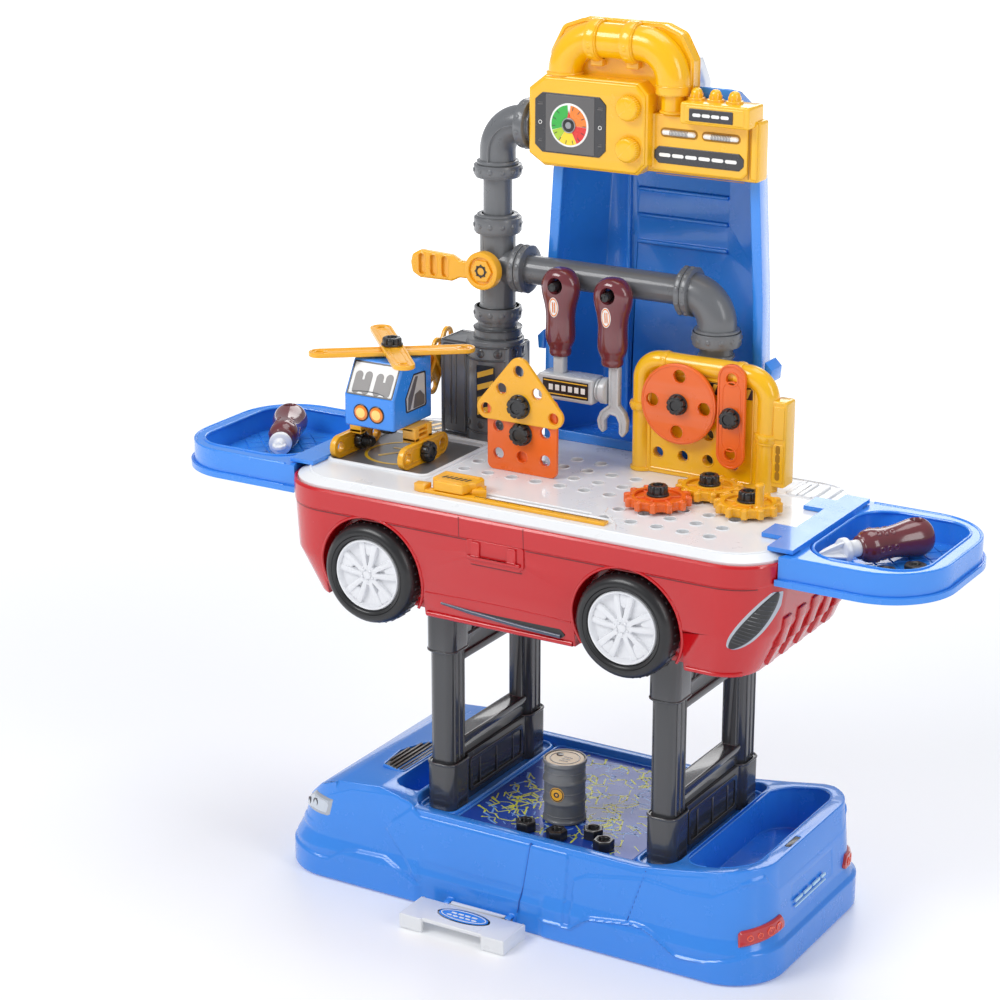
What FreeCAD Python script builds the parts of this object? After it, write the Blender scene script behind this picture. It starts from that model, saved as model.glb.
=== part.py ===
import FreeCAD, Part
import math, os
from FreeCAD import Vector as V

# Child's tool workbench that packs into a toy car.
# Frame: origin under the middle of the base on the floor, X along the car
# (hood at -X, tail at +X), Y to the back wall, Z up. Millimetres.

# ---- driving dimensions -------------------------------------------------
BASE_L, BASE_W, BASE_R = 467.0, 222.0, 46.0
DECK_Z = 75.0                    # deck between the legs
RIM_Z = 81.0                     # side rim of the base
WALL = 3.0
LEG_X = (-84.4, 126.4)           # leg frame centres
LEG_T, LEG_HALF = 22.0, 77.4     # column thickness, half width over columns
TUB_X0, TUB_X1, TUB_HALF = -231.0, 229.0, 108.0
TUB_BOT, TUB_RIM = 259.0, 355.5
TABLE_Z = 361.5
WHEEL_X, WHEEL_Z = (-134.0, 106.0), 289.0
TYRE_R, RIM_R, AXLE_R = 43.5, 31.0, 3.0
RUN = 0.05                       # running clearance, radial
PIPE_Y, PIPE_R, FIT_R, FLANGE_R = 84.0, 12.5, 15.5, 19.2
PIPE_X = -124.0
CROSS_Z = 514.5
DROP_X = 87.0
PITCH = 23.2                     # hole pitch of the bench and the boards
GEAR_TIP, GEAR_ROOT, GEAR_TEETH = 28.0, 23.4, 12
GEARS = {"gear_orange": (89.0, -20.5), "gear_idler": (112.2, 25.9), "gear_crank": (158.6, 2.7)}
HX, HY = -175.0, -6.0            # helicopter rotor axis
DISC = (70.0, 427.0)
DISC_R = 34.5

os.makedirs("parts", exist_ok=True)
PARTS = {}


# ---- helpers ------------------------------------------------------------
def box(x0, x1, y0, y1, z0, z1):
    return Part.makeBox(x1 - x0, y1 - y0, z1 - z0, V(x0, y0, z0))


def cyl(axis, r, a, b, u, v):
    # axis 'x': (u, v) = (y, z); 'y': (x, z); 'z': (x, y)
    if axis == "x":
        return Part.makeCylinder(r, b - a, V(a, u, v), V(1, 0, 0))
    if axis == "y":
        return Part.makeCylinder(r, b - a, V(u, a, v), V(0, 1, 0))
    return Part.makeCylinder(r, b - a, V(u, v, a), V(0, 0, 1))


def fuse(items):
    s = items[0]
    if len(items) > 1:
        s = s.multiFuse(items[1:])
        s = s.removeSplitter()
    return s


def cut(s, items):
    for i in items:
        s = s.cut(i)
    return s


def comp(items):
    out = []
    for i in items:
        out += i.Solids
    return Part.makeCompound(out)


def rr_wire(x0, x1, y0, y1, r, z):
    k = math.sqrt(0.5)
    e = []
    p = [V(x0 + r, y0, z), V(x1 - r, y0, z), V(x1, y0 + r, z), V(x1, y1 - r, z),
         V(x1 - r, y1, z), V(x0 + r, y1, z), V(x0, y1 - r, z), V(x0, y0 + r, z)]
    c = [V(x1 - r, y0 + r, z), V(x1 - r, y1 - r, z), V(x0 + r, y1 - r, z), V(x0 + r, y0 + r, z)]
    m = [c[0] + V(r * k, -r * k, 0), c[1] + V(r * k, r * k, 0), c[2] + V(-r * k, r * k, 0), c[3] + V(-r * k, -r * k, 0)]
    for i in range(4):
        e.append(Part.LineSegment(p[2 * i], p[2 * i + 1]).toShape())
        e.append(Part.Arc(p[2 * i + 1], m[i], p[(2 * i + 2) % 8]).toShape())
    return Part.Wire(e)


def rbox(x0, x1, y0, y1, r, z0, z1):
    return Part.Face(rr_wire(x0, x1, y0, y1, r, z0)).extrude(V(0, 0, z1 - z0))


def loft(secs):
    return Part.makeLoft([rr_wire(*s) for s in secs], True, True)


def poly(pts, plane, a, b):
    # closed polygon in a plane, pushed from a to b along the plane's normal
    if plane == "xz":
        w = [V(p[0], a, p[1]) for p in pts]
        d = V(0, b - a, 0)
    elif plane == "yz":
        w = [V(a, p[0], p[1]) for p in pts]
        d = V(b - a, 0, 0)
    else:
        w = [V(p[0], p[1], a) for p in pts]
        d = V(0, 0, b - a)
    s = Part.Face(Part.makePolygon(w + [w[0]])).extrude(d)
    if s.Volume < 0:
        s.reverse()
    return s


def hull_arcs(circles, n=10):
    # outline round a convex set of circles (x, y, r), as a polygon
    pts = []
    for x, y, r in circles:
        for k in range(4 * n):
            t = 2 * math.pi * k / (4 * n)
            pts.append((x + r * math.cos(t), y + r * math.sin(t)))
    pts = sorted(set((round(a, 4), round(b, 4)) for a, b in pts))

    def half(seq):
        h = []
        for q in seq:
            while len(h) > 1 and (h[-1][0] - h[-2][0]) * (q[1] - h[-2][1]) - (h[-1][1] - h[-2][1]) * (q[0] - h[-2][0]) <= 1e-6:
                h.pop()
            h.append(q)
        return h
    lo, up = half(pts), half(pts[::-1])
    return lo[:-1] + up[:-1]


def strip(plane, p, q, r, a, b, holes=(), hr=5.0):
    # flat link from p to q with round ends
    w = math.hypot(q[0] - p[0], q[1] - p[1])
    ux, uy = (q[0] - p[0]) / w, (q[1] - p[1]) / w
    nx, ny = -uy, ux

    def to3(t, h):
        if plane == "xz":
            return V(t[0], h, t[1])
        if plane == "yz":
            return V(h, t[0], t[1])
        return V(t[0], t[1], h)
    A = (p[0] + nx * r, p[1] + ny * r)
    B = (p[0] - ux * r, p[1] - uy * r)
    C = (p[0] - nx * r, p[1] - ny * r)
    D = (q[0] - nx * r, q[1] - ny * r)
    E = (q[0] + ux * r, q[1] + uy * r)
    F = (q[0] + nx * r, q[1] + ny * r)
    e = [Part.Arc(to3(A, a), to3(B, a), to3(C, a)).toShape(), Part.LineSegment(to3(C, a), to3(D, a)).toShape(),
         Part.Arc(to3(D, a), to3(E, a), to3(F, a)).toShape(), Part.LineSegment(to3(F, a), to3(A, a)).toShape()]
    d = {"xz": V(0, b - a, 0), "yz": V(b - a, 0, 0), "xy": V(0, 0, b - a)}[plane]
    s = Part.Face(Part.Wire(e)).extrude(d)
    ax = {"xz": "y", "yz": "x", "xy": "z"}[plane]
    for h in holes:
        hx, hy = p[0] + ux * w * h, p[1] + uy * w * h
        s = s.cut(cyl(ax, hr, min(a, b) - 1, max(a, b) + 1, hx, hy))
    return s


def elbow(cx, cz, y, R, r, a0, a1):
    # pipe bend in the XZ plane about (cx, cz), from angle a0 to a1 (degrees from +X to +Z)
    t = math.radians(a0)
    c = V(cx + R * math.cos(t), y, cz + R * math.sin(t))
    tang = V(-math.sin(t), 0, math.cos(t))
    f = Part.Face(Part.Wire(Part.makeCircle(r, c, tang)))
    return f.revolve(V(cx, y, cz), V(0, -1, 0), a1 - a0)


def knurl_bolt(axis, u, v, head, shank, hr=9.0, sr=4.0):
    # black kit bolt: round head with a hex recess and eight rim notches; head/shank are (from, to)
    h = cyl(axis, hr, min(head), max(head), u, v)
    for k in range(8):
        t = math.radians(45 * k)
        h = h.cut(cyl(axis, 1.3, min(head) - 1, max(head) + 1, u + hr * math.cos(t), v + hr * math.sin(t)))
    if shank[1] != shank[0]:
        h = h.fuse(cyl(axis, sr, min(shank), max(shank), u, v))
    return h


def hexprism(axis, u, v, af, a, b, bore=0.0, turn=0.0):
    pts = []
    for k in range(6):
        t = math.radians(60 * k + turn)
        pts.append((u + af / math.sqrt(3) * math.cos(t), v + af / math.sqrt(3) * math.sin(t)))
    s = poly(pts, {"z": "xy", "y": "xz", "x": "yz"}[axis], a, b)
    if bore:
        s = s.cut(cyl(axis, bore, a - 1, b + 1, u, v))
    return s


def put(name, shape):
    PARTS[name] = shape


# ---- base ---------------------------------------------------------------
HL, HW = BASE_L / 2, BASE_W / 2


def base_form(d):
    # outer form of the base, drawn in by d
    return loft([(-HL + d, HL - d, -HW + d, HW - d, BASE_R - d, 0),
                 (-HL + d, HL - d, -HW + d, HW - d, BASE_R - d, 27),
                 (-HL + 5 + d, HL - 4 + d * -1, -HW + 4 + d, HW - 4 - d, BASE_R - d, 38),
                 (-HL + 24 + d, HL - 8 - d, -HW + 11 + d, HW - 11 - d, BASE_R - 6 - d, 100)])


def base_side(d):
    p = [(-HL - 5, -5), (-HL - 5, 34 - d), (-222, 56 - d), (-196, 80 - d), (-174, 90 - d), (-132, 94 - d),
         (-112, 90 - d), (-98, 82 - d), (120, RIM_Z + 1 - d), (160, 88 - d), (204, 96 - d), (228, 97 - d),
         (HL + 5, 60 - d), (HL + 5, -5)]
    return poly(p, "xz", -130, 130)


outer = base_form(0).common(base_side(0))
p_deck = rbox(-104, 147, -93, 93, 14, DECK_Z, 130)
p_tail = rbox(149, 213, -90, 90, 26, 50, 130)
p_nose = rbox(-128, -107, -84, 84, 9, 56, 130)
g_deck = rbox(-107, 150, -96, 96, 17, DECK_Z - WALL, 130)
g_tail = rbox(146, 216, -93, 93, 29, 47, 130)
g_nose = rbox(-131, -104, -87, 87, 12, 53, 130)
inner = base_form(WALL).common(base_side(WALL)).cut(g_deck).cut(g_tail).cut(g_nose)
inner = inner.fuse(base_form(WALL).common(box(-260, 260, -130, 130, -1, 44)))
base = outer.cut(p_deck).cut(p_tail).cut(p_nose).cut(inner)
ribs = [box(-228, 228, -1.5, 1.5, 0, 49)]
for rx in (-160, -84.4, 0, 64, 126.4, 180):
    ribs.append(box(rx - 1.5, rx + 1.5, -106, 106, 0, 49))
ribs = [r.common(base_form(1.5)) for r in ribs]
ribs_hi = [box(rx - 1.5, rx + 1.5, -92, 92, 40, DECK_Z - WALL + 0.5) for rx in (-84.4, 0, 64, 126.4)]
base = fuse([base] + ribs + ribs_hi)
# raised kerbs round each leg foot
for lx in LEG_X:
    k = rbox(lx - 20, lx + 20, -90, 90, 12, DECK_Z - 0.5, DECK_Z + 2).cut(rbox(lx - 16.5, lx + 16.5, -86, 86, 9, DECK_Z - 2, DECK_Z + 5))
    base = base.fuse(k)
# hinge lugs for the clasp, low on the front skirt
LZ, LY = 9.0, -116.0
for x0 in (-57.0, 3.0):
    lug = fuse([box(x0, x0 + 6, LY, -HW + 2, LZ - 4.2, LZ + 4.2), cyl("x", 4.2, x0, x0 + 6, LY, LZ)])
    base = base.fuse(lug)
base = base.cut(cyl("x", 2.0 + RUN, -58, -50, LY, LZ)).cut(cyl("x", 2.0 + RUN, 2, 10, LY, LZ))
# slot in the tail rim
base = base.cut(box(217.5, 222.5, -34, -12, 92.5, 110))
base = base.removeSplitter()
put("base_shell", base)
put("base_mat", rbox(-62, 104, -88, 88, 4, DECK_Z, DECK_Z + 0.8))

skin = base_form(-1.2).cut(base_form(0))
lens = []
for s in (-1, 1):
    b = box(-214, -178, min(s * 84, s * 120), max(s * 84, s * 120), 56, 76)
    lens.append(skin.common(b))
put("headlamps", comp(lens))
lens = []
for s in (-1, 1):
    b = box(204, 245, min(s * 72, s * 120), max(s * 72, s * 120), 38.5, 54)
    lens.append(skin.common(b))
put("tail_lamps", comp(lens))

# clasp: plate lying outward on the floor, with two claw feet
LX0, LX1 = -77.0, 25.0
flap = box(LX0, LX1, -155, -121.2, 9.5, 13)
flap = fuse([flap, box(LX0, LX0 + 3, -155, -121, 0.4, 13), box(LX1 - 3, LX1, -155, -121, 0.4, 13),
             box(LX0, LX0 + 22, -157, -153, 0.4, 13), box(LX1 - 22, LX1, -157, -153, 0.4, 13),
             box(-49.5, 1.5, -122, -115, 8, 12.5), cyl("x", 3.8, -50.5, 2.5, LY, LZ),
             cyl("x", 2.0, -56.5, -50, LY, LZ), cyl("x", 2.0, 2, 8.5, LY, LZ)])
put("latch_flap", flap.removeSplitter())

# ---- legs ---------------------------------------------------------------
frames, sockets = [], []
for lx in LEG_X:
    h = LEG_T / 2
    parts = []
    for s in (-1, 1):
        y0, y1 = sorted((s * 52.0, s * 77.4))
        parts.append(rbox(lx - h, lx + h, y0, y1, 7, DECK_Z + 6, TUB_BOT - 0.05))
    parts.append(box(lx - 6, lx + 6, -60, 60, 117.05, 262 - 3.05))
    f = fuse(parts)
    w = box(lx - 20, lx + 20, -47, 47, 135, 206)
    f = f.cut(w)
    # stiffening lips round the window
    lip = box(lx - 9, lx + 9, -52, 52, 129, 135).fuse(box(lx - 9, lx + 9, -52, 52, 206, 212))
    f = f.fuse(lip).removeSplitter()
    f = f.common(box(lx - 30, lx + 30, -90, 90, 0, TUB_BOT - 0.05))
    frames.append(f)
    # lower socket: two sleeves joined by a web, standing on the deck
    low = []
    for s in (-1, 1):
        y0, y1 = sorted((s * 48.5, s * 80.5))
        low.append(rbox(lx - h - 3, lx + h + 3, y0, y1, 9, DECK_Z, 117))
    low.append(box(lx - 9, lx + 9, -50, 50, DECK_Z, 117))
    low = fuse(low)
    sockets.append(cut(low, [g for g in [rbox(lx - h, lx + h, *sorted((s * 52.0, s * 77.4)), 7, DECK_Z + 6, 130) for s in (-1, 1)]]))
    # upper sleeves under the tub
    for s in (-1, 1):
        y0, y1 = sorted((s * 48.5, s * 80.5))
        up = rbox(lx - h - 3, lx + h + 3, y0, y1, 9, 220, TUB_BOT)
        sockets.append(up.cut(rbox(lx - h, lx + h, *sorted((s * 52.0, s * 77.4)), 7, 200, 300)).cut(box(lx - 12, lx + 12, -60, 60, 200, 300)))
put("left_leg_frame", frames[0])
put("right_leg_frame", frames[1])
put("leg_sockets", comp(sockets))


# ---- tub ----------------------------------------------------------------
def tub_form(d, z0, z1):
    s = [(-202 + d, 206 - d, -98 + d, 98 - d, 30 - d, TUB_BOT),
         (-225 + d, 222 - d, -105 + d, 105 - d, 40 - d, 296),
         (TUB_X0 + d, TUB_X1 - d, -TUB_HALF + d, TUB_HALF - d, 48 - d, TUB_RIM)]
    return loft(s).common(box(-260, 260, -130, 130, z0, z1))


def wells(r, y):
    out = []
    for wx in WHEEL_X:
        for s in (-1, 1):
            a, b = sorted((s * y, s * 125.0))
            out.append(cyl("y", r, a, b, wx, WHEEL_Z).fuse(box(wx - r, wx + r, a, b, 200, WHEEL_Z)))
    return out


tub = cut(tub_form(0, TUB_BOT - 1, TUB_RIM + 1), wells(48.5, 84.0))
hol = cut(tub_form(WALL, TUB_BOT + WALL, TUB_RIM + 5), wells(51.5, 81.0))
tub = tub.cut(hol)
ledge = tub_form(WALL - 0.5, 348.5, 352.0).cut(tub_form(8.0, 345, 356))
tub = tub.fuse(ledge)
for wx in WHEEL_X:
    tub = tub.cut(cyl("y", AXLE_R + RUN, -120, 120, wx, WHEEL_Z))
# catch that the clasp hooks on
catch = fuse([box(-38, 12, -110.5, -104, 321, 324), box(-34, -26, -110, -104, 324, 336), box(0, 8, -110, -104, 324, 336),
              box(-34, 8, -107.5, -104, 324, 333)])
tub = tub.fuse(catch)
# stepped diffuser fins under the tail
for k in range(5):
    y0 = -62 + 27 * k
    tub = tub.fuse(box(196, 216 - 0 * k, y0, y0 + 12, 262, 284).common(tub_form(-2.5, TUB_BOT, 300)))
tub = tub.removeSplitter()
put("tub_shell", tub)

gr = []
tskin = tub_form(-0.8, 250, 360).cut(tub_form(0, 250, 360))
for s in (-1, 1):
    a, b = sorted((s * 92.0, s * 115.0))
    gr.append(tskin.common(box(-70, 44, a, b, 266, 276)))
    a, b = sorted((s * 80.0, s * 115.0))
    blade = poly([(176, 276), (184, 274), (214, 312), (219, 334), (205, 330), (188, 306)], "xz", a, b)
    gr.append(tskin.common(blade))
put("tub_grilles", comp(gr))

# ---- bench plate --------------------------------------------------------
m = WALL + 0.5
tab = loft([(TUB_X0 + m, TUB_X1 - m, -TUB_HALF + m, TUB_HALF - m, 48 - m, 352.0),
            (TUB_X0 + m, TUB_X1 - m, -TUB_HALF + m, TUB_HALF - m, 48 - m, 357.0),
            (TUB_X0 + 12, TUB_X1 - 12, -TUB_HALF + 13, TUB_HALF - 5, 40, TABLE_Z)])
ho = []
for i in range(7):
    for j in range(4):
        ho.append((-98 + PITCH * i, -15 + 23.6 * j))
for i in range(6):
    for j in range(5):
        q = (65.8 + PITCH * i, -66.9 + PITCH * j)
        if q[0] < 170 and not (q[1] > 40):
            ho.append(q)
GEARS_XY = list(GEARS.values())
house_holes = []
for q in ho:
    if min(math.hypot(q[0] - g[0], q[1] - g[1]) for g in GEARS_XY) < 8:
        continue
    if q[1] > 42 and (q[0] > 12):
        continue
    tab = tab.cut(cyl("z", 5.0, 345, 370, q[0], q[1]))
for g in GEARS_XY:
    tab = tab.cut(cyl("z", 4.0, 345, 370, g[0], g[1]))
tab = tab.cut(rbox(-216, -116, -50, 50, 6, 359.9, 370))            # landing pad recess
tab = tab.cut(box(-104, 52, -68.5, -65.5, 345, 370))                # slide slot
# ribbed step at the back right corner and a low kerb on the pad's edge
rid = [box(168 + 13 * k, 174 + 13 * k, 60, 92, TABLE_Z - 0.5, TABLE_Z + 1.6) for k in range(3)]
rid.append(rbox(-220, -112, -54, 54, 10, TABLE_Z - 0.5, TABLE_Z + 1.0).cut(rbox(-216, -116, -50, 50, 6, 350, 370)))
rid[-1] = rid[-1].common(box(-211, -100, -100, 100, 340, 370))
tab = fuse([tab] + rid)
put("table_top", tab)

# ---- wheels -------------------------------------------------------------
for name, wx in (("front", WHEEL_X[0]), ("rear", WHEEL_X[1])):
    ty, hu = [], []
    for s in (-1, 1):
        a, b = sorted((s * 86.5, s * 113.0))
        t = cyl("y", TYRE_R, a, b, wx, WHEEL_Z)
        ed = [e for e in t.Edges if isinstance(e.Curve, Part.Circle) and abs(e.Length - 2 * math.pi * TYRE_R) < 1]
        try:
            t = t.makeFillet(5.0, ed)
        except Exception:
            t = t.makeChamfer(4.0, ed)
        ty.append(t.cut(cyl("y", RIM_R, a - 1, b + 1, wx, WHEEL_Z)))
        hb = cyl("y", RIM_R, a, b, wx, WHEEL_Z)
        f0, f1 = sorted((s * 108.0, s * 114.0))
        hb = hb.cut(cyl("y", RIM_R - 3, f0, f1, wx, WHEEL_Z))
        sp = [cyl("y", 8, *sorted((s * 107.5, s * 111.5)), wx, WHEEL_Z)]
        for k in range(5):
            for dt in (-9, 9):
                t = math.radians(72 * k + 90 + dt)
                cx, cz = wx + 17.5 * math.cos(t), WHEEL_Z + 17.5 * math.sin(t)
                b1 = box(-11.5, 11.5, *sorted((s * 107.5, s * 110.5)), -1.6, 1.6)
                b1.rotate(V(0, 0, 0), V(0, -1, 0), math.degrees(t))
                b1.translate(V(cx, 0, cz))
                sp.append(b1)
        hb = fuse([hb] + sp)
        i0, i1 = sorted((s * 86.0, s * 92.0))
        hb = hb.cut(cyl("y", RIM_R - 6, i0, i1, wx, WHEEL_Z).cut(cyl("y", 8, i0, i1, wx, WHEEL_Z)))
        hb = hb.cut(cyl("y", AXLE_R, *sorted((s * 80.0, s * 105.0)), wx, WHEEL_Z))
        hu.append(hb)
    put(name + "_tyres", comp(ty))
    put(name + "_hubs", comp(hu))
    put(name + "_axle", cyl("y", AXLE_R, -105, 105, wx, WHEEL_Z))

# ---- side trays ---------------------------------------------------------
for name, x_in, x_out in (("right_tray", TUB_X1, 349.0), ("left_tray", TUB_X0, -363.0)):
    s = 1 if x_out > 0 else -1
    lo, hi = sorted((s * 150.0, x_out))

    def d_form(d, z0, z1, grow=0.0):
        a, b = sorted((s * 120.0, x_out - s * d))
        return rbox(a, b, -84 + d, 84 - d, 58 - d, z0, z1)
    body = fuse([d_form(0, 338, 343), d_form(3, 342.5, 361)])
    keep = TUB_X1 + 0.6 if s > 0 else TUB_X0 - 0.6
    tubcut = rbox(TUB_X0 - 0.6, TUB_X1 + 0.6, -TUB_HALF - 0.6, TUB_HALF + 0.6, 48.6, 300.0, 361.8)
    # room inside the tray
    ia, ib = sorted((s * (abs(x_in) + 4.5), x_out - s * 16))
    room = rbox(ia, ib, -66, 66, 30, 342, 380)
    body = body.cut(room)
    body = body.cut(tubcut)
    # hook plate over the bench's end, with two tongues
    hp = [box(*sorted((s * 212.0, s * (abs(x_in) + 4.5))), -74, 74, 362.0, 365.5)]
    hp += [box(*sorted((s * 194.0, s * 213.0)), y0, y0 + 25, 362.0, 365.5) for y0 in (-46.5, 31.5)]
    hp += [box(*sorted((s * (abs(x_in) + 0.6), s * (abs(x_in) + 4.5))), -60, 60, 340, 365.5)]
    if s < 0:
        hp = [hp[0], hp[3]]
    # shallow grooves are left to the finish; floor stays plain
    body = fuse([body] + hp)
    body = body.cut(tubcut)
    put(name, body.removeSplitter())


def driver(p, q, z, tip_len):
    # screwdriver lying flat: p is the shaft root, q the handle's end
    L = math.hypot(q[0] - p[0], q[1] - p[1])
    prof = [(0, 0), (0, 11.5), (8, 14), (16, 12.5), (L * 0.5, 13.2), (L * 0.72, 15.5), (L * 0.88, 15.8), (L * 0.96, 13), (L, 7), (L, 0)]
    w = [V(a, 0, b) for a, b in prof]
    h = Part.Face(Part.makePolygon(w + [w[0]])).revolve(V(0, 0, 0), V(1, 0, 0), 360)
    h = h.cut(cyl("z", 4.5, -30, 30, L - 12, 0))
    b = fuse([cyl("x", 7, -10, 0, 0, 0), cyl("x", 10, -16, -10, 0, 0)])
    blade = Part.Face(Part.makePolygon([V(-16, 0, 0), V(-16, 0, 9), V(-tip_len, 0, 4), V(-tip_len, 0, 0), V(-16, 0, 0)])).revolve(V(0, 0, 0), V(1, 0, 0), 360)
    blade = blade.common(box(-tip_len - 1, 0, -2, 2, -12, 12).fuse(box(-tip_len - 1, 0, -12, 12, -2, 2)))
    b = fuse([b, blade])
    ang = math.degrees(math.atan2(q[1] - p[1], q[0] - p[0]))
    for o in (h, b):
        o.rotate(V(0, 0, 0), V(0, 0, 1), ang)
        o.translate(V(p[0], p[1], z))
    return h, b


h, b = driver((266.0, -24.0), (301.5, 34.0), 358.6, 35)
put("right_driver_handle", h)
put("right_driver_bit", b)
h, b = driver((-285.0, -16.0), (-318.0, 46.0), 358.6, 30)
put("left_driver_handle", h)
put("left_driver_bit", b)
put("tray_nuts", comp([hexprism("z", 296.0, -38.0, 16, 342.4, 351, 3.5, 10), hexprism("z", 311.0, -16.0, 16, 342.4, 351, 3.5, 40)]))
put("base_nuts", comp([hexprism("z", x, y, 16, DECK_Z + 1.1, DECK_Z + 10, 4.2, t)
                       for x, y, t in ((0, -78, 5), (31, -80, 20), (56, -62, 0), (74, -77, 35))]))

dr = cyl("z", 17.6, DECK_Z + 1.1, 131.5, 16, -40)
for z in (DECK_Z + 1.1, 93.5, 112, 128.5):
    dr = dr.fuse(cyl("z", 18.6, z, z + 2.6, 16, -40))
dr = dr.cut(cyl("z", 16.4, 130.0, 140, 16, -40))
put("drum", dr)

# ---- back wall ----------------------------------------------------------
PX0, PX1, PB = -86.0, 124.0, TABLE_Z


def panel_form(d, y0, y1):
    # roof shell: outline narrows to the top and to the back
    def wire(y, inset):
        i = inset + d
        pts = [(PX0 + i, PB + (d if d else 0)), (PX1 - i, PB + (d if d else 0)), (PX1 - 4 - i, 511), (114 - i, 609),
               (105 - i, 664 - i * 0.5), (88 - i, 682 - i), (-50 + i, 682 - i), (-67 + i, 664 - i * 0.5),
               (-79 + i, 600), (PX0 + 1 + i, 500)]
        w = [V(a, y, c) for a, c in pts]
        return Part.makePolygon(w + [w[0]])
    s = Part.makeLoft([wire(100, 0), wire(128, 6), wire(160, 26)], True, True)
    return s.common(box(-200, 200, y0, y1, 300, 800))


pan = panel_form(0, 100, 161)
hollow = panel_form(3.2, 99, 156.8)
pan = pan.cut(hollow)
# front flange
fl = panel_form(0, 100, 103).cut(panel_form(9.0, 98, 104))
pan = pan.fuse(fl)
# pressed ribs on the inside of the back
for z in (532, 555, 578):
    pan = pan.fuse(box(-26, 60, 154.0, 158, z, z + 3))
pan = pan.fuse(box(-36, -32, 152.5, 158, 372, 600))
pan = pan.removeSplitter()
put("back_panel", pan)
brk = []
for s, x in ((-1, -87.2), (1, 123.2)):
    brk.append(poly([(x, 441), (x + s * 6, 441), (x + s * 7, 452), (x + s * 1.0, 458), (x, 458)] if s > 0 else
                    [(x, 441), (x, 458), (x - 1.0, 458), (x - 7, 452), (x - 6, 441)], "xz", 101, 121))
put("panel_bracket", comp([b.cut(panel_form(0, 90, 161)) for b in brk]))

hn = [box(11, 25, 176, 188, 520, 672), ]
hn += [poly([(156.0, 694), (172, 694), (188, 672), (176, 672), (168, 684), (156, 684)], "yz", 11, 25)]
hn += [poly([(157.5, 506), (170, 506), (188, 520), (188, 526), (176, 524), (168, 516), (157.5, 516)], "yz", 11, 25)]
hn += [box(9, 27, 160, 163, 496, 516), box(9, 27, 155.5, 159.5, 656, 692)]
ch = fuse(hn).cut(panel_form(0, 90, 160.0))
put("carry_handle", ch.removeSplitter())

# ---- console ------------------------------------------------------------
con = poly([(-86, 618), (-69, 609), (19, 609), (26, 615), (26, 679), (20, 685.5), (-68, 685.5), (-86, 673)], "xz", 68, 99.9)
rp = poly([(18.5, 613), (119, 613), (121, 616), (121, 660), (118, 663), (18.5, 663)], "xz", 80, 99.9)
tb = poly([(56, 656), (118, 656), (118, 671), (115, 674), (59, 674), (56, 671)], "xz", 68, 96)
web = poly([(-72, 680), (-72, 700), (-62, 720), (-45, 728), (28, 728), (46, 720), (56, 700), (57, 660), (-72, 660)], "xz", 88, 99.9)
UR, UZ, UXL, UXR = 14.5, 715.5, -58.5, 42.0
up = [cyl("z", UR, 680, 685.5, UXL, PIPE_Y), elbow(UXL + 30, 685.5, PIPE_Y, 30, UR, 90, 180),
      cyl("x", UR, UXL + 30, UXR - 30, PIPE_Y, UZ), elbow(UXR - 30, 685.5, PIPE_Y, 30, UR, 0, 90),
      cyl("z", UR, 677, 685.5, UXR, PIPE_Y), cyl("z", 9.5, 661, 678, UXR, PIPE_Y)]
for x in (-28.5, 5.0):
    up.append(cyl("x", 18.0, x - 4.5, x + 4.5, PIPE_Y, UZ))
dm = []
for x in (63.5, 80.5, 97.5):
    dm += [cyl("z", 6.0, 673, 676, x, 84), Part.makeSphere(5.0, V(x, 84, 678)), cyl("z", 5.0, 675, 678, x, 84)]
con = con.fuse(rp).fuse(tb).fuse(web)
for u in up:
    con = con.fuse(u)
for u in dm:
    con = con.fuse(u)
KNOB = ((11.0, 665.0), (11.0, 631.0))
for kx, kz in KNOB:
    con = con.cut(cyl("y", 3.0 + RUN, 60, 81, kx, kz))
con = con.removeSplitter()
put("console_housing", con)
lab = [poly([(-78, 627), (-71, 621), (-17, 621), (-11, 627), (-11, 665), (-17, 671), (-71, 671), (-78, 665)], "xz", 67.2, 68),
       poly([(28, 622), (30, 620), (106, 620), (109, 622), (109, 632), (106, 634), (30, 634), (28, 632)], "xz", 79.2, 80),
       box(65, 104, 67.2, 68, 659.5, 669.5)]
put("console_labels", comp(lab))
for nm, (kx, kz) in zip(("knob_upper", "knob_lower"), KNOB):
    k = cyl("y", 11.0, 59.8, 67.6, kx, kz)
    for i in range(16):
        t = math.radians(22.5 * i)
        k = k.cut(cyl("y", 0.9, 58, 66, kx + 11.0 * math.cos(t), kz + 11.0 * math.sin(t)))
    k = k.fuse(cyl("y", 3.0, 67, 80.5, kx, kz))
    put(nm, k)

# ---- play plumbing ------------------------------------------------------
EZ = 640.0
col = [cyl("z", PIPE_R, 444, 612, PIPE_X, PIPE_Y), cyl("z", FIT_R, 473, 552, PIPE_X, PIPE_Y),
       elbow(PIPE_X + 26, EZ - 26, PIPE_Y, 26, FIT_R, 90, 180), cyl("z", FIT_R, 596, 614, PIPE_X, PIPE_Y),
       cyl("x", FIT_R, PIPE_X + 26, -86.05, PIPE_Y, EZ), cyl("x", FLANGE_R + 2, -97, -89, PIPE_Y, EZ),
       cyl("x", FIT_R, PIPE_X, -100, PIPE_Y, CROSS_Z),
       cyl("x", FLANGE_R, -103, -97.5, PIPE_Y, CROSS_Z)]
for z0, z1 in ((592, 602), (545, 558), (468, 479)):
    col.append(cyl("z", FLANGE_R, z0, z1, PIPE_X, PIPE_Y))
col.append(cyl("y", 9.0, 64.2, 80, PIPE_X, CROSS_Z))
s = col[0]
for c in col[1:]:
    s = s.fuse(c)
s = s.cut(cyl("y", 4.0 + RUN, 60, 76, PIPE_X, CROSS_Z))
# small screw heads on the flange faces
s = s.removeSplitter()
put("pipe_column", s)

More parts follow.
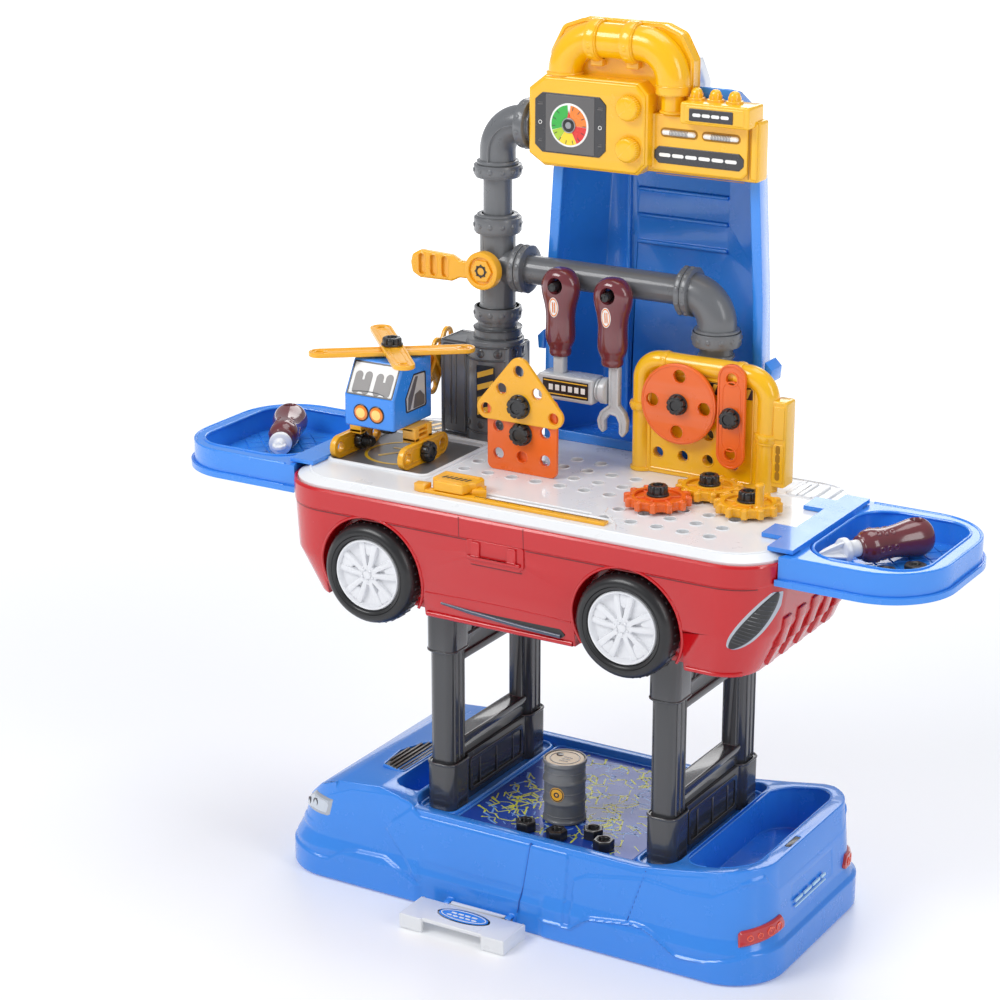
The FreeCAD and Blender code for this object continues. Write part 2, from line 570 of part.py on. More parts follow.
cb = [cyl("x", PIPE_R, -97.5, 60, PIPE_Y, CROSS_Z), cyl("x", FLANGE_R, -97.5, -92, PIPE_Y, CROSS_Z), cyl("x", FLANGE_R, 56, 66, PIPE_Y, CROSS_Z),
      cyl("x", FIT_R, 60, DROP_X - 26, PIPE_Y, CROSS_Z), elbow(DROP_X - 26, CROSS_Z - 26, PIPE_Y, 26, FIT_R + 1, 0, 90),
      cyl("z", FIT_R + 1, 480, CROSS_Z - 26, DROP_X, PIPE_Y), cyl("z", FLANGE_R + 1.5, 473, 484, DROP_X, PIPE_Y), cyl("z", 14.0, TABLE_Z, 480, DROP_X, PIPE_Y)]
s = cb[0]
for c in cb[1:]:
    s = s.fuse(c)
put("pipe_crossbar", s.removeSplitter())

pb = [box(-170, -101, 64, 99.5, TABLE_Z, 447), cyl("z", 25.0, TABLE_Z, 452, PIPE_X, PIPE_Y - 4), cyl("z", 20.5, 452, 461, PIPE_X, PIPE_Y),
      cyl("z", 16.5, 461, 468, PIPE_X, PIPE_Y)]
s = pb[0]
for c in pb[1:]:
    s = s.fuse(c)
s = s.common(box(-200, -90, 40, 99.8, 300, 500)).cut(cyl("z", PIPE_R, 444, 480, PIPE_X, PIPE_Y))
put("pipe_base", s.removeSplitter())

bar = cyl("x", PIPE_R, -97, 56, PIPE_Y, CROSS_Z)
PEG = ((-47.0, 512.5), (3.0, 510.0))
put("tool_pegs", comp([fuse([cyl("y", 3.6, 42.5, 80, x, z), cyl("y", 5.0, 71.0, 80, x, z)]).cut(bar) for x, z in PEG]))

# valve lever: hub and paddle, turning about a pin along Y
vh = cyl("y", 16.5, 55.0, 63.8, PIPE_X, CROSS_Z)
pad = poly(hull_arcs([(PIPE_X - 14, CROSS_Z, 8.0), (PIPE_X - 56, CROSS_Z - 1, 12.0), (PIPE_X - 60, CROSS_Z - 1, 12.0)]), "xz", 57.0, 62.0)
vh = vh.fuse(pad).fuse(cyl("y", 4.0, 63, 75, PIPE_X, CROSS_Z))
vh = vh.cut(hexprism("y", PIPE_X, CROSS_Z, 19, 54, 57.2, 0, 0))
put("valve_handle", vh.removeSplitter())

# ---- pegboard -----------------------------------------------------------
bd = box(29, 141, 58, 66, TABLE_Z, 456)
lp = [cyl("z", 9.0, TABLE_Z, 441, 30, 63), elbow(46, 441, 63, 16, 9.0, 90, 180), cyl("x", 9.0, 46, 58, 63, 457), cyl("x", 5.0, 56, 124, 63, 457),
      cyl("x", 9.3, 50, 55, 63, 458), cyl("x", 9.3, 118, 124, 63, 457),
      cyl("x", 9.3, 122, 128, 63, 455), elbow(128, 437, 63, 18, 9.3, 0, 90), cyl("z", 9.3, 400, 438, 146, 63), cyl("z", 11.0, 404, 411, 146, 63),
      cyl("z", 9.0, TABLE_Z, 404, 146, 63), cyl("z", 10.6, 416, 421, 30, 63)]
s = bd
for c in lp:
    s = s.fuse(c)
s = s.fuse(box(150, 165, 56, 74, 367, 440))
for x in (48.0, 71.2, 94.4, 117.6):
    s = s.cut(cyl("y", 4.6, 50, 80, x, 380))
s = s.cut(cyl("y", 4.6, 50, 80, 94.4, 402))
s = s.cut(cyl("y", 4.0, 50, 80, *DISC)).cut(cyl("y", 4.0, 50, 80, 118, 422))
put("pegboard", s.removeSplitter())
dsc = cyl("y", DISC_R, 49.0, 53.0, *DISC)
for t in (45, 135, 225, 315):
    a = math.radians(t + 43)
    dsc = dsc.cut(cyl("y", 5.5, 40, 60, DISC[0] + 24 * math.cos(a), DISC[1] + 24 * math.sin(a)))
put("peg_disc", dsc.cut(cyl("y", 4.0 + RUN, 40, 60, *DISC)))
ls = strip("xz", (118, 391), (118, 455), 12.5, 49.5, 57.95, (0.0, 1.0), 5.0).common(box(0, 200, 49.5, 53.5, 300, 500))
lk = [ls, cyl("y", 7.0, 53.5, 58, 118, 422)]
put("link_strip", fuse(lk).cut(cyl("y", 4.0, 40, 60, 118, 422)))

# ---- house plates -------------------------------------------------------
sq = Part.Face(Part.makePolygon([V(-83, -2, TABLE_Z + 0.0), V(-16, -2, TABLE_Z), V(-16, -2, 429), V(-83, -2, 429), V(-83, -2, TABLE_Z)])).extrude(V(0, 4, 0))
ed = [e for e in sq.Edges if abs(e.Length - 4) < 1e-6]
sq = sq.makeFillet(6.0, ed)
for x in (-72, -49.5, -27):
    for z in (376, 400, 421):
        if x == -49.5 and z > 380:
            continue
        sq = sq.cut(cyl("y", 4.8, -10, 10, x, z))
sq = sq.cut(cyl("y", 4.0, -10, 10, -49.5, 396.4))
put("house_square", sq)
tri = poly(hull_arcs([(-50.5, 452.5, 10.0), (-81.5, 415.5, 9.5), (-17.8, 415.5, 9.5)]), "xz", -6, -2)
for x, z in ((-50.5, 451), (-67, 434), (-33, 434), (-82, 415), (-17, 415)):
    tri = tri.cut(cyl("y", 4.8, -10, 10, x, z))
tri = tri.cut(cyl("y", 4.0, -10, 10, -49.5, 421))
put("house_triangle", tri)
hb = fuse([box(-60, -39, 2, 5, TABLE_Z, 382), box(-60, -39, 2, 24, TABLE_Z, TABLE_Z + 3)])
put("house_bracket", hb)

# ---- gears and bolts ----------------------------------------------------


def gear(cx, cy, z0, z1, phase, hub_r=11.0):
    g = cyl("z", GEAR_ROOT, z0, z1, cx, cy)
    tw = 5.2
    for k in range(GEAR_TEETH):
        b = poly([(GEAR_ROOT - 2, -tw / 2 - 0.3), (GEAR_TIP - 1.2, -tw / 2), (GEAR_TIP, -tw / 2 + 1.2), (GEAR_TIP, tw / 2 - 1.2), (GEAR_TIP - 1.2, tw / 2), (GEAR_ROOT - 2, tw / 2 + 0.3)], "xy", z0, z1)
        b.rotate(V(0, 0, 0), V(0, 0, 1), phase + 360.0 / GEAR_TEETH * k)
        b.translate(V(cx, cy, 0))
        g = g.fuse(b)
    ring = cyl("z", GEAR_ROOT - 4.5, z1 - 2.6, z1 + 1, cx, cy).cut(cyl("z", hub_r, z1 - 3, z1 + 2, cx, cy))
    g = g.cut(ring)
    return g.cut(cyl("z", 4.0 + RUN, z0 - 1, z1 + 1, cx, cy)).removeSplitter()


GZ0, GZ1 = TABLE_Z + 2.3, TABLE_Z + 9.8
g1, g2, g3 = GEARS["gear_orange"], GEARS["gear_idler"], GEARS["gear_crank"]


def bearing(a, b):
    return math.degrees(math.atan2(b[1] - a[1], b[0] - a[0]))


# the idler's teeth point at both neighbours' gaps
ph2 = bearing(g2, g1)
ph1 = bearing(g1, g2) + 15.0
ph3 = bearing(g3, g2)
ang = (bearing(g2, g3) - ph2) % 30.0            # idler's tooth offset towards the crank gear
ph3 = bearing(g3, g2) + 15.0 + ang
put("gear_orange", gear(g1[0], g1[1], GZ0, GZ1, ph1))
put("gear_idler", gear(g2[0], g2[1], GZ0, GZ1, ph2))
gc = gear(g3[0], g3[1], GZ0, GZ1, ph3)
gc = gc.fuse(cyl("z", 3.6, GZ1 - 3, GZ1 + 19, g3[0] + 13.5, g3[1] - 8.0))
put("gear_crank", gc.removeSplitter())

bolts = []
for g in GEARS_XY:
    bolts.append(fuse([knurl_bolt("z", g[0], g[1], (GZ1 + 0.4, GZ1 + 7.0), (353, GZ1 + 1), 8.0, 4.0), cyl("z", 6.5, TABLE_Z, TABLE_Z + 2.0, g[0], g[1])]))
bolts.append(knurl_bolt("y", DISC[0], DISC[1], (42.6, 48.7), (48, 64)))
bolts.append(knurl_bolt("y", 118, 422, (43.2, 49.5), (49, 64)))
bolts.append(knurl_bolt("y", -49.5, 421, (-12.4, -6.0), (-7, 1.5), 9.5, 4.0))
bolts.append(knurl_bolt("y", -49.5, 396.4, (-9.0, -2.0), (-3, 1.5), 9.2, 4.0))
sqh = PARTS["house_square"].cut(cyl("y", 4.0, -10, 10, -49.5, 421))
PARTS["house_square"] = sqh
put("kit_bolts", comp(bolts))

# ---- measure and slider -------------------------------------------------
ru = fuse([box(-96, 76, -87.5, -79.5, 360.5, 364.2), poly([(-103, -86), (-98, -88), (-91.5, -88), (-91.5, -77), (-103, -79)], "xy", 360.5, 368)])
ru = ru.common(box(-110, 80, -95, -70, TABLE_Z, 370))
put("ruler", ru)
sl = fuse([box(-90, -50, -78.6, -57, TABLE_Z + 0.3, 373.0), box(-88, -52, -87, -57, 364.6, 373.0)])
sl = sl.fuse(box(-86, -56, -68.0, -66.0, 354.0, 362.5)).removeSplitter()
put("caliper_slider", sl)

# ---- helicopter ---------------------------------------------------------
cab = poly([(-43, 392), (-43, 419.5), (-27, 447.5), (17, 447.5), (17, 392)], "yz", -200, -150)
cab = cab.cut(cyl("z", 4.0 + RUN, 436, 460, HX, HY))
cab = cab.cut(box(-197, -153, -40, 14, 390, 408))
put("heli_cabin", cab)
sk = []
for x0, s in ((-211.5, -1), (-143.0, 1)):
    f = strip("yz", (-40, 370.3), (14, 370.3), 9.8, x0, x0 + 5.5, (0.0, 1.0), 5.0)
    sk.append(f)
for s, x0, x1 in ((-1, -208, -196), (1, -154, -141)):
    for y0 in (-24, -4):
        sk.append(box(x0, x1, y0, y0 + 7, 378.6, 389.0))
    sk.append(box(min(x0, x1), max(x0, x1), -24, 3, 379.5, 383))
cross = [box(-206, -143, -24, 3, 388.5, 391.95)]
skid = fuse(sk + cross)
put("heli_skids", skid)
hb = [knurl_bolt("x", -13, 370.3, (-137.5, -130.5), (-143.5, -137), 9.0, 4.0),
      knurl_bolt("x", -13, 370.3, (-206.0, -199.5), (-200, -199.4), 8.0, 4.0),
      knurl_bolt("z", HX, -13, (381.0, 388.4), (388, 395), 7.5, 4.0)]
PARTS["heli_skids"] = PARTS["heli_skids"].cut(cyl("z", 4.0, 380, 400, HX, -13)).cut(cyl("x", 4.0, -145, -137, -13, 370.3))
cabx = PARTS["heli_cabin"]
boom = fuse([strip("yz", (26, 421), (85, 421), 9.0, -190.5, -186.5, (0.35, 0.68), 4.5), box(-190.5, -160, 17.05, 21, 412, 430)])
boom = boom.cut(cyl("x", 4.0, -200, -180, 85, 421))
put("heli_tail_boom", boom)
trb = knurl_bolt("x", 85, 421, (-179.0, -173.0), (-194, -178), 8.5, 4.0)
hb.append(trb)
tr = fuse([strip("yz", (85 - 13, 421 - 20), (85 + 13, 421 + 20), 8.0, -186.1, -182.8, (0.0, 1.0), 4.5),
           strip("yz", (85 + 9, 421 - 15), (85 - 9, 421 + 15), 8.0, -182.8, -179.5, (0.0, 1.0), 4.5)])
put("heli_tail_rotor", tr.cut(cyl("x", 4.0 + RUN, -200, -170, 85, 421)))
rt = []
for ang, z0 in ((37.5, 449.5), (-48.0, 453.3)):
    c, sn = math.cos(math.radians(ang)), math.sin(math.radians(ang))
    p = (HX - 62 * c, HY - 62 * sn)
    q = (HX + 62 * c, HY + 62 * sn)
    rt.append(strip("xy", p, q, 9.5, z0, z0 + 3.8, (0.0, 1.0, 0.13, 0.87), 3.6))
rt.append(knurl_bolt("z", HX, HY, (457.1, 464.0), (438, 458), 8.0, 4.0))
put("heli_main_rotor", fuse(rt).removeSplitter())
put("heli_bolts", comp(hb))


# ---- hanging tools ------------------------------------------------------
def handle(cx, ztop, y0, y1, hole_z):
    prof = [(0, 6), (-3, 11), (-8, 15.2), (-16, 17.4), (-24, 17.0), (-34, 14.2), (-46, 12.8), (-56, 13.6), (-64, 12.6), (-70, 9.5), (-76, 8.2)]
    pts = [(cx + w, ztop + z) for z, w in prof] + [(cx - w, ztop + z) for z, w in prof[::-1]]
    h = poly(pts, "xz", y0, y1)
    ed = [e for e in h.Edges if abs(e.BoundBox.YLength) < 1e-6]
    try:
        h = h.makeChamfer(3.0, ed)
    except Exception:
        pass
    return h.cut(cyl("y", 5.2, y0 - 5, y1 + 5, cx, hole_z))


HH = handle(-47.0, 527.0, 47.0, 70.0, 513.0)
put("hammer_handle", HH)
hh = fuse([box(-52, -42, 53.5, 63.5, 436, 451), box(-63, -10, 48, 69, 414, 436), cyl("x", 8.5, -11, -6, 58.5, 425), cyl("x", 11.3, -6.5, 0.3, 58.5, 426),
           cyl("x", 8.0, -68, -62, 58.5, 425)])
put("hammer_head", hh.removeSplitter())
WH = handle(3.0, 524.5, 47.0, 70.0, 510.5)
put("wrench_handle", WH)
jaw = [(1.2, 448.5), (1.2, 413.2), (-7.5, 406.0), (-9.0, 398.0), (-4.5, 390.5), (-2.5, 391.5), (-2.5, 402.0), (1.5, 407.0), (9.5, 405.0), (11.5, 400),
       (12.0, 389.5), (15.5, 388.0), (18.3, 396.0), (18.0, 406.0), (10.5, 414.0), (10.5, 448.5)]
put("wrench_jaw", poly(jaw, "xz", 55, 61.5))


# ---- write --------------------------------------------------------------
def main():
    total = None
    for name, shp in PARTS.items():
        shp.exportStep("parts/" + name + ".step")
        b = shp.BoundBox
        total = b if total is None else total.united(b)
        bad = [i for i, s_ in enumerate(shp.Solids) if not s_.isValid() or s_.Volume <= 0]
        print("%-22s solids %2d vol %9.0f valid %s  x %.1f %.1f y %.1f %.1f z %.1f %.1f %s" % (
            name, len(shp.Solids), shp.Volume, shp.isValid(), b.XMin, b.XMax, b.YMin, b.YMax, b.ZMin, b.ZMax, bad or ""))
    print(len(PARTS), "nodes", total)


main()
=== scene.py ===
import bpy, bmesh, math
import numpy as np
from mathutils import Vector, Matrix, Euler


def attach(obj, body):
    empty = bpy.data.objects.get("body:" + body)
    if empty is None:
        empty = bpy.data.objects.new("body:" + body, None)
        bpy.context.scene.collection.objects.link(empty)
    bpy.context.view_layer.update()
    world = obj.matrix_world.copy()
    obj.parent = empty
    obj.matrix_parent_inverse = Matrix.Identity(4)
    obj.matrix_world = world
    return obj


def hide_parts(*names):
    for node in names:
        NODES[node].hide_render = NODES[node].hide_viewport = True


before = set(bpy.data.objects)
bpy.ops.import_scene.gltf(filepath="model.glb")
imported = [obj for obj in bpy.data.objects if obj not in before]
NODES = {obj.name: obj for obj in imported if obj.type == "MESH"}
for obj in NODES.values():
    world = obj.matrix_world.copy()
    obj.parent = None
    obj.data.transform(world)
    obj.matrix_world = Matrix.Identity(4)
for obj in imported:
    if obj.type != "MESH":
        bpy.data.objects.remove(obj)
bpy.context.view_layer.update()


S = 0.001
scene = bpy.context.scene
coll = scene.collection
D2 = math.radians

# ---------------------------------------------------------------------------
# materials
# ---------------------------------------------------------------------------
MATS = {}


def _n(nt, kind, **kw):
    node = nt.nodes.new(kind)
    for k, v in kw.items():
        setattr(node, k, v)
    return node


def srgb(r, g, b):
    def f(c):
        c = c / 255.0
        return c / 12.92 if c <= 0.04045 else ((c + 0.055) / 1.055) ** 2.4
    return (f(r), f(g), f(b))


def moulded(name, rgb, rough=0.22, coat=0.35, spread=0.05, vary=0.05, bump=0.05, grain=900.0, spec=0.5, edge_highlight=0.12, sss=0.0, metal=0.0, peel=0.02):
    """Injection-moulded plastic: slight colour drift, handled patches that scatter more, fine moulding grain, faint
    flow waves, and a painted highlight: edges lightened towards a paler line."""
    m = bpy.data.materials.new(name)
    m.use_nodes = True
    nt = m.node_tree
    b = nt.nodes["Principled BSDF"]
    b.inputs["Coat Weight"].default_value = coat
    b.inputs["Coat Roughness"].default_value = 0.06
    b.inputs["Specular IOR Level"].default_value = spec
    b.inputs["Metallic"].default_value = metal
    if sss:
        b.inputs["Subsurface Weight"].default_value = sss
        b.inputs["Subsurface Radius"].default_value = (0.004, 0.002, 0.001)
        b.inputs["Subsurface Scale"].default_value = 0.5
    tc = _n(nt, "ShaderNodeTexCoord")
    big = _n(nt, "ShaderNodeTexNoise")
    big.inputs["Scale"].default_value = 9.0
    big.inputs["Detail"].default_value = 3.0
    nt.links.new(tc.outputs["Object"], big.inputs["Vector"])
    cr = _n(nt, "ShaderNodeMix", data_type="RGBA")
    lo = tuple(max(0, c * (1 - vary)) for c in rgb) + (1,)
    hi = tuple(min(1, c * (1 + vary) + 0.004) for c in rgb) + (1,)
    cr.inputs[6].default_value = lo
    cr.inputs[7].default_value = hi
    nt.links.new(big.outputs["Fac"], cr.inputs[0])
    # painted highlight: pointiness mixes every edge towards a paler colour, a light line along the edges
    geo = _n(nt, "ShaderNodeNewGeometry")
    ramp = _n(nt, "ShaderNodeValToRGB")
    ramp.color_ramp.elements[0].position = 0.52
    ramp.color_ramp.elements[0].color = (0, 0, 0, 1)
    ramp.color_ramp.elements[1].position = 0.62
    ramp.color_ramp.elements[1].color = (edge_highlight, edge_highlight, edge_highlight, 1)
    nt.links.new(geo.outputs["Pointiness"], ramp.inputs[0])
    ed = _n(nt, "ShaderNodeMix", data_type="RGBA")
    ed.inputs[7].default_value = tuple(min(1, c * 0.6 + 0.4) for c in rgb) + (1,)
    nt.links.new(ramp.outputs[0], ed.inputs[0])
    nt.links.new(cr.outputs[2], ed.inputs[6])
    nt.links.new(ed.outputs[2], b.inputs["Base Color"])
    mid = _n(nt, "ShaderNodeTexNoise")
    mid.inputs["Scale"].default_value = 38.0
    mid.inputs["Detail"].default_value = 5.0
    mid.inputs["Roughness"].default_value = 0.65
    nt.links.new(tc.outputs["Object"], mid.inputs["Vector"])
    rr = _n(nt, "ShaderNodeMapRange")
    rr.inputs[1].default_value = 0.3
    rr.inputs[2].default_value = 0.75
    rr.inputs[3].default_value = max(0.02, rough - spread)
    rr.inputs[4].default_value = rough + spread * 1.6
    nt.links.new(mid.outputs["Fac"], rr.inputs[0])
    nt.links.new(rr.outputs[0], b.inputs["Roughness"])
    fine = _n(nt, "ShaderNodeTexNoise")
    fine.inputs["Scale"].default_value = grain
    fine.inputs["Detail"].default_value = 2.0
    nt.links.new(tc.outputs["Object"], fine.inputs["Vector"])
    b1 = _n(nt, "ShaderNodeBump")
    b1.inputs["Strength"].default_value = bump
    b1.inputs["Distance"].default_value = 0.0004
    nt.links.new(fine.outputs["Fac"], b1.inputs["Height"])
    wave = _n(nt, "ShaderNodeTexNoise")
    wave.inputs["Scale"].default_value = 26.0
    wave.inputs["Detail"].default_value = 1.0
    nt.links.new(tc.outputs["Object"], wave.inputs["Vector"])
    b2 = _n(nt, "ShaderNodeBump")
    b2.inputs["Strength"].default_value = peel
    b2.inputs["Distance"].default_value = 0.004
    nt.links.new(wave.outputs["Fac"], b2.inputs["Height"])
    nt.links.new(b1.outputs[0], b2.inputs["Normal"])
    nt.links.new(b2.outputs[0], b.inputs["Normal"])
    MATS[name] = m
    return m


BLUE = moulded("blue_moulded", srgb(50, 140, 238), rough=0.24, coat=0.45, grain=1500, bump=0.03, edge_highlight=0.0)
BLUE_IN = moulded("blue_inner", srgb(26, 112, 214), rough=0.34, coat=0.2, grain=1100, bump=0.06)
RED = moulded("red_moulded", srgb(198, 0, 14), rough=0.2, coat=0.5, grain=1500, bump=0.03, edge_highlight=0.0)
WHITE = moulded("white_moulded", srgb(236, 238, 240), rough=0.3, coat=0.3, vary=0.015, edge_highlight=0.0)
YELLOW = moulded("yellow_moulded", srgb(248, 188, 0), rough=0.22, coat=0.4)
KITY = moulded("kit_yellow_moulded", srgb(246, 178, 18), rough=0.3, coat=0.3)
ORANGE = moulded("kit_orange_moulded", srgb(240, 104, 14), rough=0.3, coat=0.3)
PIPE = moulded("pipe_grey_moulded", srgb(104, 106, 109), rough=0.3, coat=0.25)
DARK = moulded("charcoal_moulded", srgb(60, 61, 64), rough=0.2, coat=0.5)
BLACK = moulded("black_moulded", srgb(24, 24, 26), rough=0.3, coat=0.3, edge_highlight=0.05)
MAROON = moulded("maroon_moulded", srgb(112, 46, 52), rough=0.16, coat=0.6)
TOOLG = moulded("tool_grey_moulded", srgb(196, 198, 200), rough=0.28, coat=0.3, vary=0.02)
TYRE = moulded("tyre_rubber", srgb(22, 22, 24), rough=0.36, coat=0.15, bump=0.1, grain=700, edge_highlight=0.05)
HUBW = moulded("hub_white", srgb(232, 233, 236), rough=0.26, coat=0.35, vary=0.015, edge_highlight=0.0)
DRUMG = moulded("drum_grey_moulded", srgb(112, 114, 116), rough=0.34, coat=0.2, grain=600)
CREAM = moulded("drum_lid_cream", srgb(226, 216, 186), rough=0.4, coat=0.1, vary=0.04)
SILVER = moulded("silver_print", srgb(178, 184, 192), rough=0.2, coat=0.4, metal=0.35, edge_highlight=0.0)
STEEL = moulded("axle_steel", srgb(170, 172, 176), rough=0.25, coat=0.0, metal=1.0, edge_highlight=0.0)
MATB = moulded("mat_blue_print", srgb(18, 44, 120), rough=0.16, coat=0.6)
REDL = moulded("lamp_red", srgb(196, 10, 20), rough=0.1, coat=0.9)
AMBER = moulded("lamp_amber", srgb(255, 138, 30), rough=0.12, coat=0.9)
CLEAR = moulded("lamp_clear", srgb(206, 214, 224), rough=0.08, coat=1.0, metal=0.2)
PLATE = moulded("label_dark", srgb(44, 44, 48), rough=0.26, coat=0.4, edge_highlight=0.0)
GREYC = moulded("label_grey", srgb(150, 152, 156), rough=0.3, coat=0.3, edge_highlight=0.0)
DGREEN = moulded("dial_green", srgb(40, 176, 60), rough=0.25, coat=0.4, edge_highlight=0.0)
DYG = moulded("dial_lime", srgb(170, 206, 40), rough=0.25, coat=0.4, edge_highlight=0.0)
DYEL = moulded("dial_yellow", srgb(250, 214, 30), rough=0.25, coat=0.4, edge_highlight=0.0)
DRED = moulded("dial_red", srgb(224, 40, 30), rough=0.25, coat=0.4, edge_highlight=0.0)
DORG = moulded("dial_orange", srgb(244, 130, 30), rough=0.25, coat=0.4, edge_highlight=0.0)


def paint(obj, mat):
    obj.data.materials.clear()
    obj.data.materials.append(mat)


CAD_MAT = {
    "base_shell": BLUE, "back_panel": BLUE, "left_tray": BLUE, "right_tray": BLUE, "heli_cabin": BLUE,
    "tub_shell": RED, "table_top": WHITE, "latch_flap": WHITE, "carry_handle": WHITE,
    "console_housing": YELLOW, "knob_upper": YELLOW, "knob_lower": YELLOW, "pegboard": YELLOW,
    "house_triangle": KITY, "gear_crank": KITY, "gear_idler": KITY, "ruler": KITY, "caliper_slider": KITY, "heli_skids": KITY,
    "heli_tail_boom": KITY, "heli_main_rotor": KITY, "heli_tail_rotor": KITY, "valve_handle": KITY,
    "house_square": ORANGE, "peg_disc": ORANGE, "link_strip": ORANGE, "gear_orange": ORANGE, "house_bracket": ORANGE,
    "pipe_column": PIPE, "pipe_crossbar": PIPE, "panel_bracket": BLUE, "pipe_base": PIPE,
    "left_leg_frame": DARK, "right_leg_frame": DARK, "leg_sockets": DARK,
    "kit_bolts": BLACK, "tool_pegs": BLACK, "heli_bolts": BLACK, "base_nuts": BLACK, "tray_nuts": BLACK, "tub_grilles": BLACK,
    "hammer_handle": MAROON, "wrench_handle": MAROON, "left_driver_handle": MAROON, "right_driver_handle": MAROON,
    "hammer_head": TOOLG, "wrench_jaw": TOOLG, "left_driver_bit": TOOLG, "right_driver_bit": TOOLG,
    "front_tyres": TYRE, "rear_tyres": TYRE, "front_hubs": HUBW, "rear_hubs": HUBW, "front_axle": STEEL, "rear_axle": STEEL,
    "base_mat": MATB, "headlamps": CLEAR, "tail_lamps": REDL, "console_labels": PLATE, "drum": DRUMG,
}
for _name, _o in NODES.items():
    paint(_o, CAD_MAT.get(_name, PIPE))

# ---------------------------------------------------------------------------
# geometry helpers: everything below is in millimetres and is scaled on output
# ---------------------------------------------------------------------------
def mp(plane, u, v, w):
    if plane == "xy":
        return (u, v, w)
    if plane == "xz":
        return (u, w, v)
    return (w, u, v)


def sstep(t):
    t = min(1.0, max(0.0, t))
    return t * t * (3 - 2 * t)


def lerp(a, b, t):
    return a + (b - a) * t


def interp(tbl, x):
    if x <= tbl[0][0]:
        return tbl[0][1]
    for (a, b), (c, d) in zip(tbl, tbl[1:]):
        if x <= c:
            return lerp(b, d, (x - a) / (c - a))
    return tbl[-1][1]


def dist_line(pts, x, z):
    # signed-free distance from (x, z) to a polyline
    best = 1e9
    for (ax, az), (bx, bz) in zip(pts, pts[1:]):
        vx, vz = bx - ax, bz - az
        t = max(0.0, min(1.0, ((x - ax) * vx + (z - az) * vz) / (vx * vx + vz * vz)))
        best = min(best, math.hypot(x - ax - vx * t, z - az - vz * t))
    return best


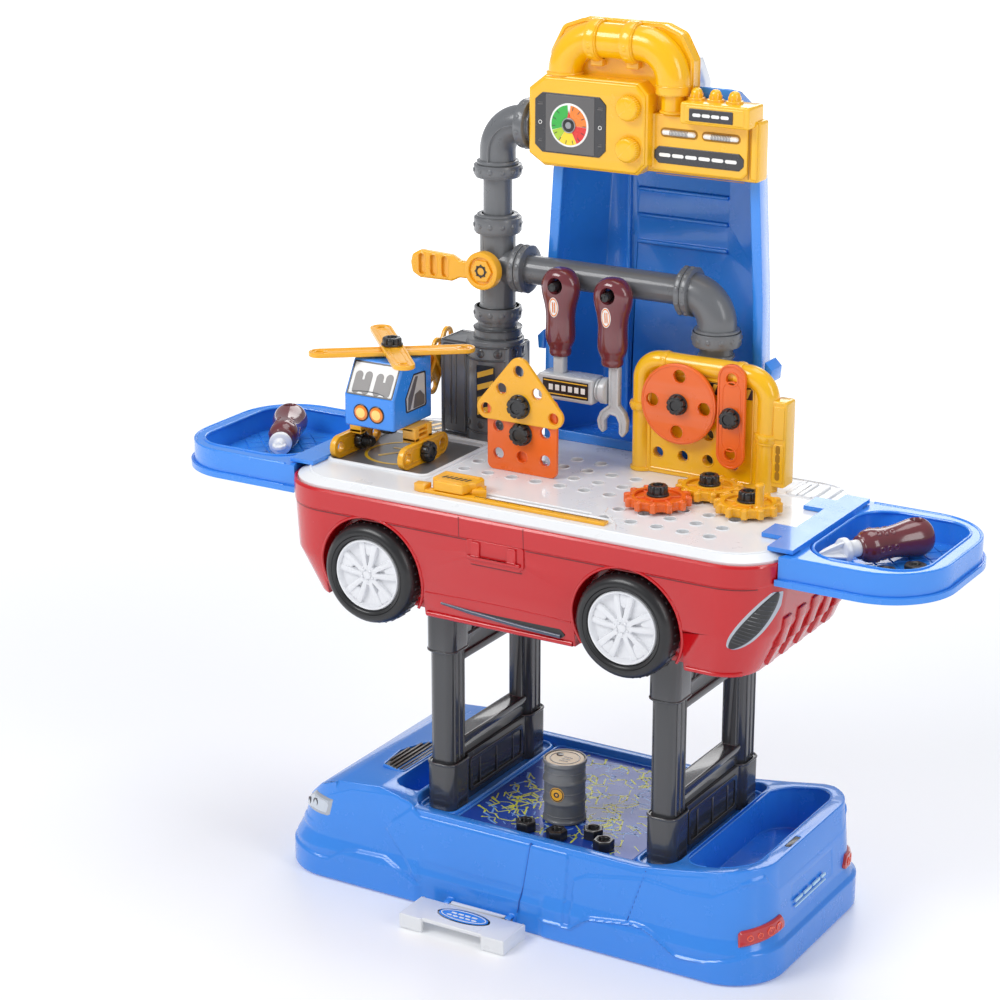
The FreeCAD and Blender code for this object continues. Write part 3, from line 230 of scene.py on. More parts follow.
class G:
    """Collects shapes for one piece."""

    def __init__(self):
        self.v, self.f = [], []

    def add(self, verts, faces):
        n = len(self.v)
        self.v += [tuple(p) for p in verts]
        self.f += [tuple(i + n for i in f) for f in faces]
        return self

    def from_bm(self, bm, M=None):
        bm.verts.ensure_lookup_table()
        bm.verts.index_update()
        vs = [(M @ v.co if M else v.co)[:] for v in bm.verts]
        fs = [[v.index for v in f.verts] for f in bm.faces]
        self.add(vs, fs)
        bm.free()
        return self

    def from_mesh(self, me, M=None, keep=True):
        vs = [(M @ v.co if M else v.co)[:] for v in me.vertices]
        self.add(vs, [list(p.vertices) for p in me.polygons])
        if not keep:
            bpy.data.meshes.remove(me)
        return self

    def box(self, x0, x1, y0, y1, z0, z1, r=0.6, seg=2, M=None):
        bm = bmesh.new()
        bmesh.ops.create_cube(bm, size=1.0)
        for v in bm.verts:
            v.co = ((x0 + x1) / 2 + v.co.x * (x1 - x0), (y0 + y1) / 2 + v.co.y * (y1 - y0), (z0 + z1) / 2 + v.co.z * (z1 - z0))
        r = min(r, 0.45 * min(abs(x1 - x0), abs(y1 - y0), abs(z1 - z0)))
        if r > 0.01:
            bmesh.ops.bevel(bm, geom=list(bm.edges), offset=r, segments=seg, profile=0.5, affect="EDGES", clamp_overlap=True)
        return self.from_bm(bm, M)

    def plate(self, outer, plane, a, b, r=0.6, seg=3, holes=(), M=None):
        """Flat piece with rounded edges: outer and holes are outlines or circles (u, v, radius)."""
        a, b = min(a, b), max(a, b)
        r = min(r, 0.49 * (b - a))
        cu = bpy.data.curves.new("t", "CURVE")
        cu.dimensions = "2D"
        cu.fill_mode = "BOTH"

        def put(pts):
            sp = cu.splines.new("POLY")
            sp.points.add(len(pts) - 1)
            for p, q in zip(sp.points, pts):
                p.co = (q[0], q[1], 0, 1)
            sp.use_cyclic_u = True
        put(circ(*outer) if len(outer) == 3 and not hasattr(outer[0], "__len__") else outer)
        for h in holes:
            put(circ(*h) if not hasattr(h[0], "__len__") else h)
        cu.extrude = (b - a) / 2 - r
        cu.bevel_depth = r
        cu.bevel_resolution = max(0, seg - 1)
        cu.offset = -r
        ob = bpy.data.objects.new("t", cu)
        me = bpy.data.meshes.new_from_object(ob)
        mid = (a + b) / 2
        vs = []
        for v in me.vertices:
            p = mp(plane, v.co.x, v.co.y, mid + v.co.z)
            vs.append((M @ Vector(p))[:] if M else p)
        self.add(vs, [list(p.vertices) for p in me.polygons])
        bpy.data.objects.remove(ob)
        bpy.data.curves.remove(cu)
        bpy.data.meshes.remove(me)
        return self

    def lathe(self, prof, axis, c, n=48, M=None):
        """prof: (radius, along) pairs from one end to the other; axis x, y or z through c (two numbers)."""
        rings = []
        vs, fs = [], []
        for r, t in prof:
            if r < 1e-6:
                rings.append([len(vs)])
                vs.append((0, 0, t))
            else:
                rings.append(list(range(len(vs), len(vs) + n)))
                vs += [(r * math.cos(2 * math.pi * k / n), r * math.sin(2 * math.pi * k / n), t) for k in range(n)]
        for p, q in zip(rings, rings[1:]):
            for k in range(n):
                k2 = (k + 1) % n
                if len(p) == 1 and len(q) == 1:
                    continue
                if len(p) == 1:
                    fs.append((p[0], q[k2], q[k]))
                elif len(q) == 1:
                    fs.append((p[k], p[k2], q[0]))
                else:
                    fs.append((p[k], p[k2], q[k2], q[k]))
        if len(rings[0]) > 1 and rings[0] != rings[-1]:
            fs.append(tuple(rings[0][::-1]))
        if len(rings[-1]) > 1:
            fs.append(tuple(rings[-1]))
        out = []
        for x, y, t in vs:
            if axis == "z":
                p = (c[0] + x, c[1] + y, t)
            elif axis == "y":
                p = (c[0] + x, t, c[1] + y)
            else:
                p = (t, c[0] + x, c[1] + y)
            out.append((M @ Vector(p))[:] if M else p)
        return self.add(out, fs)

    def ring(self, axis, c, t, R, r, n=48, m=12, sq=1.0):
        """Torus-like lip: R is its centre radius, r its section radius, t its place along the axis."""
        prof = [(R + r * math.cos(2 * math.pi * k / m), t + sq * r * math.sin(2 * math.pi * k / m)) for k in range(m)]
        vs, fs = [], []
        for i in range(n):
            a = 2 * math.pi * i / n
            for rr, tt in prof:
                x, y = rr * math.cos(a), rr * math.sin(a)
                vs.append((c[0] + x, c[1] + y, tt) if axis == "z" else (c[0] + x, tt, c[1] + y) if axis == "y" else (tt, c[0] + x, c[1] + y))
        for i in range(n):
            for k in range(m):
                fs.append((i * m + k, ((i + 1) % n) * m + k, ((i + 1) % n) * m + (k + 1) % m, i * m + (k + 1) % m))
        return self.add(vs, fs)

    def tube(self, path, r, n=12, closed=False, flat=None):
        """Round bar along a path; flat is not used."""
        P = [Vector(p) for p in path]
        N = len(P)
        T = []
        for i in range(N):
            a = P[(i - 1) % N] if closed or i else P[0]
            b = P[(i + 1) % N] if closed or i < N - 1 else P[-1]
            T.append((b - a).normalized())
        u = T[0].orthogonal().normalized()
        vs, fs = [], []
        for i in range(N):
            u = (u - T[i] * u.dot(T[i])).normalized()
            w = T[i].cross(u)
            rr = r[i] if hasattr(r, "__len__") else r
            for k in range(n):
                t = 2 * math.pi * k / n
                vs.append((P[i] + (u * math.cos(t) + w * math.sin(t)) * rr)[:])
        for i in range(N if closed else N - 1):
            j = (i + 1) % N
            for k in range(n):
                fs.append((i * n + k, i * n + (k + 1) % n, j * n + (k + 1) % n, j * n + k))
        if not closed:
            fs.append(tuple(range(n))[::-1])
            fs.append(tuple((N - 1) * n + k for k in range(n)))
        return self.add(vs, fs)

    def strip(self, path, normal, w, h):
        """Flat band of width w standing h proud, along a path on a surface with the given outward normals."""
        P = [Vector(p) for p in path]
        N = len(P)
        vs, fs = [], []
        for i in range(N):
            t = (P[min(N - 1, i + 1)] - P[max(0, i - 1)]).normalized()
            nn = Vector(normal[i] if hasattr(normal[0], "__len__") else normal).normalized()
            s = t.cross(nn).normalized()
            for a, b in ((-w / 2, -0.6), (-w / 2, h * 0.5), (-w / 4, h), (w / 4, h), (w / 2, h * 0.5), (w / 2, -0.6)):
                vs.append((P[i] + s * a + nn * b)[:])
        for i in range(N - 1):
            for k in range(6):
                fs.append((i * 6 + k, i * 6 + (k + 1) % 6, (i + 1) * 6 + (k + 1) % 6, (i + 1) * 6 + k))
        fs.append(tuple(range(6))[::-1])
        fs.append(tuple((N - 1) * 6 + k for k in range(6)))
        return self.add(vs, fs)

    def shell_grid(self, rows, wrap=True, cap0=False, cap1=False):
        """rows of points, joined into quads; wrap closes each row."""
        n = len(rows[0])
        vs = [p for r in rows for p in r]
        fs = []
        for i in range(len(rows) - 1):
            for k in range(n if wrap else n - 1):
                k2 = (k + 1) % n
                fs.append((i * n + k, i * n + k2, (i + 1) * n + k2, (i + 1) * n + k))
        if cap0:
            fs.append(tuple(range(n))[::-1])
        if cap1:
            fs.append(tuple((len(rows) - 1) * n + k for k in range(n)))
        return self.add(vs, fs)

    def out(self, name, mat, body, deg=38, replaces=(), slot=None, weld=False):
        me = bpy.data.meshes.new(name)
        me.from_pydata([(x * S, y * S, z * S) for x, y, z in self.v], [], self.f)
        me.materials.append(mat)
        bm = bmesh.new()
        bm.from_mesh(me)
        if weld:
            bmesh.ops.remove_doubles(bm, verts=bm.verts, dist=1e-6)
        bmesh.ops.recalc_face_normals(bm, faces=bm.faces)
        lim = math.radians(deg)
        for f in bm.faces:
            f.smooth = True
        for e in bm.edges:
            if len(e.link_faces) == 2:
                e.smooth = e.calc_face_angle(0.0) < lim
        bm.to_mesh(me)
        bm.free()
        me.update()
        o = bpy.data.objects.new(name, me)
        coll.objects.link(o)
        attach(o, body)
        if replaces:
            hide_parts(*replaces)
        return o


def circ(u, v, r, n=44, ph=0.0):
    return [(u + r * math.cos(2 * math.pi * k / n + ph), v + r * math.sin(2 * math.pi * k / n + ph)) for k in range(n)]


def rrect(x0, x1, y0, y1, r, k=8):
    pts = []
    for cx, cy, a in ((x1 - r, y0 + r, -90), (x1 - r, y1 - r, 0), (x0 + r, y1 - r, 90), (x0 + r, y0 + r, 180)):
        for i in range(k + 1):
            t = math.radians(a + 90.0 * i / k)
            pts.append((cx + r * math.cos(t), cy + r * math.sin(t)))
    return pts


def round_poly(pts, r, k=5):
    """Outline with each corner replaced by an arc; r may be a list."""
    out = []
    n = len(pts)
    for i in range(n):
        p, a, b = Vector(pts[i]), Vector(pts[i - 1]), Vector(pts[(i + 1) % n])
        rr = r[i] if hasattr(r, "__len__") else r
        u, w = (a - p), (b - p)
        lu, lw = u.length, w.length
        u.normalize()
        w.normalize()
        c = max(-1, min(1, u.dot(w)))
        ang = math.acos(c)
        if rr < 0.01 or ang > math.pi - 0.02:
            out.append(p[:])
            continue
        d = min(rr / math.tan(ang / 2), lu * 0.48, lw * 0.48)
        s, e = p + u * d, p + w * d
        for j in range(k + 1):
            t = j / k
            out.append((s * (1 - t) ** 2 + p * 2 * t * (1 - t) + e * t * t)[:])
    return out


def slot_outline(p, q, r, k=12):
    a = math.atan2(q[1] - p[1], q[0] - p[0])
    pts = []
    for i in range(k + 1):
        t = a - math.pi / 2 + math.pi * i / k
        pts.append((q[0] + r * math.cos(t), q[1] + r * math.sin(t)))
    for i in range(k + 1):
        t = a + math.pi / 2 + math.pi * i / k
        pts.append((p[0] + r * math.cos(t), p[1] + r * math.sin(t)))
    return pts


def ring_pts(x0, x1, y0, y1, r, nx, ny, na):
    """Rounded-rectangle ring with fixed counts per side, so rings of different sizes join; returns (point, outward normal)."""
    out = []
    for i in range(nx):
        out.append(((lerp(x0 + r, x1 - r, i / nx), y0), (0, -1)))
    for cx, cy, a, nxt in ((x1 - r, y0 + r, -90, "r"), (x1 - r, y1 - r, 0, "t"), (x0 + r, y1 - r, 90, "l"), (x0 + r, y0 + r, 180, "e")):
        for i in range(na):
            t = math.radians(a + 90.0 * i / na)
            out.append(((cx + r * math.cos(t), cy + r * math.sin(t)), (math.cos(t), math.sin(t))))
        if nxt == "r":
            for i in range(ny):
                out.append(((x1, lerp(y0 + r, y1 - r, i / ny)), (1, 0)))
        elif nxt == "t":
            for i in range(nx):
                out.append(((lerp(x1 - r, x0 + r, i / nx), y1), (0, 1)))
        elif nxt == "l":
            for i in range(ny):
                out.append(((x0, lerp(y1 - r, y0 + r, i / ny)), (-1, 0)))
    return out


def edge_round(o, width=0.0007, segs=2, ang=28.0, flat=False):
    """Moulded edge radius on a CAD node, by modifiers only."""
    w = o.modifiers.new("join_edges", "WELD")
    w.merge_threshold = 0.00002
    if flat:
        d = o.modifiers.new("flat_faces", "DECIMATE")
        d.decimate_type = "DISSOLVE"
        d.angle_limit = math.radians(1.0)
    b = o.modifiers.new("moulded_edges", "BEVEL")
    b.width = width
    b.segments = segs
    b.limit_method = "ANGLE"
    b.angle_limit = math.radians(ang)
    b.use_clamp_overlap = False
    b.miter_outer = "MITER_ARC"
    b.harden_normals = True
    for p in o.data.polygons:
        p.use_smooth = True
    return o

# ---------------------------------------------------------------------------
# base: the CAD tray stays; a sculpted side skin, seams, vent, lamps and prints go on it
# ---------------------------------------------------------------------------
BLUE_SEAM = moulded("blue_seam", srgb(18, 84, 176), rough=0.4, coat=0.1, edge_highlight=0.0)
RED_SEAM = moulded("red_seam", srgb(120, 4, 14), rough=0.4, coat=0.1, edge_highlight=0.0)
RED_DK = moulded("red_shadow", srgb(168, 8, 20), rough=0.3, coat=0.3, edge_highlight=0.0)

HL, HW = 233.5, 111.0
ZTOP = [(-238.5, 34), (-222, 56), (-196, 80), (-174, 90), (-132, 94), (-112, 90), (-98, 82), (120, 82), (160, 88), (204, 96), (228, 97), (238.5, 60)]
STEP = [(-240, 23), (-206, 22), (-186, 19.5), (-178, 20), (-163, 30), (-150, 33), (-122, 34), (-110, 29), (-88, 18), (-70, 13.5), (-52, 12.6), (12, 17.0), (64, 17.6), (72, 25), (80, 30), (119, 35), (130, 34.5), (140, 31), (160, 18.5), (184, 18.7), (206, 23), (220, 28), (240, 29)]
CREASE_F = [(-84.7, 17), (-96, 30.8), (-111.5, 46.8), (-122, 58.6), (-116, 67.3), (-103.3, 77.5), (-96, 84)]
CREASE_R = [(62, 17), (49, 46.5), (60, 56), (73.4, 63.5), (110, 70.5), (128, 73.5), (162, 71), (187, 73), (214, 88)]
SEAM1 = [(21, 84), (19.5, 78), (17, 55), (12, 17)]
SEAM2 = [(126.6, 89.7), (127.7, 78.5), (125.1, 72.5), (114.0, 34.9)]


def base_ring(z):
    if z <= 27:
        a = (-HL, HL, -HW, HW, 46.0)
    elif z <= 38:
        t = (z - 27) / 11
        a = (-HL + 5 * t, HL - 4 * t, -HW + 4 * t, HW - 4 * t, 46.0)
    else:
        t = (z - 38) / 62
        a = (-HL + 5 + 19 * t, HL - 4 - 4 * t, -HW + 4 + 7 * t, HW - 4 - 7 * t, 46 - 6 * t)
    return ring_pts(*a, 330, 110, 56)


def side_of(poly_pts, z):
    # x of a crease at height z (first crossing)
    for (ax, az), (bx, bz) in zip(poly_pts, poly_pts[1:]):
        if min(az, bz) <= z <= max(az, bz) and abs(bz - az) > 1e-6:
            return lerp(ax, bx, (z - az) / (bz - az))
    return poly_pts[-1][0] if z > poly_pts[-1][1] else poly_pts[0][0]


def base_offset(x, y, z, nx, ny):
    zs = interp(STEP, x)
    o = 0.35
    o += 2.3 * (1 - sstep((z - zs) / 2.4 + 0.5))                    # skirt below the step line
    if abs(ny) > 0.35 and z > zs - 2:
        k = sstep((abs(ny) - 0.35) / 0.4)
        xf = side_of(CREASE_F, z)
        o += 1.5 * k * sstep((x - xf) / 3.4 + 0.5) * (1 - sstep((x - 175) / 22))       # door panel stands out from the fender
        zr = interp(CREASE_R, x) if x > 55 else 200
        if x > 46:
            o -= 1.3 * k * sstep((z - zr) / 3.0 + 0.5) * sstep((x - 46) / 8)           # shoulder above the rear arch falls back
        for sm in (SEAM1, SEAM2):
            d = dist_line(sm, x, z)
            if d < 4:
                o -= 1.1 * k * math.exp(-(d / 0.75) ** 2)
    if nx > 0.2:
        k = sstep((nx - 0.2) / 0.4)
        o += 0.9 * k * (sstep((z - 84) / 1.6 + 0.5) - sstep((z - 90) / 1.6 + 0.5))     # band under the tail rim
        d = abs(z - 66 + 0.0)
        if abs(y) < 40:
            o -= 0.7 * k * math.exp(-((max(abs(z - 55) - 10.5, 0) + 0) / 0.8) ** 2) * sstep((40 - abs(y)) / 2) * 0.6
    if nx < -0.2:
        k = sstep((-nx - 0.2) / 0.4)
        o += 0.8 * k * (sstep((z - 40) / 2.0 + 0.5) - sstep((z - 46) / 2.0 + 0.5))
    return o


rows = []
NR = 78
base0 = base_ring(0)
ncol = len(base0)
for j in range(NR + 1):
    row = []
    v = j / NR
    for i in range(ncol):
        # height of this column's top follows the side profile at its own x
        x_ref = base0[i][0][0]
        zt = interp(ZTOP, max(-236, min(236, x_ref))) - 3.4
        zt = max(zt, 34.0)
        row.append((i, lerp(0.9, zt, v), zt))
    rows.append(row)
cache = {}


def ring_at(z):
    k = round(z * 2) / 2
    if k not in cache:
        cache[k] = base_ring(k)
    return cache[k]


out_rows = []
for j, row in enumerate(rows):
    pts = []
    for i, z, zt in row:
        k0 = math.floor(z * 2) / 2
        t = (z - k0) * 2
        (p0, n0), (p1, n1) = ring_at(k0)[i], ring_at(k0 + 0.5)[i]
        x, y = lerp(p0[0], p1[0], t), lerp(p0[1], p1[1], t)
        nx, ny = n0
        o = base_offset(x, y, z, nx, ny)
        if y < 0:
            # flat where the clasp folds up against the side
            w = sstep((x + 90) / 8) * (1 - sstep((x - 30) / 8)) * (1 - sstep((z - 32) / 8))
            o = lerp(o, min(o, 0.1), w)
        e = (zt - z)
        if e < 5:
            o = lerp(-0.6, o, math.sqrt(max(0.0, 1 - (1 - e / 5) ** 2)))
        if z < 2.2:
            o -= 0.9 * (1 - (z - 0.9) / 1.3)
        pts.append((x + nx * o, y + ny * o, z))
    out_rows.append(pts)
inn = []
for j in (NR, 0):
    pts = []
    for i, z, zt in rows[j]:
        (p0, n0) = ring_at(math.floor(z * 2) / 2)[i]
        pts.append((p0[0] - n0[0] * 1.4, p0[1] - n0[1] * 1.4, z - (0.3 if j == NR else 0)))
    inn.append(pts)
g = G()
allr = out_rows + inn
n = len(allr[0])
vs = [p for r in allr for p in r]
fs = []
for i in range(len(allr)):
    i2 = (i + 1) % len(allr)
    for k in range(n):
        k2 = (k + 1) % n
        fs.append((i * n + k, i * n + k2, i2 * n + k2, i2 * n + k))
g.add(vs, fs)
g.out("base_side_skin", BLUE, "bench", deg=60)

# thin dark line inside each door seam
g = G()
for sm in (SEAM1, SEAM2):
    for s in (-1, 1):
        path = []
        for (ax, az), (bx, bz) in zip(sm, sm[1:]):
            for q in range(9):
                x, z = lerp(ax, bx, q / 8), lerp(az, bz, q / 8)
                zz = min(z, interp(ZTOP, x) - 3.5)
                hw = HW if zz <= 27 else (HW - 4 * (zz - 27) / 11 if zz < 38 else HW - 4 - 7 * (zz - 38) / 62)
                path.append((x, s * (hw + base_offset(x, -hw, zz, 0, 1) + 0.10), zz))
        g.strip(path, (0, s, 0), 0.9, 0.12)
g.out("base_door_seams", BLUE_SEAM, "bench")

# bonnet vent: dark recess with pressed slats
vent = round_poly([(-155.1, -59), (-131.3, -66), (-129.6, -3), (-139.0, 9.0), (-150.6, -3.9), (-158.9, -26)], 4)
zv = interp(ZTOP, -145)
g = G()
g.plate(vent, "xy", zv - 1.0, zv + 0.5, r=0.4)
g.out("bonnet_vent_floor", PLATE, "bench")
g = G()
for k, (xa, ya, yb) in enumerate(((-154.6, -48, -18), (-150.2, -55, -4), (-145.6, -57, 1), (-141.0, -59, 5), (-136.4, -61, 4), (-132.6, -61, -2))):
    g.box(xa - 1.1, xa + 1.1, ya, yb, zv + 0.2, zv + 1.9, r=0.6)
g.out("bonnet_vent_slats", moulded("vent_slat_brown", srgb(86, 80, 70), rough=0.32, coat=0.2), "bench")
# raised frame round the vent
g = G()
vf = [Vector((x, y, zv + 0.5)) for x, y in vent]
g.tube([p[:] for p in vf], 1.3, n=10, closed=True)
g.out("bonnet_vent_frame", BLUE, "bench")

# head and tail lamps
g = G()
gl = G()
g, gd, gr_ = G(), G(), G()
for s in (-1, 1):
    base = [q for q in base_ring(60) if q[0][1] * s > 0 and -215 < q[0][0] < -177 and q[1][0] < -0.04]
    base.sort(key=lambda q: q[0][0])
    m_ = 20
    grid = []
    for k in range(m_ + 1):
        f = k / m_
        x_k = base[int(f * (len(base) - 1))][0][0]
        ztop = min(72.0, interp(ZTOP, x_k) - 5.0)
        col = []
        for j in range(11):
            z = lerp(53.0 + 3.0 * f, ztop, j / 10)
            rg = [q for q in base_ring(z) if q[0][1] * s > 0 and -217 < q[0][0] < -175 and q[1][0] < -0.04]
            rg.sort(key=lambda q: q[0][0])
            q = rg[int(f * (len(rg) - 1))]
            col.append((q[0], q[1], z))
        grid.append(col)
    for tgt, lift, shrink in ((gd, 0.9, 0), (g, 1.7, 1)):
        ks = range(shrink, m_ + 1 - shrink)
        js = range(shrink, 11 - shrink)
        vs, fs = [], []
        for layer in (1, 0):
            for k in ks:
                for j in js:
                    q = grid[k][j]
                    e = min(1.0, min(k - ks[0], ks[-1] - k) / 2.0, min(j - js[0], js[-1] - j) / 1.0)
                    o = lift * math.sqrt(max(0.0, 1 - (1 - e) ** 2)) + 0.25 if layer else -1.2
                    vs.append((q[0][0] + q[1][0] * o, q[0][1] + q[1][1] * o, q[2]))
        nk, nj = len(ks), len(js)
        off = nk * nj
        for a_ in range(nk - 1):
            for b_ in range(nj - 1):
                i0 = a_ * nj + b_
                fs.append((i0, i0 + 1, i0 + nj + 1, i0 + nj))
                fs.append((off + i0, off + i0 + nj, off + i0 + nj + 1, off + i0 + 1))
        rim = [b_ for b_ in range(nj)] + [a_ * nj + nj - 1 for a_ in range(1, nk)] + [(nk - 1) * nj + b_ for b_ in range(nj - 2, -1, -1)] + [a_ * nj for a_ in range(nk - 2, 0, -1)]
        for a_, b_ in zip(rim, rim[1:] + rim[:1]):
            fs.append((a_, b_, off + b_, off + a_))
        tgt.add(vs, fs)
    for k in (6, 12):
        q = grid[k][5]
        nv = Vector((q[1][0], q[1][1], 0.0)).normalized()
        M = Matrix.Translation(Vector((q[0][0], q[0][1], q[2])) + nv * 1.5) @ nv.to_track_quat("Z", "Y").to_matrix().to_4x4()
        gr_.lathe([(3.0, -0.6), (3.8, -0.6), (3.8, 0.6), (3.4, 0.8), (3.0, 0.6), (3.0, -0.6)], "z", (0, 0), n=32, M=M)
g.out("headlamp_lenses", CLEAR, "bench", replaces=("headlamps",), slot="lamp_clear")
gd.out("headlamp_surrounds", SILVER, "bench")
gr_.out("headlamp_rings", DARK, "bench")

g = G()
gr = G()
for s in (-1, 1):
    ring = base_ring(38)
    # run of the outline round the tail corner
    run = [(p, nn) for p, nn in ring if p[1] * s > 0 and nn[0] > 0.02 and nn[1] * s > 0.02]
    run.sort(key=lambda q: -abs(q[0][1]))
    run += [(((HL - 4.0), s * yy), (1.0, 0.0)) for yy in (61.5, 59.5, 58.0)]
    L = [0.0]
    for a, b in zip(run, run[1:]):
        L.append(L[-1] + math.hypot(a[0][0] - b[0][0], a[0][1] - b[0][1]))

    def at(d):
        for k in range(len(L) - 1):
            if L[k] <= d <= L[k + 1]:
                t = (d - L[k]) / max(1e-6, L[k + 1] - L[k])
                a, b = run[k], run[k + 1]
                return (Vector((lerp(a[0][0], b[0][0], t), lerp(a[0][1], b[0][1], t), 0)), Vector((lerp(a[1][0], b[1][0], t), lerp(a[1][1], b[1][1], t), 0)).normalized())
        return (Vector((run[-1][0][0], run[-1][0][1], 0)), Vector((run[-1][1][0], run[-1][1][1], 0)))
    d0, d1 = 26.0, L[-1] - 1.0
    U, W = 36, 10
    vs, fs = [], []
    for side in (0, 1):
        for a in range(U + 1):
            d = lerp(d0, d1, a / U)
            p, nn = at(d)
            zlo = lerp(32.5, 38.5, a / U) + (2.0 * sstep((a / U - 0.93) / 0.07))
            zhi = lerp(45.5, 52.0, a / U) - (9.0 * sstep((a / U - 0.88) / 0.12)) - 2.0 * (1 - sstep(a / U / 0.05))
            for b in range(W + 1):
                z = lerp(zlo, zhi, b / W)
                e = min(min(a, U - a) / 1.5, min(b, W - b) / 1.5, 1.0)
                o = (1.3 + 1.6 * math.sqrt(1 - (1 - e) ** 2)) if side == 0 else 0.0
                dz = interp([(27, 0), (38, 4), (100, 8)], z) - 4.0
                q = p + nn * (o - dz * 0.8)
                vs.append((q.x, q.y, z))
    n1 = (U + 1) * (W + 1)
    for a in range(U):
        for b in range(W):
            i0 = a * (W + 1) + b
            fs.append((i0, i0 + 1, i0 + W + 2, i0 + W + 1))
            fs.append((n1 + i0, n1 + i0 + W + 1, n1 + i0 + W + 2, n1 + i0 + 1))
    rim = [a * (W + 1) for a in range(U + 1)] + [U * (W + 1) + b for b in range(1, W + 1)] + [a * (W + 1) + W for a in range(U - 1, -1, -1)] + [b for b in range(W - 1, 0, -1)]
    for a, b in zip(rim, rim[1:] + rim[:1]):
        fs.append((a, b, n1 + b, n1 + a))
    g.add(vs, fs)
    for t, rr in ((0.2, 3.0), (0.38, 2.8), (0.6, 4.2), (0.8, 4.0)):
        p, nn = at(lerp(d0, d1, t))
        zc = lerp(39.0, 44.2, t)
        dz = interp([(27, 0), (38, 4), (100, 8)], zc) - 4.0
        M = Matrix.Translation(p + nn * (2.7 - dz * 0.8) + Vector((0, 0, zc))) @ nn.to_track_quat("Z", "Y").to_matrix().to_4x4()
        gr.lathe([(rr, -0.5), (rr, 0.5), (rr - 0.35, 0.8), (rr - 0.9, 0.8), (rr - 1.2, 0.4), (rr - 1.3, 0.1), (rr * 0.3, 0.1), (0, 0.3)], "z", (0, 0), n=28, M=M)
g.out("tail_lamp_lenses", REDL, "bench", replaces=("tail_lamps",), slot="lamp_red")
gr.out("tail_lamp_rings", moulded("lamp_ring_orange", srgb(240, 84, 50), rough=0.14, coat=0.9, edge_highlight=0.0), "bench")

# plain raised bars on the tail, in place of wording, and a black block in the rim slot, painted shade for the slot's
# hollow
g = G()
for k, (y0, y1) in enumerate(((-38, -24), (-21, -7), (-4, 10), (13, 21))):
    g.box(229.6, 231.6, y0, y1, 50.5, 53.3, r=0.6)
g.box(229.4, 231.6, -38, 21, 46.2, 47.6, r=0.5)
g.out("tail_trim_bars", moulded("tail_trim_pale", srgb(188, 226, 252), rough=0.3, coat=0.3, edge_highlight=0.0), "bench")
# painted shade: black block filling the slot in the rim
g = G()
g.box(217.6, 222.4, -33.8, -12.2, 92.0, 96.35, r=0.3)
g.out("tail_slot_shade", BLACK, "bench")

# printed play mat
MAT_BLUE = moulded("mat_blue_print", srgb(24, 70, 172), rough=0.3, coat=0.25, spec=0.3, edge_highlight=0.0)
MAT_LIME = moulded("mat_lime_print", srgb(214, 224, 60), rough=0.4, coat=0.1, edge_highlight=0.0)
MAT_PALE = moulded("mat_pale_print", srgb(120, 170, 235), rough=0.4, coat=0.1, edge_highlight=0.0)


g = G()
g.plate(rrect(-62, 104, -90, 90, 5), "xy", 74.6, 75.9, r=0.25)
g.out("play_mat", MAT_BLUE, "bench", replaces=("base_mat",), slot="mat_print")
# printed circuit-like traces on the mat
import random
rng = random.Random(11)
gl_, gp_ = G(), G()
for k in range(300):
    tgt = gl_ if k % 3 else gp_
    x, y = rng.uniform(-56, 98), rng.uniform(-82, 82)
    d = rng.choice((20, 65, 110, 155, -40))
    pts = [(x, y)]
    for q in range(rng.choice((1, 2, 3))):
        L = rng.uniform(4, 13)
        x2, y2 = pts[-1][0] + L * math.cos(math.radians(d)), pts[-1][1] + L * math.sin(math.radians(d))
        d += rng.choice((-45, 45, 90))
        if not (-59 < x2 < 101 and -85 < y2 < 85):
            break
        pts.append((x2, y2))
    w = rng.choice((0.45, 0.6, 0.85))
    for a, b in zip(pts, pts[1:]):
        tgt.plate(slot_outline(a, b, w, 4), "xy", 75.7, 75.93 + 0.01 * (k % 5), r=0.02, seg=1)
    if k % 4 == 0:
        tgt.plate(circ(pts[-1][0], pts[-1][1], w + 0.7, 12), "xy", 75.7, 75.98, r=0.02, seg=1)
gl_.out("mat_traces_lime", MAT_LIME, "bench")
gp_.out("mat_traces_pale", MAT_PALE, "bench")
# deck mouldings: a low bead round the mat and along the leg kerbs, and ribs in the troughs
g = G()
g.tube([(x, y, 75.6) for x, y in rrect(-63.5, 105.5, -91.2, 91.2, 6, k=6)], 1.1, n=8, closed=True)
for lx in (-84.4, 126.4):
    g.tube([(x, y, 77.0) for x, y in rrect(lx - 18.2, lx + 18.2, -88, 88, 10.5, k=8)], 1.75, n=12, closed=True)
for yy in (-60, -30, 0, 30, 60):
    g.box(-126, -109, yy - 0.8, yy + 0.8, 55.6, 58.0, r=0.5)
g.out("deck_beads", BLUE, "bench")
# rolled rim lip along the tail trough
g = G()
path = []
for x, y in rrect(149.4, 212.6, -89.6, 89.6, 25.6, k=10):
    path.append((x, y, interp(ZTOP, x) - 0.9 if x > 151 else 75.6))
g.tube([p for p in path if p[0] > 152], 1.0, n=8)
g.out("tail_trough_lip", BLUE, "bench")

# ---------------------------------------------------------------------------
# tub: proud rim band, catch surround, sill, arches, grilles
# ---------------------------------------------------------------------------
TUBS = [(259.0, -202, 206, 98, 30), (296.0, -225, 222, 105, 40), (355.5, -231, 229, 108, 48)]


def tub_at(z):
    z = max(259.0, min(355.5, z))
    for a, b in zip(TUBS, TUBS[1:]):
        if z <= b[0]:
            t = (z - a[0]) / (b[0] - a[0])
            return tuple(lerp(a[k], b[k], t) for k in (1, 2, 3, 4))
    return TUBS[-1][1:]


def tub_ring(z):
    x0, x1, hw, r = tub_at(z)
    return ring_pts(x0, x1, -hw, hw, r, 120, 40, 22)


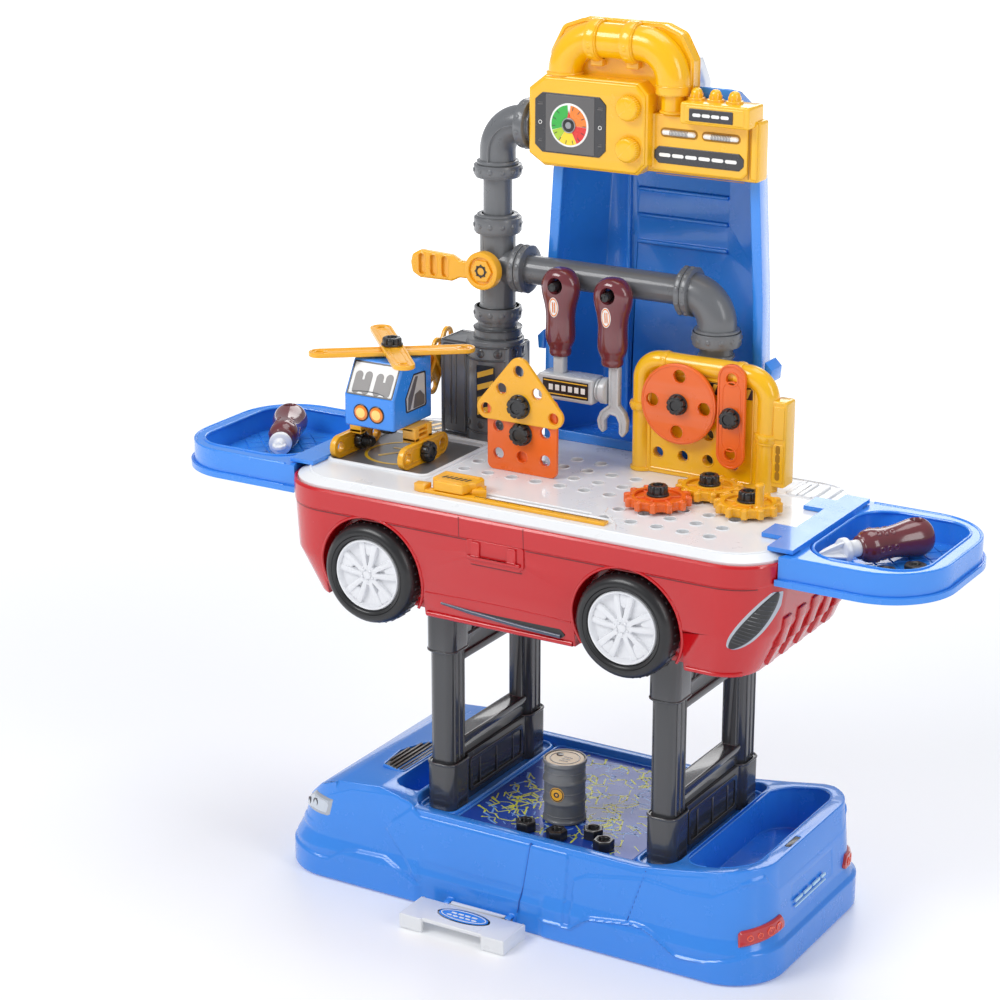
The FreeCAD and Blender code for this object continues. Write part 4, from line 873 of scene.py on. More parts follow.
def tub_y(x, z):
    x0, x1, hw, r = tub_at(z)
    if x > x1 - r:
        return hw - r + math.sqrt(max(0.0, r * r - (x - x1 + r) ** 2))
    if x < x0 + r:
        return hw - r + math.sqrt(max(0.0, r * r - (x0 + r - x) ** 2))
    return hw


def band(z0, z1, off, nrow=12, edge=1.2):
    rws = []
    for j in range(nrow + 1):
        z = lerp(z0, z1, j / nrow)
        e = min(1.0, min(z - z0, z1 - z) / edge)
        pts = []
        for (p, nn) in tub_ring(z):
            o = off
            if abs(p[0]) > 185:
                near = 1 - sstep((abs(p[1]) - 84) / 14)
                o = lerp(off, 0.22, near)
            o = o * math.sqrt(max(0.0, 1 - (1 - e) ** 2)) - (0.25 if e < 0.01 else 0)
            pts.append((p[0] + nn[0] * o, p[1] + nn[1] * o, z))
        rws.append(pts)
    back = [[(p[0] - nn[0] * 0.9, p[1] - nn[1] * 0.9, z) for p, nn in tub_ring(z)] for z in (z1 - 0.1, z0 + 0.1)]
    allr = rws + back
    n = len(allr[0])
    fs = []
    for i in range(len(allr)):
        i2 = (i + 1) % len(allr)
        for k in range(n):
            fs.append((i * n + k, i * n + (k + 1) % n, i2 * n + (k + 1) % n, i2 * n + k))
    return [p for r in allr for p in r], fs


g = G()
g.add(*band(336.5, 355.2, 1.25))
# plate that carries the band down round the catch
for s in (-1, 1):
    y = 107.2
    a, b = sorted((s * (y - 2), s * (y + 1.15)))
    g.plate(round_poly([(-39, 337.5), (-39, 319.5), (-34, 316.5), (10, 316.5), (14.5, 320.5), (14.5, 337.5)], 2.2), "xz", a, b, r=0.8)
g.out("tub_rim_band", RED, "bench")

g = G()
# rolled lip on each wheel arch
for wx in (-134.0, 106.0):
    for s in (-1, 1):
        path = []
        for k in range(49):
            t = math.radians(lerp(-30, 210, k / 48))
            x, z = wx + 49.2 * math.cos(t), 289.0 + 49.2 * math.sin(t)
            if z < 260.5:
                continue
            path.append((x, s * (tub_y(x, z) - 0.35), z))
        g.tube(path, 1.35, n=12)
g.out("tub_arch_lips", RED, "bench")
g = G()
for x0, x1 in ((-83, 55),):
    for s in (-1, 1):
        path = [(x, s * (tub_y(x, 262) - 0.2), 261.3) for x in np.linspace(x0, x1, 24)]
        g.tube(path, 2.3, n=12)
        path = [(x, s * (tub_y(x, 281) + 0.05), 281.0 + 1.5 * math.sin((x + 83) / 138 * math.pi)) for x in np.linspace(x0, x1, 24)]
        g.tube(path, 0.7, n=8)
for s in (-1, 1):
    path = [(x, s * (tub_y(x, 262) - 0.4), 261.3) for x in np.linspace(157, 200, 14)]
    g.tube(path, 2.0, n=12)
g.out("tub_sill_beads", RED, "bench")
# seams: vertical joints in the rim band and the fine gap under it
g = G()
for s in (-1, 1):
    for x in (-46.0, 14.5):
        g.strip([(x, s * (tub_y(x, z) + 1.27), z) for z in np.linspace(337.5, 354.5, 8)], (0, s, 0), 0.7, 0.10)
    pth = [(x, s * (tub_y(x, 335.8) + 0.02), 335.8) for x in np.linspace(-222, -40, 50)]
    g.strip(pth, (0, s, 0), 1.0, 0.12)
    pth = [(x, s * (tub_y(x, 335.8) + 0.02), 335.8) for x in np.linspace(16, 214, 50)]
    g.strip(pth, (0, s, 0), 1.0, 0.12)
    pth = [(x, s * (tub_y(x, 315.5) + 0.02), 315.5) for x in np.linspace(-36, 12, 12)]
    g.strip(pth, (0, s, 0), 1.0, 0.12)
g.out("tub_shadow_seams", RED_SEAM, "bench")

# sill grille: long dark sliver with a blue-grey lower lip coloured as a painted highlight along its lower edge
# blue-grey of the lip: painted highlight, the sheen along the grille's lower edge
SILL_LIP_HIGHLIGHT = moulded("sill_lip_painted_highlight", srgb(44, 56, 84), rough=0.18, coat=0.7)
g, g2 = G(), G()
for s in (-1, 1):
    o2 = round_poly([(-74, 274.6), (-58, 276.6), (-10, 278.2), (40, 278.0), (49, 268.0), (46, 265.2), (10, 266.4), (-40, 270.0), (-62, 273.0)], 1.2)
    a = tub_y(0, 270) * s
    g.plate(o2, "xz", a - 1.4 * s, a + 0.5 * s, r=0.4)
    path = [(x, s * (abs(a) + 0.5), interp([(-70, 273.9), (-40, 271.0), (10, 267.6), (45, 266.5)], x)) for x in np.linspace(-68, 45, 40)]
    g2.tube(path, [1.2 + 0.7 * sstep((x + 68) / 30) for x in np.linspace(-68, 45, 40)], n=10)
g.out("sill_grille_recess", BLACK, "bench", replaces=("tub_grilles",), slot="black_plastic")
g2.out("sill_grille_lip_highlight", SILL_LIP_HIGHLIGHT, "bench")


def leaf(u):
    # blade outline in the XZ plane: centre, half width along its length
    cx = lerp(lerp(195.0, 211.0, u), lerp(211.0, 223.5, u), u)
    cz = lerp(lerp(286.0, 302.0, u), lerp(302.0, 331.0, u), u)
    w = 6.9 * (math.sin(math.pi * min(1, u) ** 0.85) ** 0.72)
    return cx, cz, w


def blade(s, grow, lift, thick):
    U, W = 40, 8
    top, bot = [], []
    for a in range(U + 1):
        u = a / U
        cx, cz, w = leaf(min(1, max(0, u)))
        nx, nz = -0.86, 0.5
        for b in range(W + 1):
            v = lerp(-1, 1, b / W)
            ww = max(0.05, w + grow) if 0 < a < U else max(0.05, grow)
            x, z = cx + nx * ww * v, cz + nz * ww * v * 0.85
            x = min(x, tub_at(z)[1] - 0.7)
            yy = tub_y(x, z)
            y2 = tub_y(x + 0.4, z)
            n = Vector((yy - y2, 0.4)).normalized()
            e = min(1.0, min(min(a, U - a) / 1.5, min(b, W - b) / 1.0))
            o = lift + thick * math.sqrt(1 - (1 - e) ** 2)
            top.append((x + n.x * o, s * (yy + n.y * o), z))
            bot.append((x - n.x * 0.8, s * (yy - n.y * 0.8), z))
    vs = top + bot
    n1 = (U + 1) * (W + 1)
    fs = []
    for a in range(U):
        for b in range(W):
            i0 = a * (W + 1) + b
            fs.append((i0, i0 + 1, i0 + W + 2, i0 + W + 1))
            fs.append((n1 + i0, n1 + i0 + W + 1, n1 + i0 + W + 2, n1 + i0 + 1))
    rim = [a * (W + 1) for a in range(U + 1)] + [U * (W + 1) + b for b in range(1, W + 1)] + [a * (W + 1) + W for a in range(U - 1, -1, -1)] + [b for b in range(W - 1, 0, -1)]
    for a, b in zip(rim, rim[1:] + rim[:1]):
        fs.append((a, b, n1 + b, n1 + a))
    return vs, fs


g, g2, g3 = G(), G(), G()
for s in (-1, 1):
    g.add(*blade(s, 1.9, 0.1, 0.5))
    g2.add(*blade(s, 0.5, 0.25, 0.9))
    for k in range(13):
        u = lerp(0.16, 0.88, k / 12)
        cx, cz, w = leaf(u)
        path = []
        for v in np.linspace(-0.86, 0.86, 7):
            x, z = cx - 0.86 * w * v, cz + 0.5 * w * v * 0.85
            x = min(x, tub_at(z)[1] - 0.7)
            yy = tub_y(x, z)
            n = Vector((yy - tub_y(x + 0.4, z), 0.4)).normalized()
            path.append((x + n.x * 1.15, s * (yy + n.y * 1.15), z))
        g3.tube(path, 0.42, n=6)
g.out("corner_blade_frames", SILVER, "bench")
g2.out("corner_blade_vents", BLACK, "bench")
g3.out("corner_blade_ribs", DARK, "bench")
edge_round(NODES["tub_shell"], 0.0009, 3)
edge_round(NODES["base_shell"], 0.0012, 3)

# stepped diffuser under the tail
g = G()
for k in range(5):
    y0 = -62 + 27 * k
    prof = round_poly([(198, 262.2), (219, 280), (223.6, 296), (224.8, 305), (220, 305), (206, 270), (198, 266)], 1.4)
    g.plate(prof, "xz", y0 - 1.0, y0 + 13.0, r=1.2)
g.out("tail_diffuser_fins", RED, "bench")

# ---------------------------------------------------------------------------
# wheels
# ---------------------------------------------------------------------------
for nm, wx, body in (("front", -134.0, "front_wheelset"), ("rear", 106.0, "rear_wheelset")):
    gt, gh, gc = G(), G(), G()
    for s in (-1, 1):
        c = (wx, 289.0)
        prof = [(31.0, 86.6), (36, 86.6), (39.5, 87.6), (42.0, 90.2), (43.3, 94.0), (43.5, 98.0), (43.5, 102.0), (43.2, 105.6), (42.2, 108.8), (40.6, 111.2), (38.6, 112.6),
                (36.6, 113.2), (34.9, 113.1), (34.5, 112.6), (34.1, 113.0), (33.0, 112.8), (31.9, 111.9), (31.3, 110.4), (31.0, 108.0)]
        gt.lathe([(r, s * t) for r, t in prof] + [(31.0, s * 86.6)], "y", c, n=96)
        hubp = [(0, 87.0), (8, 87.0), (8, 92.5), (25, 92.5), (25, 86.8), (30.9, 86.8), (30.9, 109.2), (30.6, 111.0), (29.9, 111.8), (29.0, 111.7), (28.4, 110.9), (28.0, 109.0), (26.6, 107.0), (22, 106.4), (10, 106.8), (0, 106.8)]
        gh.lathe([(r, s * t) for r, t in hubp], "y", c, n=80)
        # split spokes, rim pads and pins on each hub face
        for k in range(5):
            for dt in (-10.5, 10.5):
                t = math.radians(72 * k + 90 + dt)
                sn = 1 if dt > 0 else -1
                # tapered, curved spoke
                pts = []
                for q in range(9):
                    u = q / 8
                    rr = lerp(5.0, 28.6, u)
                    an = math.radians(72 * k + 90) + sn * math.radians(lerp(17.0, 13.2, u))
                    pts.append((rr, an, lerp(2.3, 3.3, u), lerp(111.0, 109.4, u * u)))
                vs, fs = [], []
                for rr, an, w, top in pts:
                    ca, sa = math.cos(an), math.sin(an)
                    for off, y in ((-w, 106.0), (-w * 0.8, top - 0.5), (-w * 0.42, top), (w * 0.42, top), (w * 0.8, top - 0.5), (w, 106.0)):
                        vs.append((wx + rr * ca - off * sa, s * y, 289.0 + rr * sa + off * ca))
                m_ = 6
                for a in range(8):
                    for b in range(m_):
                        fs.append((a * m_ + b, a * m_ + (b + 1) % m_, (a + 1) * m_ + (b + 1) % m_, (a + 1) * m_ + b))
                fs.append(tuple(range(m_))[::-1])
                fs.append(tuple(8 * m_ + b for b in range(m_)))
                gh.add(vs, fs)
            # raised pad at the rim between the two spokes
            t = math.radians(72 * k + 90)
            pad = []
            for rr, da in ((17.5, -8), (27.2, -9.5), (28.2, 0), (27.2, 9.5), (17.5, 8), (15.5, 0)):
                an = t + math.radians(da)
                pad.append((wx + rr * math.cos(an), 289.0 + rr * math.sin(an)))
            gh.plate(round_poly(pad, 1.6), "xz", s * 106.0, s * 108.9, r=0.9)
            t = math.radians(72 * k + 54)
            gh.lathe([(1.15, s * 110.0), (1.15, s * 111.6), (0.7, s * 112.0), (0, s * 112.0)], "y", (wx + 5.1 * math.cos(t), 289 + 5.1 * math.sin(t)), n=12)
        gh.lathe([(8.6, s * 106), (8.6, s * 110.2), (8.0, s * 111.0), (7.2, s * 111.0), (6.8, s * 110.5), (3.8, s * 110.5), (3.4, s * 111.6), (2.8, s * 111.9), (0, s * 111.9)], "y", c, n=40)
        for k in range(40):
            t = 2 * math.pi * k / 40
            M = Matrix.Translation((wx, 0, 289.0)) @ Matrix.Rotation(-t, 4, "Y")
            gc.box(43.1, 43.95, *sorted((s * 93.5, s * 104.5)), -0.9, 0.9, r=0.3, seg=1, M=M)
    gt.out(nm + "_tyre_rings", TYRE, body, replaces=(nm + "_tyres",), slot="tyre", deg=30)
    gh.out(nm + "_wheel_faces", HUBW, body, replaces=(nm + "_hubs",), slot="hub_white", deg=32)
    gc.out(nm + "_tyre_treads", TYRE, body, slot="tyre")

# ---------------------------------------------------------------------------
# bench plate: CAD plate with rounded edges, plus the mouldings on it
# ---------------------------------------------------------------------------
TZ = 361.5
g = G()
# rolled edge round the whole plate
ringp = ring_pts(-219.0, 217.0, -95.0, 103.0, 40, 60, 24, 16)
g.tube([(p[0], p[1], TZ - 0.75) for p, nn in ringp], 1.5, n=10, closed=True)
# double bead round the landing pad
g.tube([(x, y, TZ + 0.3) for x, y in rrect(-213.5, -113.0, -52.5, 55, 8, k=8)], 1.9, n=12, closed=True)
g.tube([(x, y, TZ - 0.3) for x, y in rrect(-109.5, -108.5, -60, 60, 0.4, k=3)], 1.0, n=8, closed=True)
# step and groove of the slide rail
g.tube([(x, -70.6, TZ - 0.1) for x in np.linspace(-104, 70, 24)], 1.1, n=10)
g.tube([(x, -63.4, TZ - 0.1) for x in np.linspace(-104, 52, 24)], 0.8, n=10)
g.tube([(x, -76.8, TZ + 0.0) for x in np.linspace(-104, 78, 24)] + [(82, -80, TZ), (84, -84, TZ - 0.3), (88, -91, TZ - 1)], 1.3, n=10)
g.tube([(80, -76, TZ - 0.3), (70, -66, TZ - 0.3), (60, -57, TZ - 0.3), (56, -45, TZ - 0.5)], 1.0, n=10)
# ridges of the back right corner
for k in range(4):
    x = 166 + 11.0 * k
    g.plate(slot_outline((x, 64), (x, 96 - 1.5 * k), 2.4), "xy", TZ - 0.6, TZ + 1.9, r=1.1)
g.tube([(158, 58, TZ - 0.2), (206, 58, TZ - 0.6)], 1.0, n=8)
g.out("bench_mouldings", WHITE, "bench")
# raised collar round every bench hole
g = G()
PITCH = 23.2
GX = ((89.0, -20.5), (112.2, 25.9), (158.6, 2.7))
holes = [(-98 + PITCH * i, -15 + 23.6 * j) for i in range(7) for j in range(4)]
holes += [(65.8 + PITCH * i, -66.9 + PITCH * j) for i in range(6) for j in range(5) if 65.8 + PITCH * i < 170 and -66.9 + PITCH * j <= 40]
for q in holes:
    if min(math.hypot(q[0] - a, q[1] - b) for a, b in GX) < 8 or (q[1] > 42 and q[0] > 12):
        continue
    g.ring("z", q, TZ + 0.02, 5.5, 0.55, n=28, m=8)
g.out("bench_hole_collars", WHITE, "bench")
# landing pad print: dark sheet, ring and bars
PADY = moulded("pad_yellow_print", srgb(222, 178, 22), rough=0.4, coat=0.2, edge_highlight=0.0)
PADG = moulded("pad_grey_sheet", srgb(104, 104, 106), rough=0.36, coat=0.3, grain=500, bump=0.08, edge_highlight=0.0)
g = G()
g.plate(rrect(-214, -118, -48.5, 48.5, 5), "xy", 359.3, 360.45, r=0.2)
g.out("landing_pad_sheet", PADG, "bench")
g = G()
g.lathe([(33.0, 360.3), (33.0, 360.72), (30.2, 360.72), (30.2, 360.3), (33.0, 360.3)], "z", (-168, -2), n=72)
for a, b in (((-182, -16), (-168, 6)), ((-168, 6), (-154, -16)), ((-182, 8), (-154, 8))):
    g.plate(slot_outline(a, b, 2.0), "xy", 360.3, 360.72, r=0.1, seg=1)
g.out("landing_pad_marks", PADY, "bench")
# hazard strip at the pad's back edge
g, g2 = G(), G()
g.plate(round_poly([(-212, 66), (-170, 66), (-152, 92), (-168, 98), (-205, 90)], 4), "xy", 361.2, 361.9, r=0.2)
for k in range(5):
    x = -205 + 11 * k
    g2.plate([(x, 69), (x + 5, 69), (x + 12, 88), (x + 7, 88)], "xy", 361.85, 362.1, r=0.08, seg=1)
g.out("hazard_strip_base", BLACK, "bench")
g2.out("hazard_strip_bars", YELLOW, "bench")

# legs: CAD frames with rounded edges, ribs and pressed panels
for nme in ("left_leg_frame", "right_leg_frame", "leg_sockets"):
    edge_round(NODES[nme], 0.0009, 3)
g = G()
for lx in (-84.4, 126.4):
    for s in (-1, 1):
        for xx in (-11.0, 11.0):
            for yy in (57.5, 64.7, 71.9):
                x = lx + xx
                g.tube([(x, s * yy, 119), (x, s * yy, 218)], 0.8, n=8)
    for sx in (-1, 1):
        # pressed panel on the web and its frame
        x = lx + sx * 9.0
        a, b = sorted((x, x + sx * 1.1))
        fr = rrect(-45, 45, 80, 112, 4)
        inn2 = rrect(-41, 41, 84, 108, 3)
        g.plate(fr, "yz", a, b, r=0.5, holes=[inn2])
        for yy in (-28, 0, 28):
            g.box(*sorted((x, x + sx * 0.9)), yy - 1, yy + 1, 84, 108, r=0.4, seg=1)
        x = lx + sx * 6.0
        g.tube([(x + sx * 0.2, -50, 225), (x + sx * 0.2, 50, 225)], 1.1, n=8)
        g.tube([(x + sx * 0.2, -50, 247), (x + sx * 0.2, 50, 247)], 1.1, n=8)
        for kk in range(-3, 4):
            g.tube([(x + sx * 0.2, kk * 14 - 6, 226), (x + sx * 0.2, kk * 14 + 6, 246)], 0.9, n=8)
    for s in (-1, 1):
        # rolled collar at each sleeve mouth
        y0, y1 = sorted((s * 48.5, s * 80.5))
        for zz in (117.0, 220.0):
            g.tube([(x, y, zz) for x, y in rrect(lx - 13.6, lx + 13.6, y0 + 0.4, y1 - 0.4, 8.6, k=6)], 1.15, n=10, closed=True)
g.out("leg_ribs", DARK, "bench")

# ---------------------------------------------------------------------------
# console housing
# ---------------------------------------------------------------------------
PY = 84.0
# darker yellow for the gap lines, and painted shade round the capsules
YEL_SEAM_AND_SHADE = moulded("yellow_seam_and_painted_shade", srgb(168, 118, 0), rough=0.6, coat=0.0, edge_highlight=0.0)
GAUGE_W = moulded("gauge_white", srgb(244, 244, 240), rough=0.3, coat=0.4, edge_highlight=0.0)
SCR_IN = moulded("screen_grey", srgb(92, 90, 90), rough=0.35, coat=0.4, grain=700, bump=0.1, edge_highlight=0.0)


def pipe_path(pts, r, k=10):
    """points of a pipe run in the XZ plane with round corners"""
    out_ = [pts[0]]
    for a, b, c in zip(pts, pts[1:], pts[2:]):
        A, B, C = Vector(a), Vector(b), Vector(c)
        d0, d1 = (A - B).normalized(), (C - B).normalized()
        cen = B + (d0 + d1) * r
        for q in range(k + 1):
            t = q / k * math.pi / 2
            out_.append(tuple(cen - d1 * r * math.cos(t) - d0 * r * math.sin(t)))
    out_.append(pts[-1])
    return out_


def rivets(g, axis, c, t0, R, n, r=1.9, h=0.9, ph=0.0):
    """rivet heads round a pipe band: axis along x, z; t0 the band's middle"""
    for k in range(n):
        an = 2 * math.pi * k / n + ph
        ca, sa = math.cos(an), math.sin(an)
        if axis == "z":
            M = Matrix.Translation((c[0] + R * ca, c[1] + R * sa, t0)) @ Matrix.Rotation(an, 4, "Z") @ Matrix.Rotation(math.pi / 2, 4, "Y")
        else:
            M = Matrix.Translation((t0, c[0] + R * ca, c[1] + R * sa)) @ Matrix.Rotation(an, 4, "X") @ Matrix.Rotation(-math.pi / 2, 4, "X")
        g.lathe([(r + 0.5, -0.8), (r + 0.5, 0.15), (r, 0.4), (r, h - 0.25), (r - 0.35, h), (0, h + 0.12)], "z", (0, 0), n=18, M=M)


def band_x(g, c, x0, x1, r0, R, e=0.9):
    g.lathe([(r0, x0), (R - e, x0), (R - e * 0.3, x0 + e * 0.3), (R, x0 + e), (R, x1 - e), (R - e * 0.3, x1 - e * 0.3), (R - e, x1), (r0, x1), (r0, x0)], "x", c, n=56)


def band_z(g, c, z0, z1, r0, R, e=0.9):
    g.lathe([(r0, z0), (R - e, z0), (R - e * 0.3, z0 + e * 0.3), (R, z0 + e), (R, z1 - e), (R - e * 0.3, z1 - e * 0.3), (R - e, z1), (r0, z1), (r0, z0)], "z", c, n=56)


g = G()
outer = round_poly([(-86, 618.5), (-71, 609), (17, 609), (26, 618), (26, 676), (17, 685.5), (-70, 685.5), (-86, 673)], 2.6, k=6)
face = round_poly([(-84.6, 619.3), (-70.4, 610.6), (16, 610.6), (24.4, 619), (24.4, 675), (16, 683.9), (-69.4, 683.9), (-84.6, 672)], 3.6, k=6)
g.plate(outer, "xz", 70.4, 99.9, r=2.0, seg=4)
g.plate(face, "xz", 68.0, 74.0, r=2.2, seg=5, holes=())
g.plate(round_poly([(17, 611), (121, 611), (121, 661), (17, 661)], 3.4, k=6), "xz", 83.5, 99.9, r=1.4, seg=3)
g.plate(round_poly([(19, 613.2), (106.5, 613.2), (112, 618), (112, 660.5), (19, 660.5)], 2.4, k=6), "xz", 80.0, 86.0, r=1.6, seg=4)
g.plate(round_poly([(113.8, 613.2), (119.4, 613.2), (119.4, 659.4), (113.8, 659.4)], 2.0, k=6), "xz", 81.6, 86.0, r=1.4, seg=4)
# round shoulder joining the two faces
g.tube([(26.2, 81.2, z) for z in np.linspace(616, 660, 20)], 2.1, n=12)
# label block on top
g.plate(round_poly([(56, 656), (118, 656), (118, 674), (56, 674)], 2.6, k=6), "xz", 68.6, 96, r=1.7, seg=4)
g.plate(rrect(60, 114, 657.8, 671.6, 1.8), "xz", 68.0, 70.0, r=0.9, seg=3)
# pipe web with a rim bead
webp = round_poly([(-73.5, 680), (-73.5, 702), (-62, 724), (-44, 730.4), (30, 730.4), (46, 724), (57, 704), (57, 660), (-73.5, 660)], 8, k=6)
g.plate(webp, "xz", 88, 99.9, r=1.2, seg=3)
wb = round_poly([(-72.4, 684), (-72.4, 702), (-61, 723), (-43, 729.2), (29, 729.2), (45, 723), (55.8, 704), (55.8, 676)], 8, k=6)
g.tube([(x, 88.2, z) for x, z in wb if z > 683.0], 1.0, n=8)
UZ = 715.5
path = pipe_path([(-58.5, PY, 678), (-58.5, PY, UZ), (42, PY, UZ), (42, PY, 677.5)], 29.5, k=18)
g.tube(path, 14.5, n=48)
g.lathe([(14.5, 677.4), (14.2, 676.6), (13.2, 676.2), (9.6, 676.2), (9.6, 661)], "z", (42, PY), n=48)
g.ring("z", (42, PY), 662.4, 9.8, 1.3, n=40, m=10)
g.ring("z", (-58.5, PY), 686.2, 14.7, 1.4, n=48, m=10)
g.ring("z", (42, PY), 684.0, 14.5, 0.7, n=48, m=8)
for x in (-28.5, 5.0):
    band_x(g, (PY, UZ), x - 4.7, x + 4.7, 13.5, 17.5, e=1.1)
    band_x(g, (PY, UZ), x - 5.6, x - 4.0, 13.5, 16.4, e=0.6)
    band_x(g, (PY, UZ), x + 4.0, x + 5.6, 13.5, 16.4, e=0.6)
    for an in (-170, -135, -100, -65, 65, 100, 28):
        a = math.radians(an)
        M = Matrix.Translation((x, PY + 17.3 * math.cos(a), UZ + 17.3 * math.sin(a))) @ Matrix.Rotation(a, 4, "X") @ Matrix.Rotation(-math.pi / 2, 4, "X")
        g.lathe([(2.6, -0.6), (2.6, 0.1), (2.1, 0.5), (1.5, 0.62), (0, 0.7)], "z", (0, 0), n=18, M=M)
    # foot of each band on the web
    g.plate(round_poly([(x - 5.6, 694), (x + 5.6, 694), (x + 5.6, 703), (x - 5.6, 703)], 1.4), "xz", 82, 90, r=0.8)
# three domes on their collars
for x in (63.5, 80.5, 97.5):
    g.lathe([(7.2, 673.4), (7.2, 675.2), (6.9, 675.9), (6.2, 676.1), (5.2, 676.1), (4.9, 677.4), (4.9, 679), (4.4, 681.2), (3.2, 682.8), (1.6, 683.6), (0, 683.8)], "z", (x, 84), n=40)
    for k in range(8):
        a = 2 * math.pi * k / 8
        g.tube([(x + 5.0 * math.cos(a), 84 + 5.0 * math.sin(a), 676.0), (x + 5.0 * math.cos(a), 84 + 5.0 * math.sin(a), 679.0)], 0.7, n=6)
g.out("console_mouldings", YELLOW, "bench", deg=34, replaces=("console_housing",), slot="yellow_plastic")

# fine gap lines on the housing
g = G()
g.strip([(x, 79.96, 611.0) for x in np.linspace(30, 110, 20)], (0, -1, 0), 0.5, 0.08)
g.tube([(112.9, 80.9, z) for z in np.linspace(614, 659, 12)], 0.45, n=6)
g.out("console_gap_lines", YEL_SEAM_AND_SHADE, "bench")

# screen, name plates, capsule lamps
g, gi, gw = G(), G(), G()
scr = round_poly([(-78, 627), (-71, 621), (-17, 621), (-11, 627), (-11, 665), (-17, 671), (-71, 671), (-78, 665)], 1.2, k=4)
g.plate(scr, "xz", 67.2, 68.4, r=0.5, seg=3)
g.plate(round_poly([(28, 624), (32, 620), (105, 620), (109, 624), (109, 630), (105, 634), (32, 634), (28, 630)], 1.0), "xz", 79.2, 80.4, r=0.5, seg=3)
g.plate(rrect(65, 104, 659.5, 669.5, 0.8), "xz", 67.2, 68.4, r=0.4, seg=3)
g.out("console_label_plates", PLATE, "bench", replaces=("console_labels",), slot="screen_dark")
gi.plate(rrect(-67.5, -21.5, 622.2, 669.8, 0.8), "xz", 66.9, 67.4, r=0.15, seg=2)
for z, w in ((661, 5.4), (630.5, 4.0)):
    for x in (-72.8, -16.2):
        gi.box(x - w / 2, x + w / 2, 66.95, 67.3, z - 0.5, z + 0.5, r=0.15, seg=1)
        gi.box(x - w / 2 + 0.8, x + w / 2, 66.95, 67.3, z + 1.2, z + 1.8, r=0.15, seg=1)
gi.out("screen_inner_field", SCR_IN, "bench")
for x in (-72.8, -16.2):
    gw.ring("y", (x, 646), 67.0, 1.5, 0.3, n=20, m=6)
# white bars where the wording was: plain stripes
for k in range(6):
    x = 34 + 12.0 * k
    gw.plate(slot_outline((x, 627), (x + 7.6, 627), 1.5), "xz", 79.0, 79.3, r=0.1, seg=1)
for k in range(4):
    x = 69.6 + 8.4 * k
    gw.plate(slot_outline((x, 664.5), (x + 4.6, 664.5), 1.4), "xz", 67.0, 67.3, r=0.1, seg=1)
gw.out("plate_bars", GAUGE_W, "bench")


def sector(g, c, r0, r1, a0, a1, y0, y1):
    n = max(3, int(abs(a1 - a0) / 4))
    o = [(c[0] + r1 * math.cos(math.radians(lerp(a0, a1, k / n))), c[1] + r1 * math.sin(math.radians(lerp(a0, a1, k / n)))) for k in range(n + 1)]
    i = [(c[0] + r0 * math.cos(math.radians(lerp(a1, a0, k / n))), c[1] + r0 * math.sin(math.radians(lerp(a1, a0, k / n)))) for k in range(n + 1)]
    g.plate(o + i, "xz", y0, y1, r=0.08, seg=1)


GC = (-45.0, 645.6)
g = G()
g.lathe([(0, 66.9), (18.2, 66.9), (18.2, 66.55), (17.7, 66.3), (0, 66.3)], "y", GC, n=72)
g.out("gauge_face", GAUGE_W, "bench")
for nm, mt, a0, a1 in (("green", DGREEN, 95, 197), ("lime", DYG, 198, 233), ("yellow", DYEL, 234, 296), ("red", DRED, 297, 357), ("orange", DORG, -2, 85)):
    g = G()
    sector(g, GC, 5.2, 16.6, a0, a1, 66.35, 66.12)
    g.out("gauge_sector_" + nm, mt, "bench")
g = G()
for k in range(13):
    a = math.radians(90 - 15 - 25 * k if k else 75)
    u = (math.cos(a), math.sin(a))
    v = (-u[1], u[0])
    g.plate([(GC[0] + u[0] * r + v[0] * w, GC[1] + u[1] * r + v[1] * w) for r, w in ((12.8, -0.3), (16.0, -0.3), (16.0, 0.3), (12.8, 0.3))], "xz", 66.16, 65.98, r=0.05, seg=1)
g.lathe([(5.2, 66.2), (5.2, 65.5), (4.7, 65.2), (3.4, 65.2), (3.2, 65.5), (0, 65.5)], "y", GC, n=40)
g.out("gauge_ticks_hub", BLACK, "bench")
g = G()
g.plate([(GC[0] - 1.6, GC[1] + 5.0), (GC[0] + 1.6, GC[1] + 5.0), (GC[0], GC[1] + 12.4)], "xz", 66.2, 65.7, r=0.1, seg=1)
g.out("gauge_pointer", DRED, "bench")
g = G()
g.lathe([(2.8, 65.6), (2.8, 65.1), (2.4, 64.9), (0, 64.9)], "y", GC, n=30)
g.ring("y", GC, 65.6, 5.9, 0.5, n=40, m=8)
g.out("gauge_cap", GREYC, "bench")
gs, gd, gr = G(), G(), G()
for x0, x1 in ((35, 65.5), (72.5, 104)):
    z = 645.6
    # painted shade: a darker yellow plate round each capsule stands in for the shade of its recess
    gr.plate(slot_outline((x0 + 2.2, z), (x1 - 2.2, z), 3.9), "xz", 80.2, 79.6, r=0.25, seg=2)
    gs.tube([(x0 + 2.0, 79.6, z), (x1 - 2.0, 79.6, z)], 2.2, n=20)
    for xx in (x0 + 2.0, x1 - 2.0):
        gs.lathe([(0, -2.2), (1.2, -1.85), (2.0, -0.9), (2.2, 0), (2.0, 0.9), (1.2, 1.85), (0, 2.2)], "x", (79.6, z), n=20, M=Matrix.Translation((xx, 0, 0)))
    n = 13
    for k in range(n):
        x = lerp(x0 + 8.0, x1 - 7.0, k / (n - 1))
        gd.ring("x", (79.6, z), x, 2.2, 0.42, n=18, m=6)
gr.out("capsule_recess_painted_shade", YEL_SEAM_AND_SHADE, "bench")
gs.out("capsule_tubes", GAUGE_W, "bench")
gd.out("capsule_coils", GREYC, "bench")

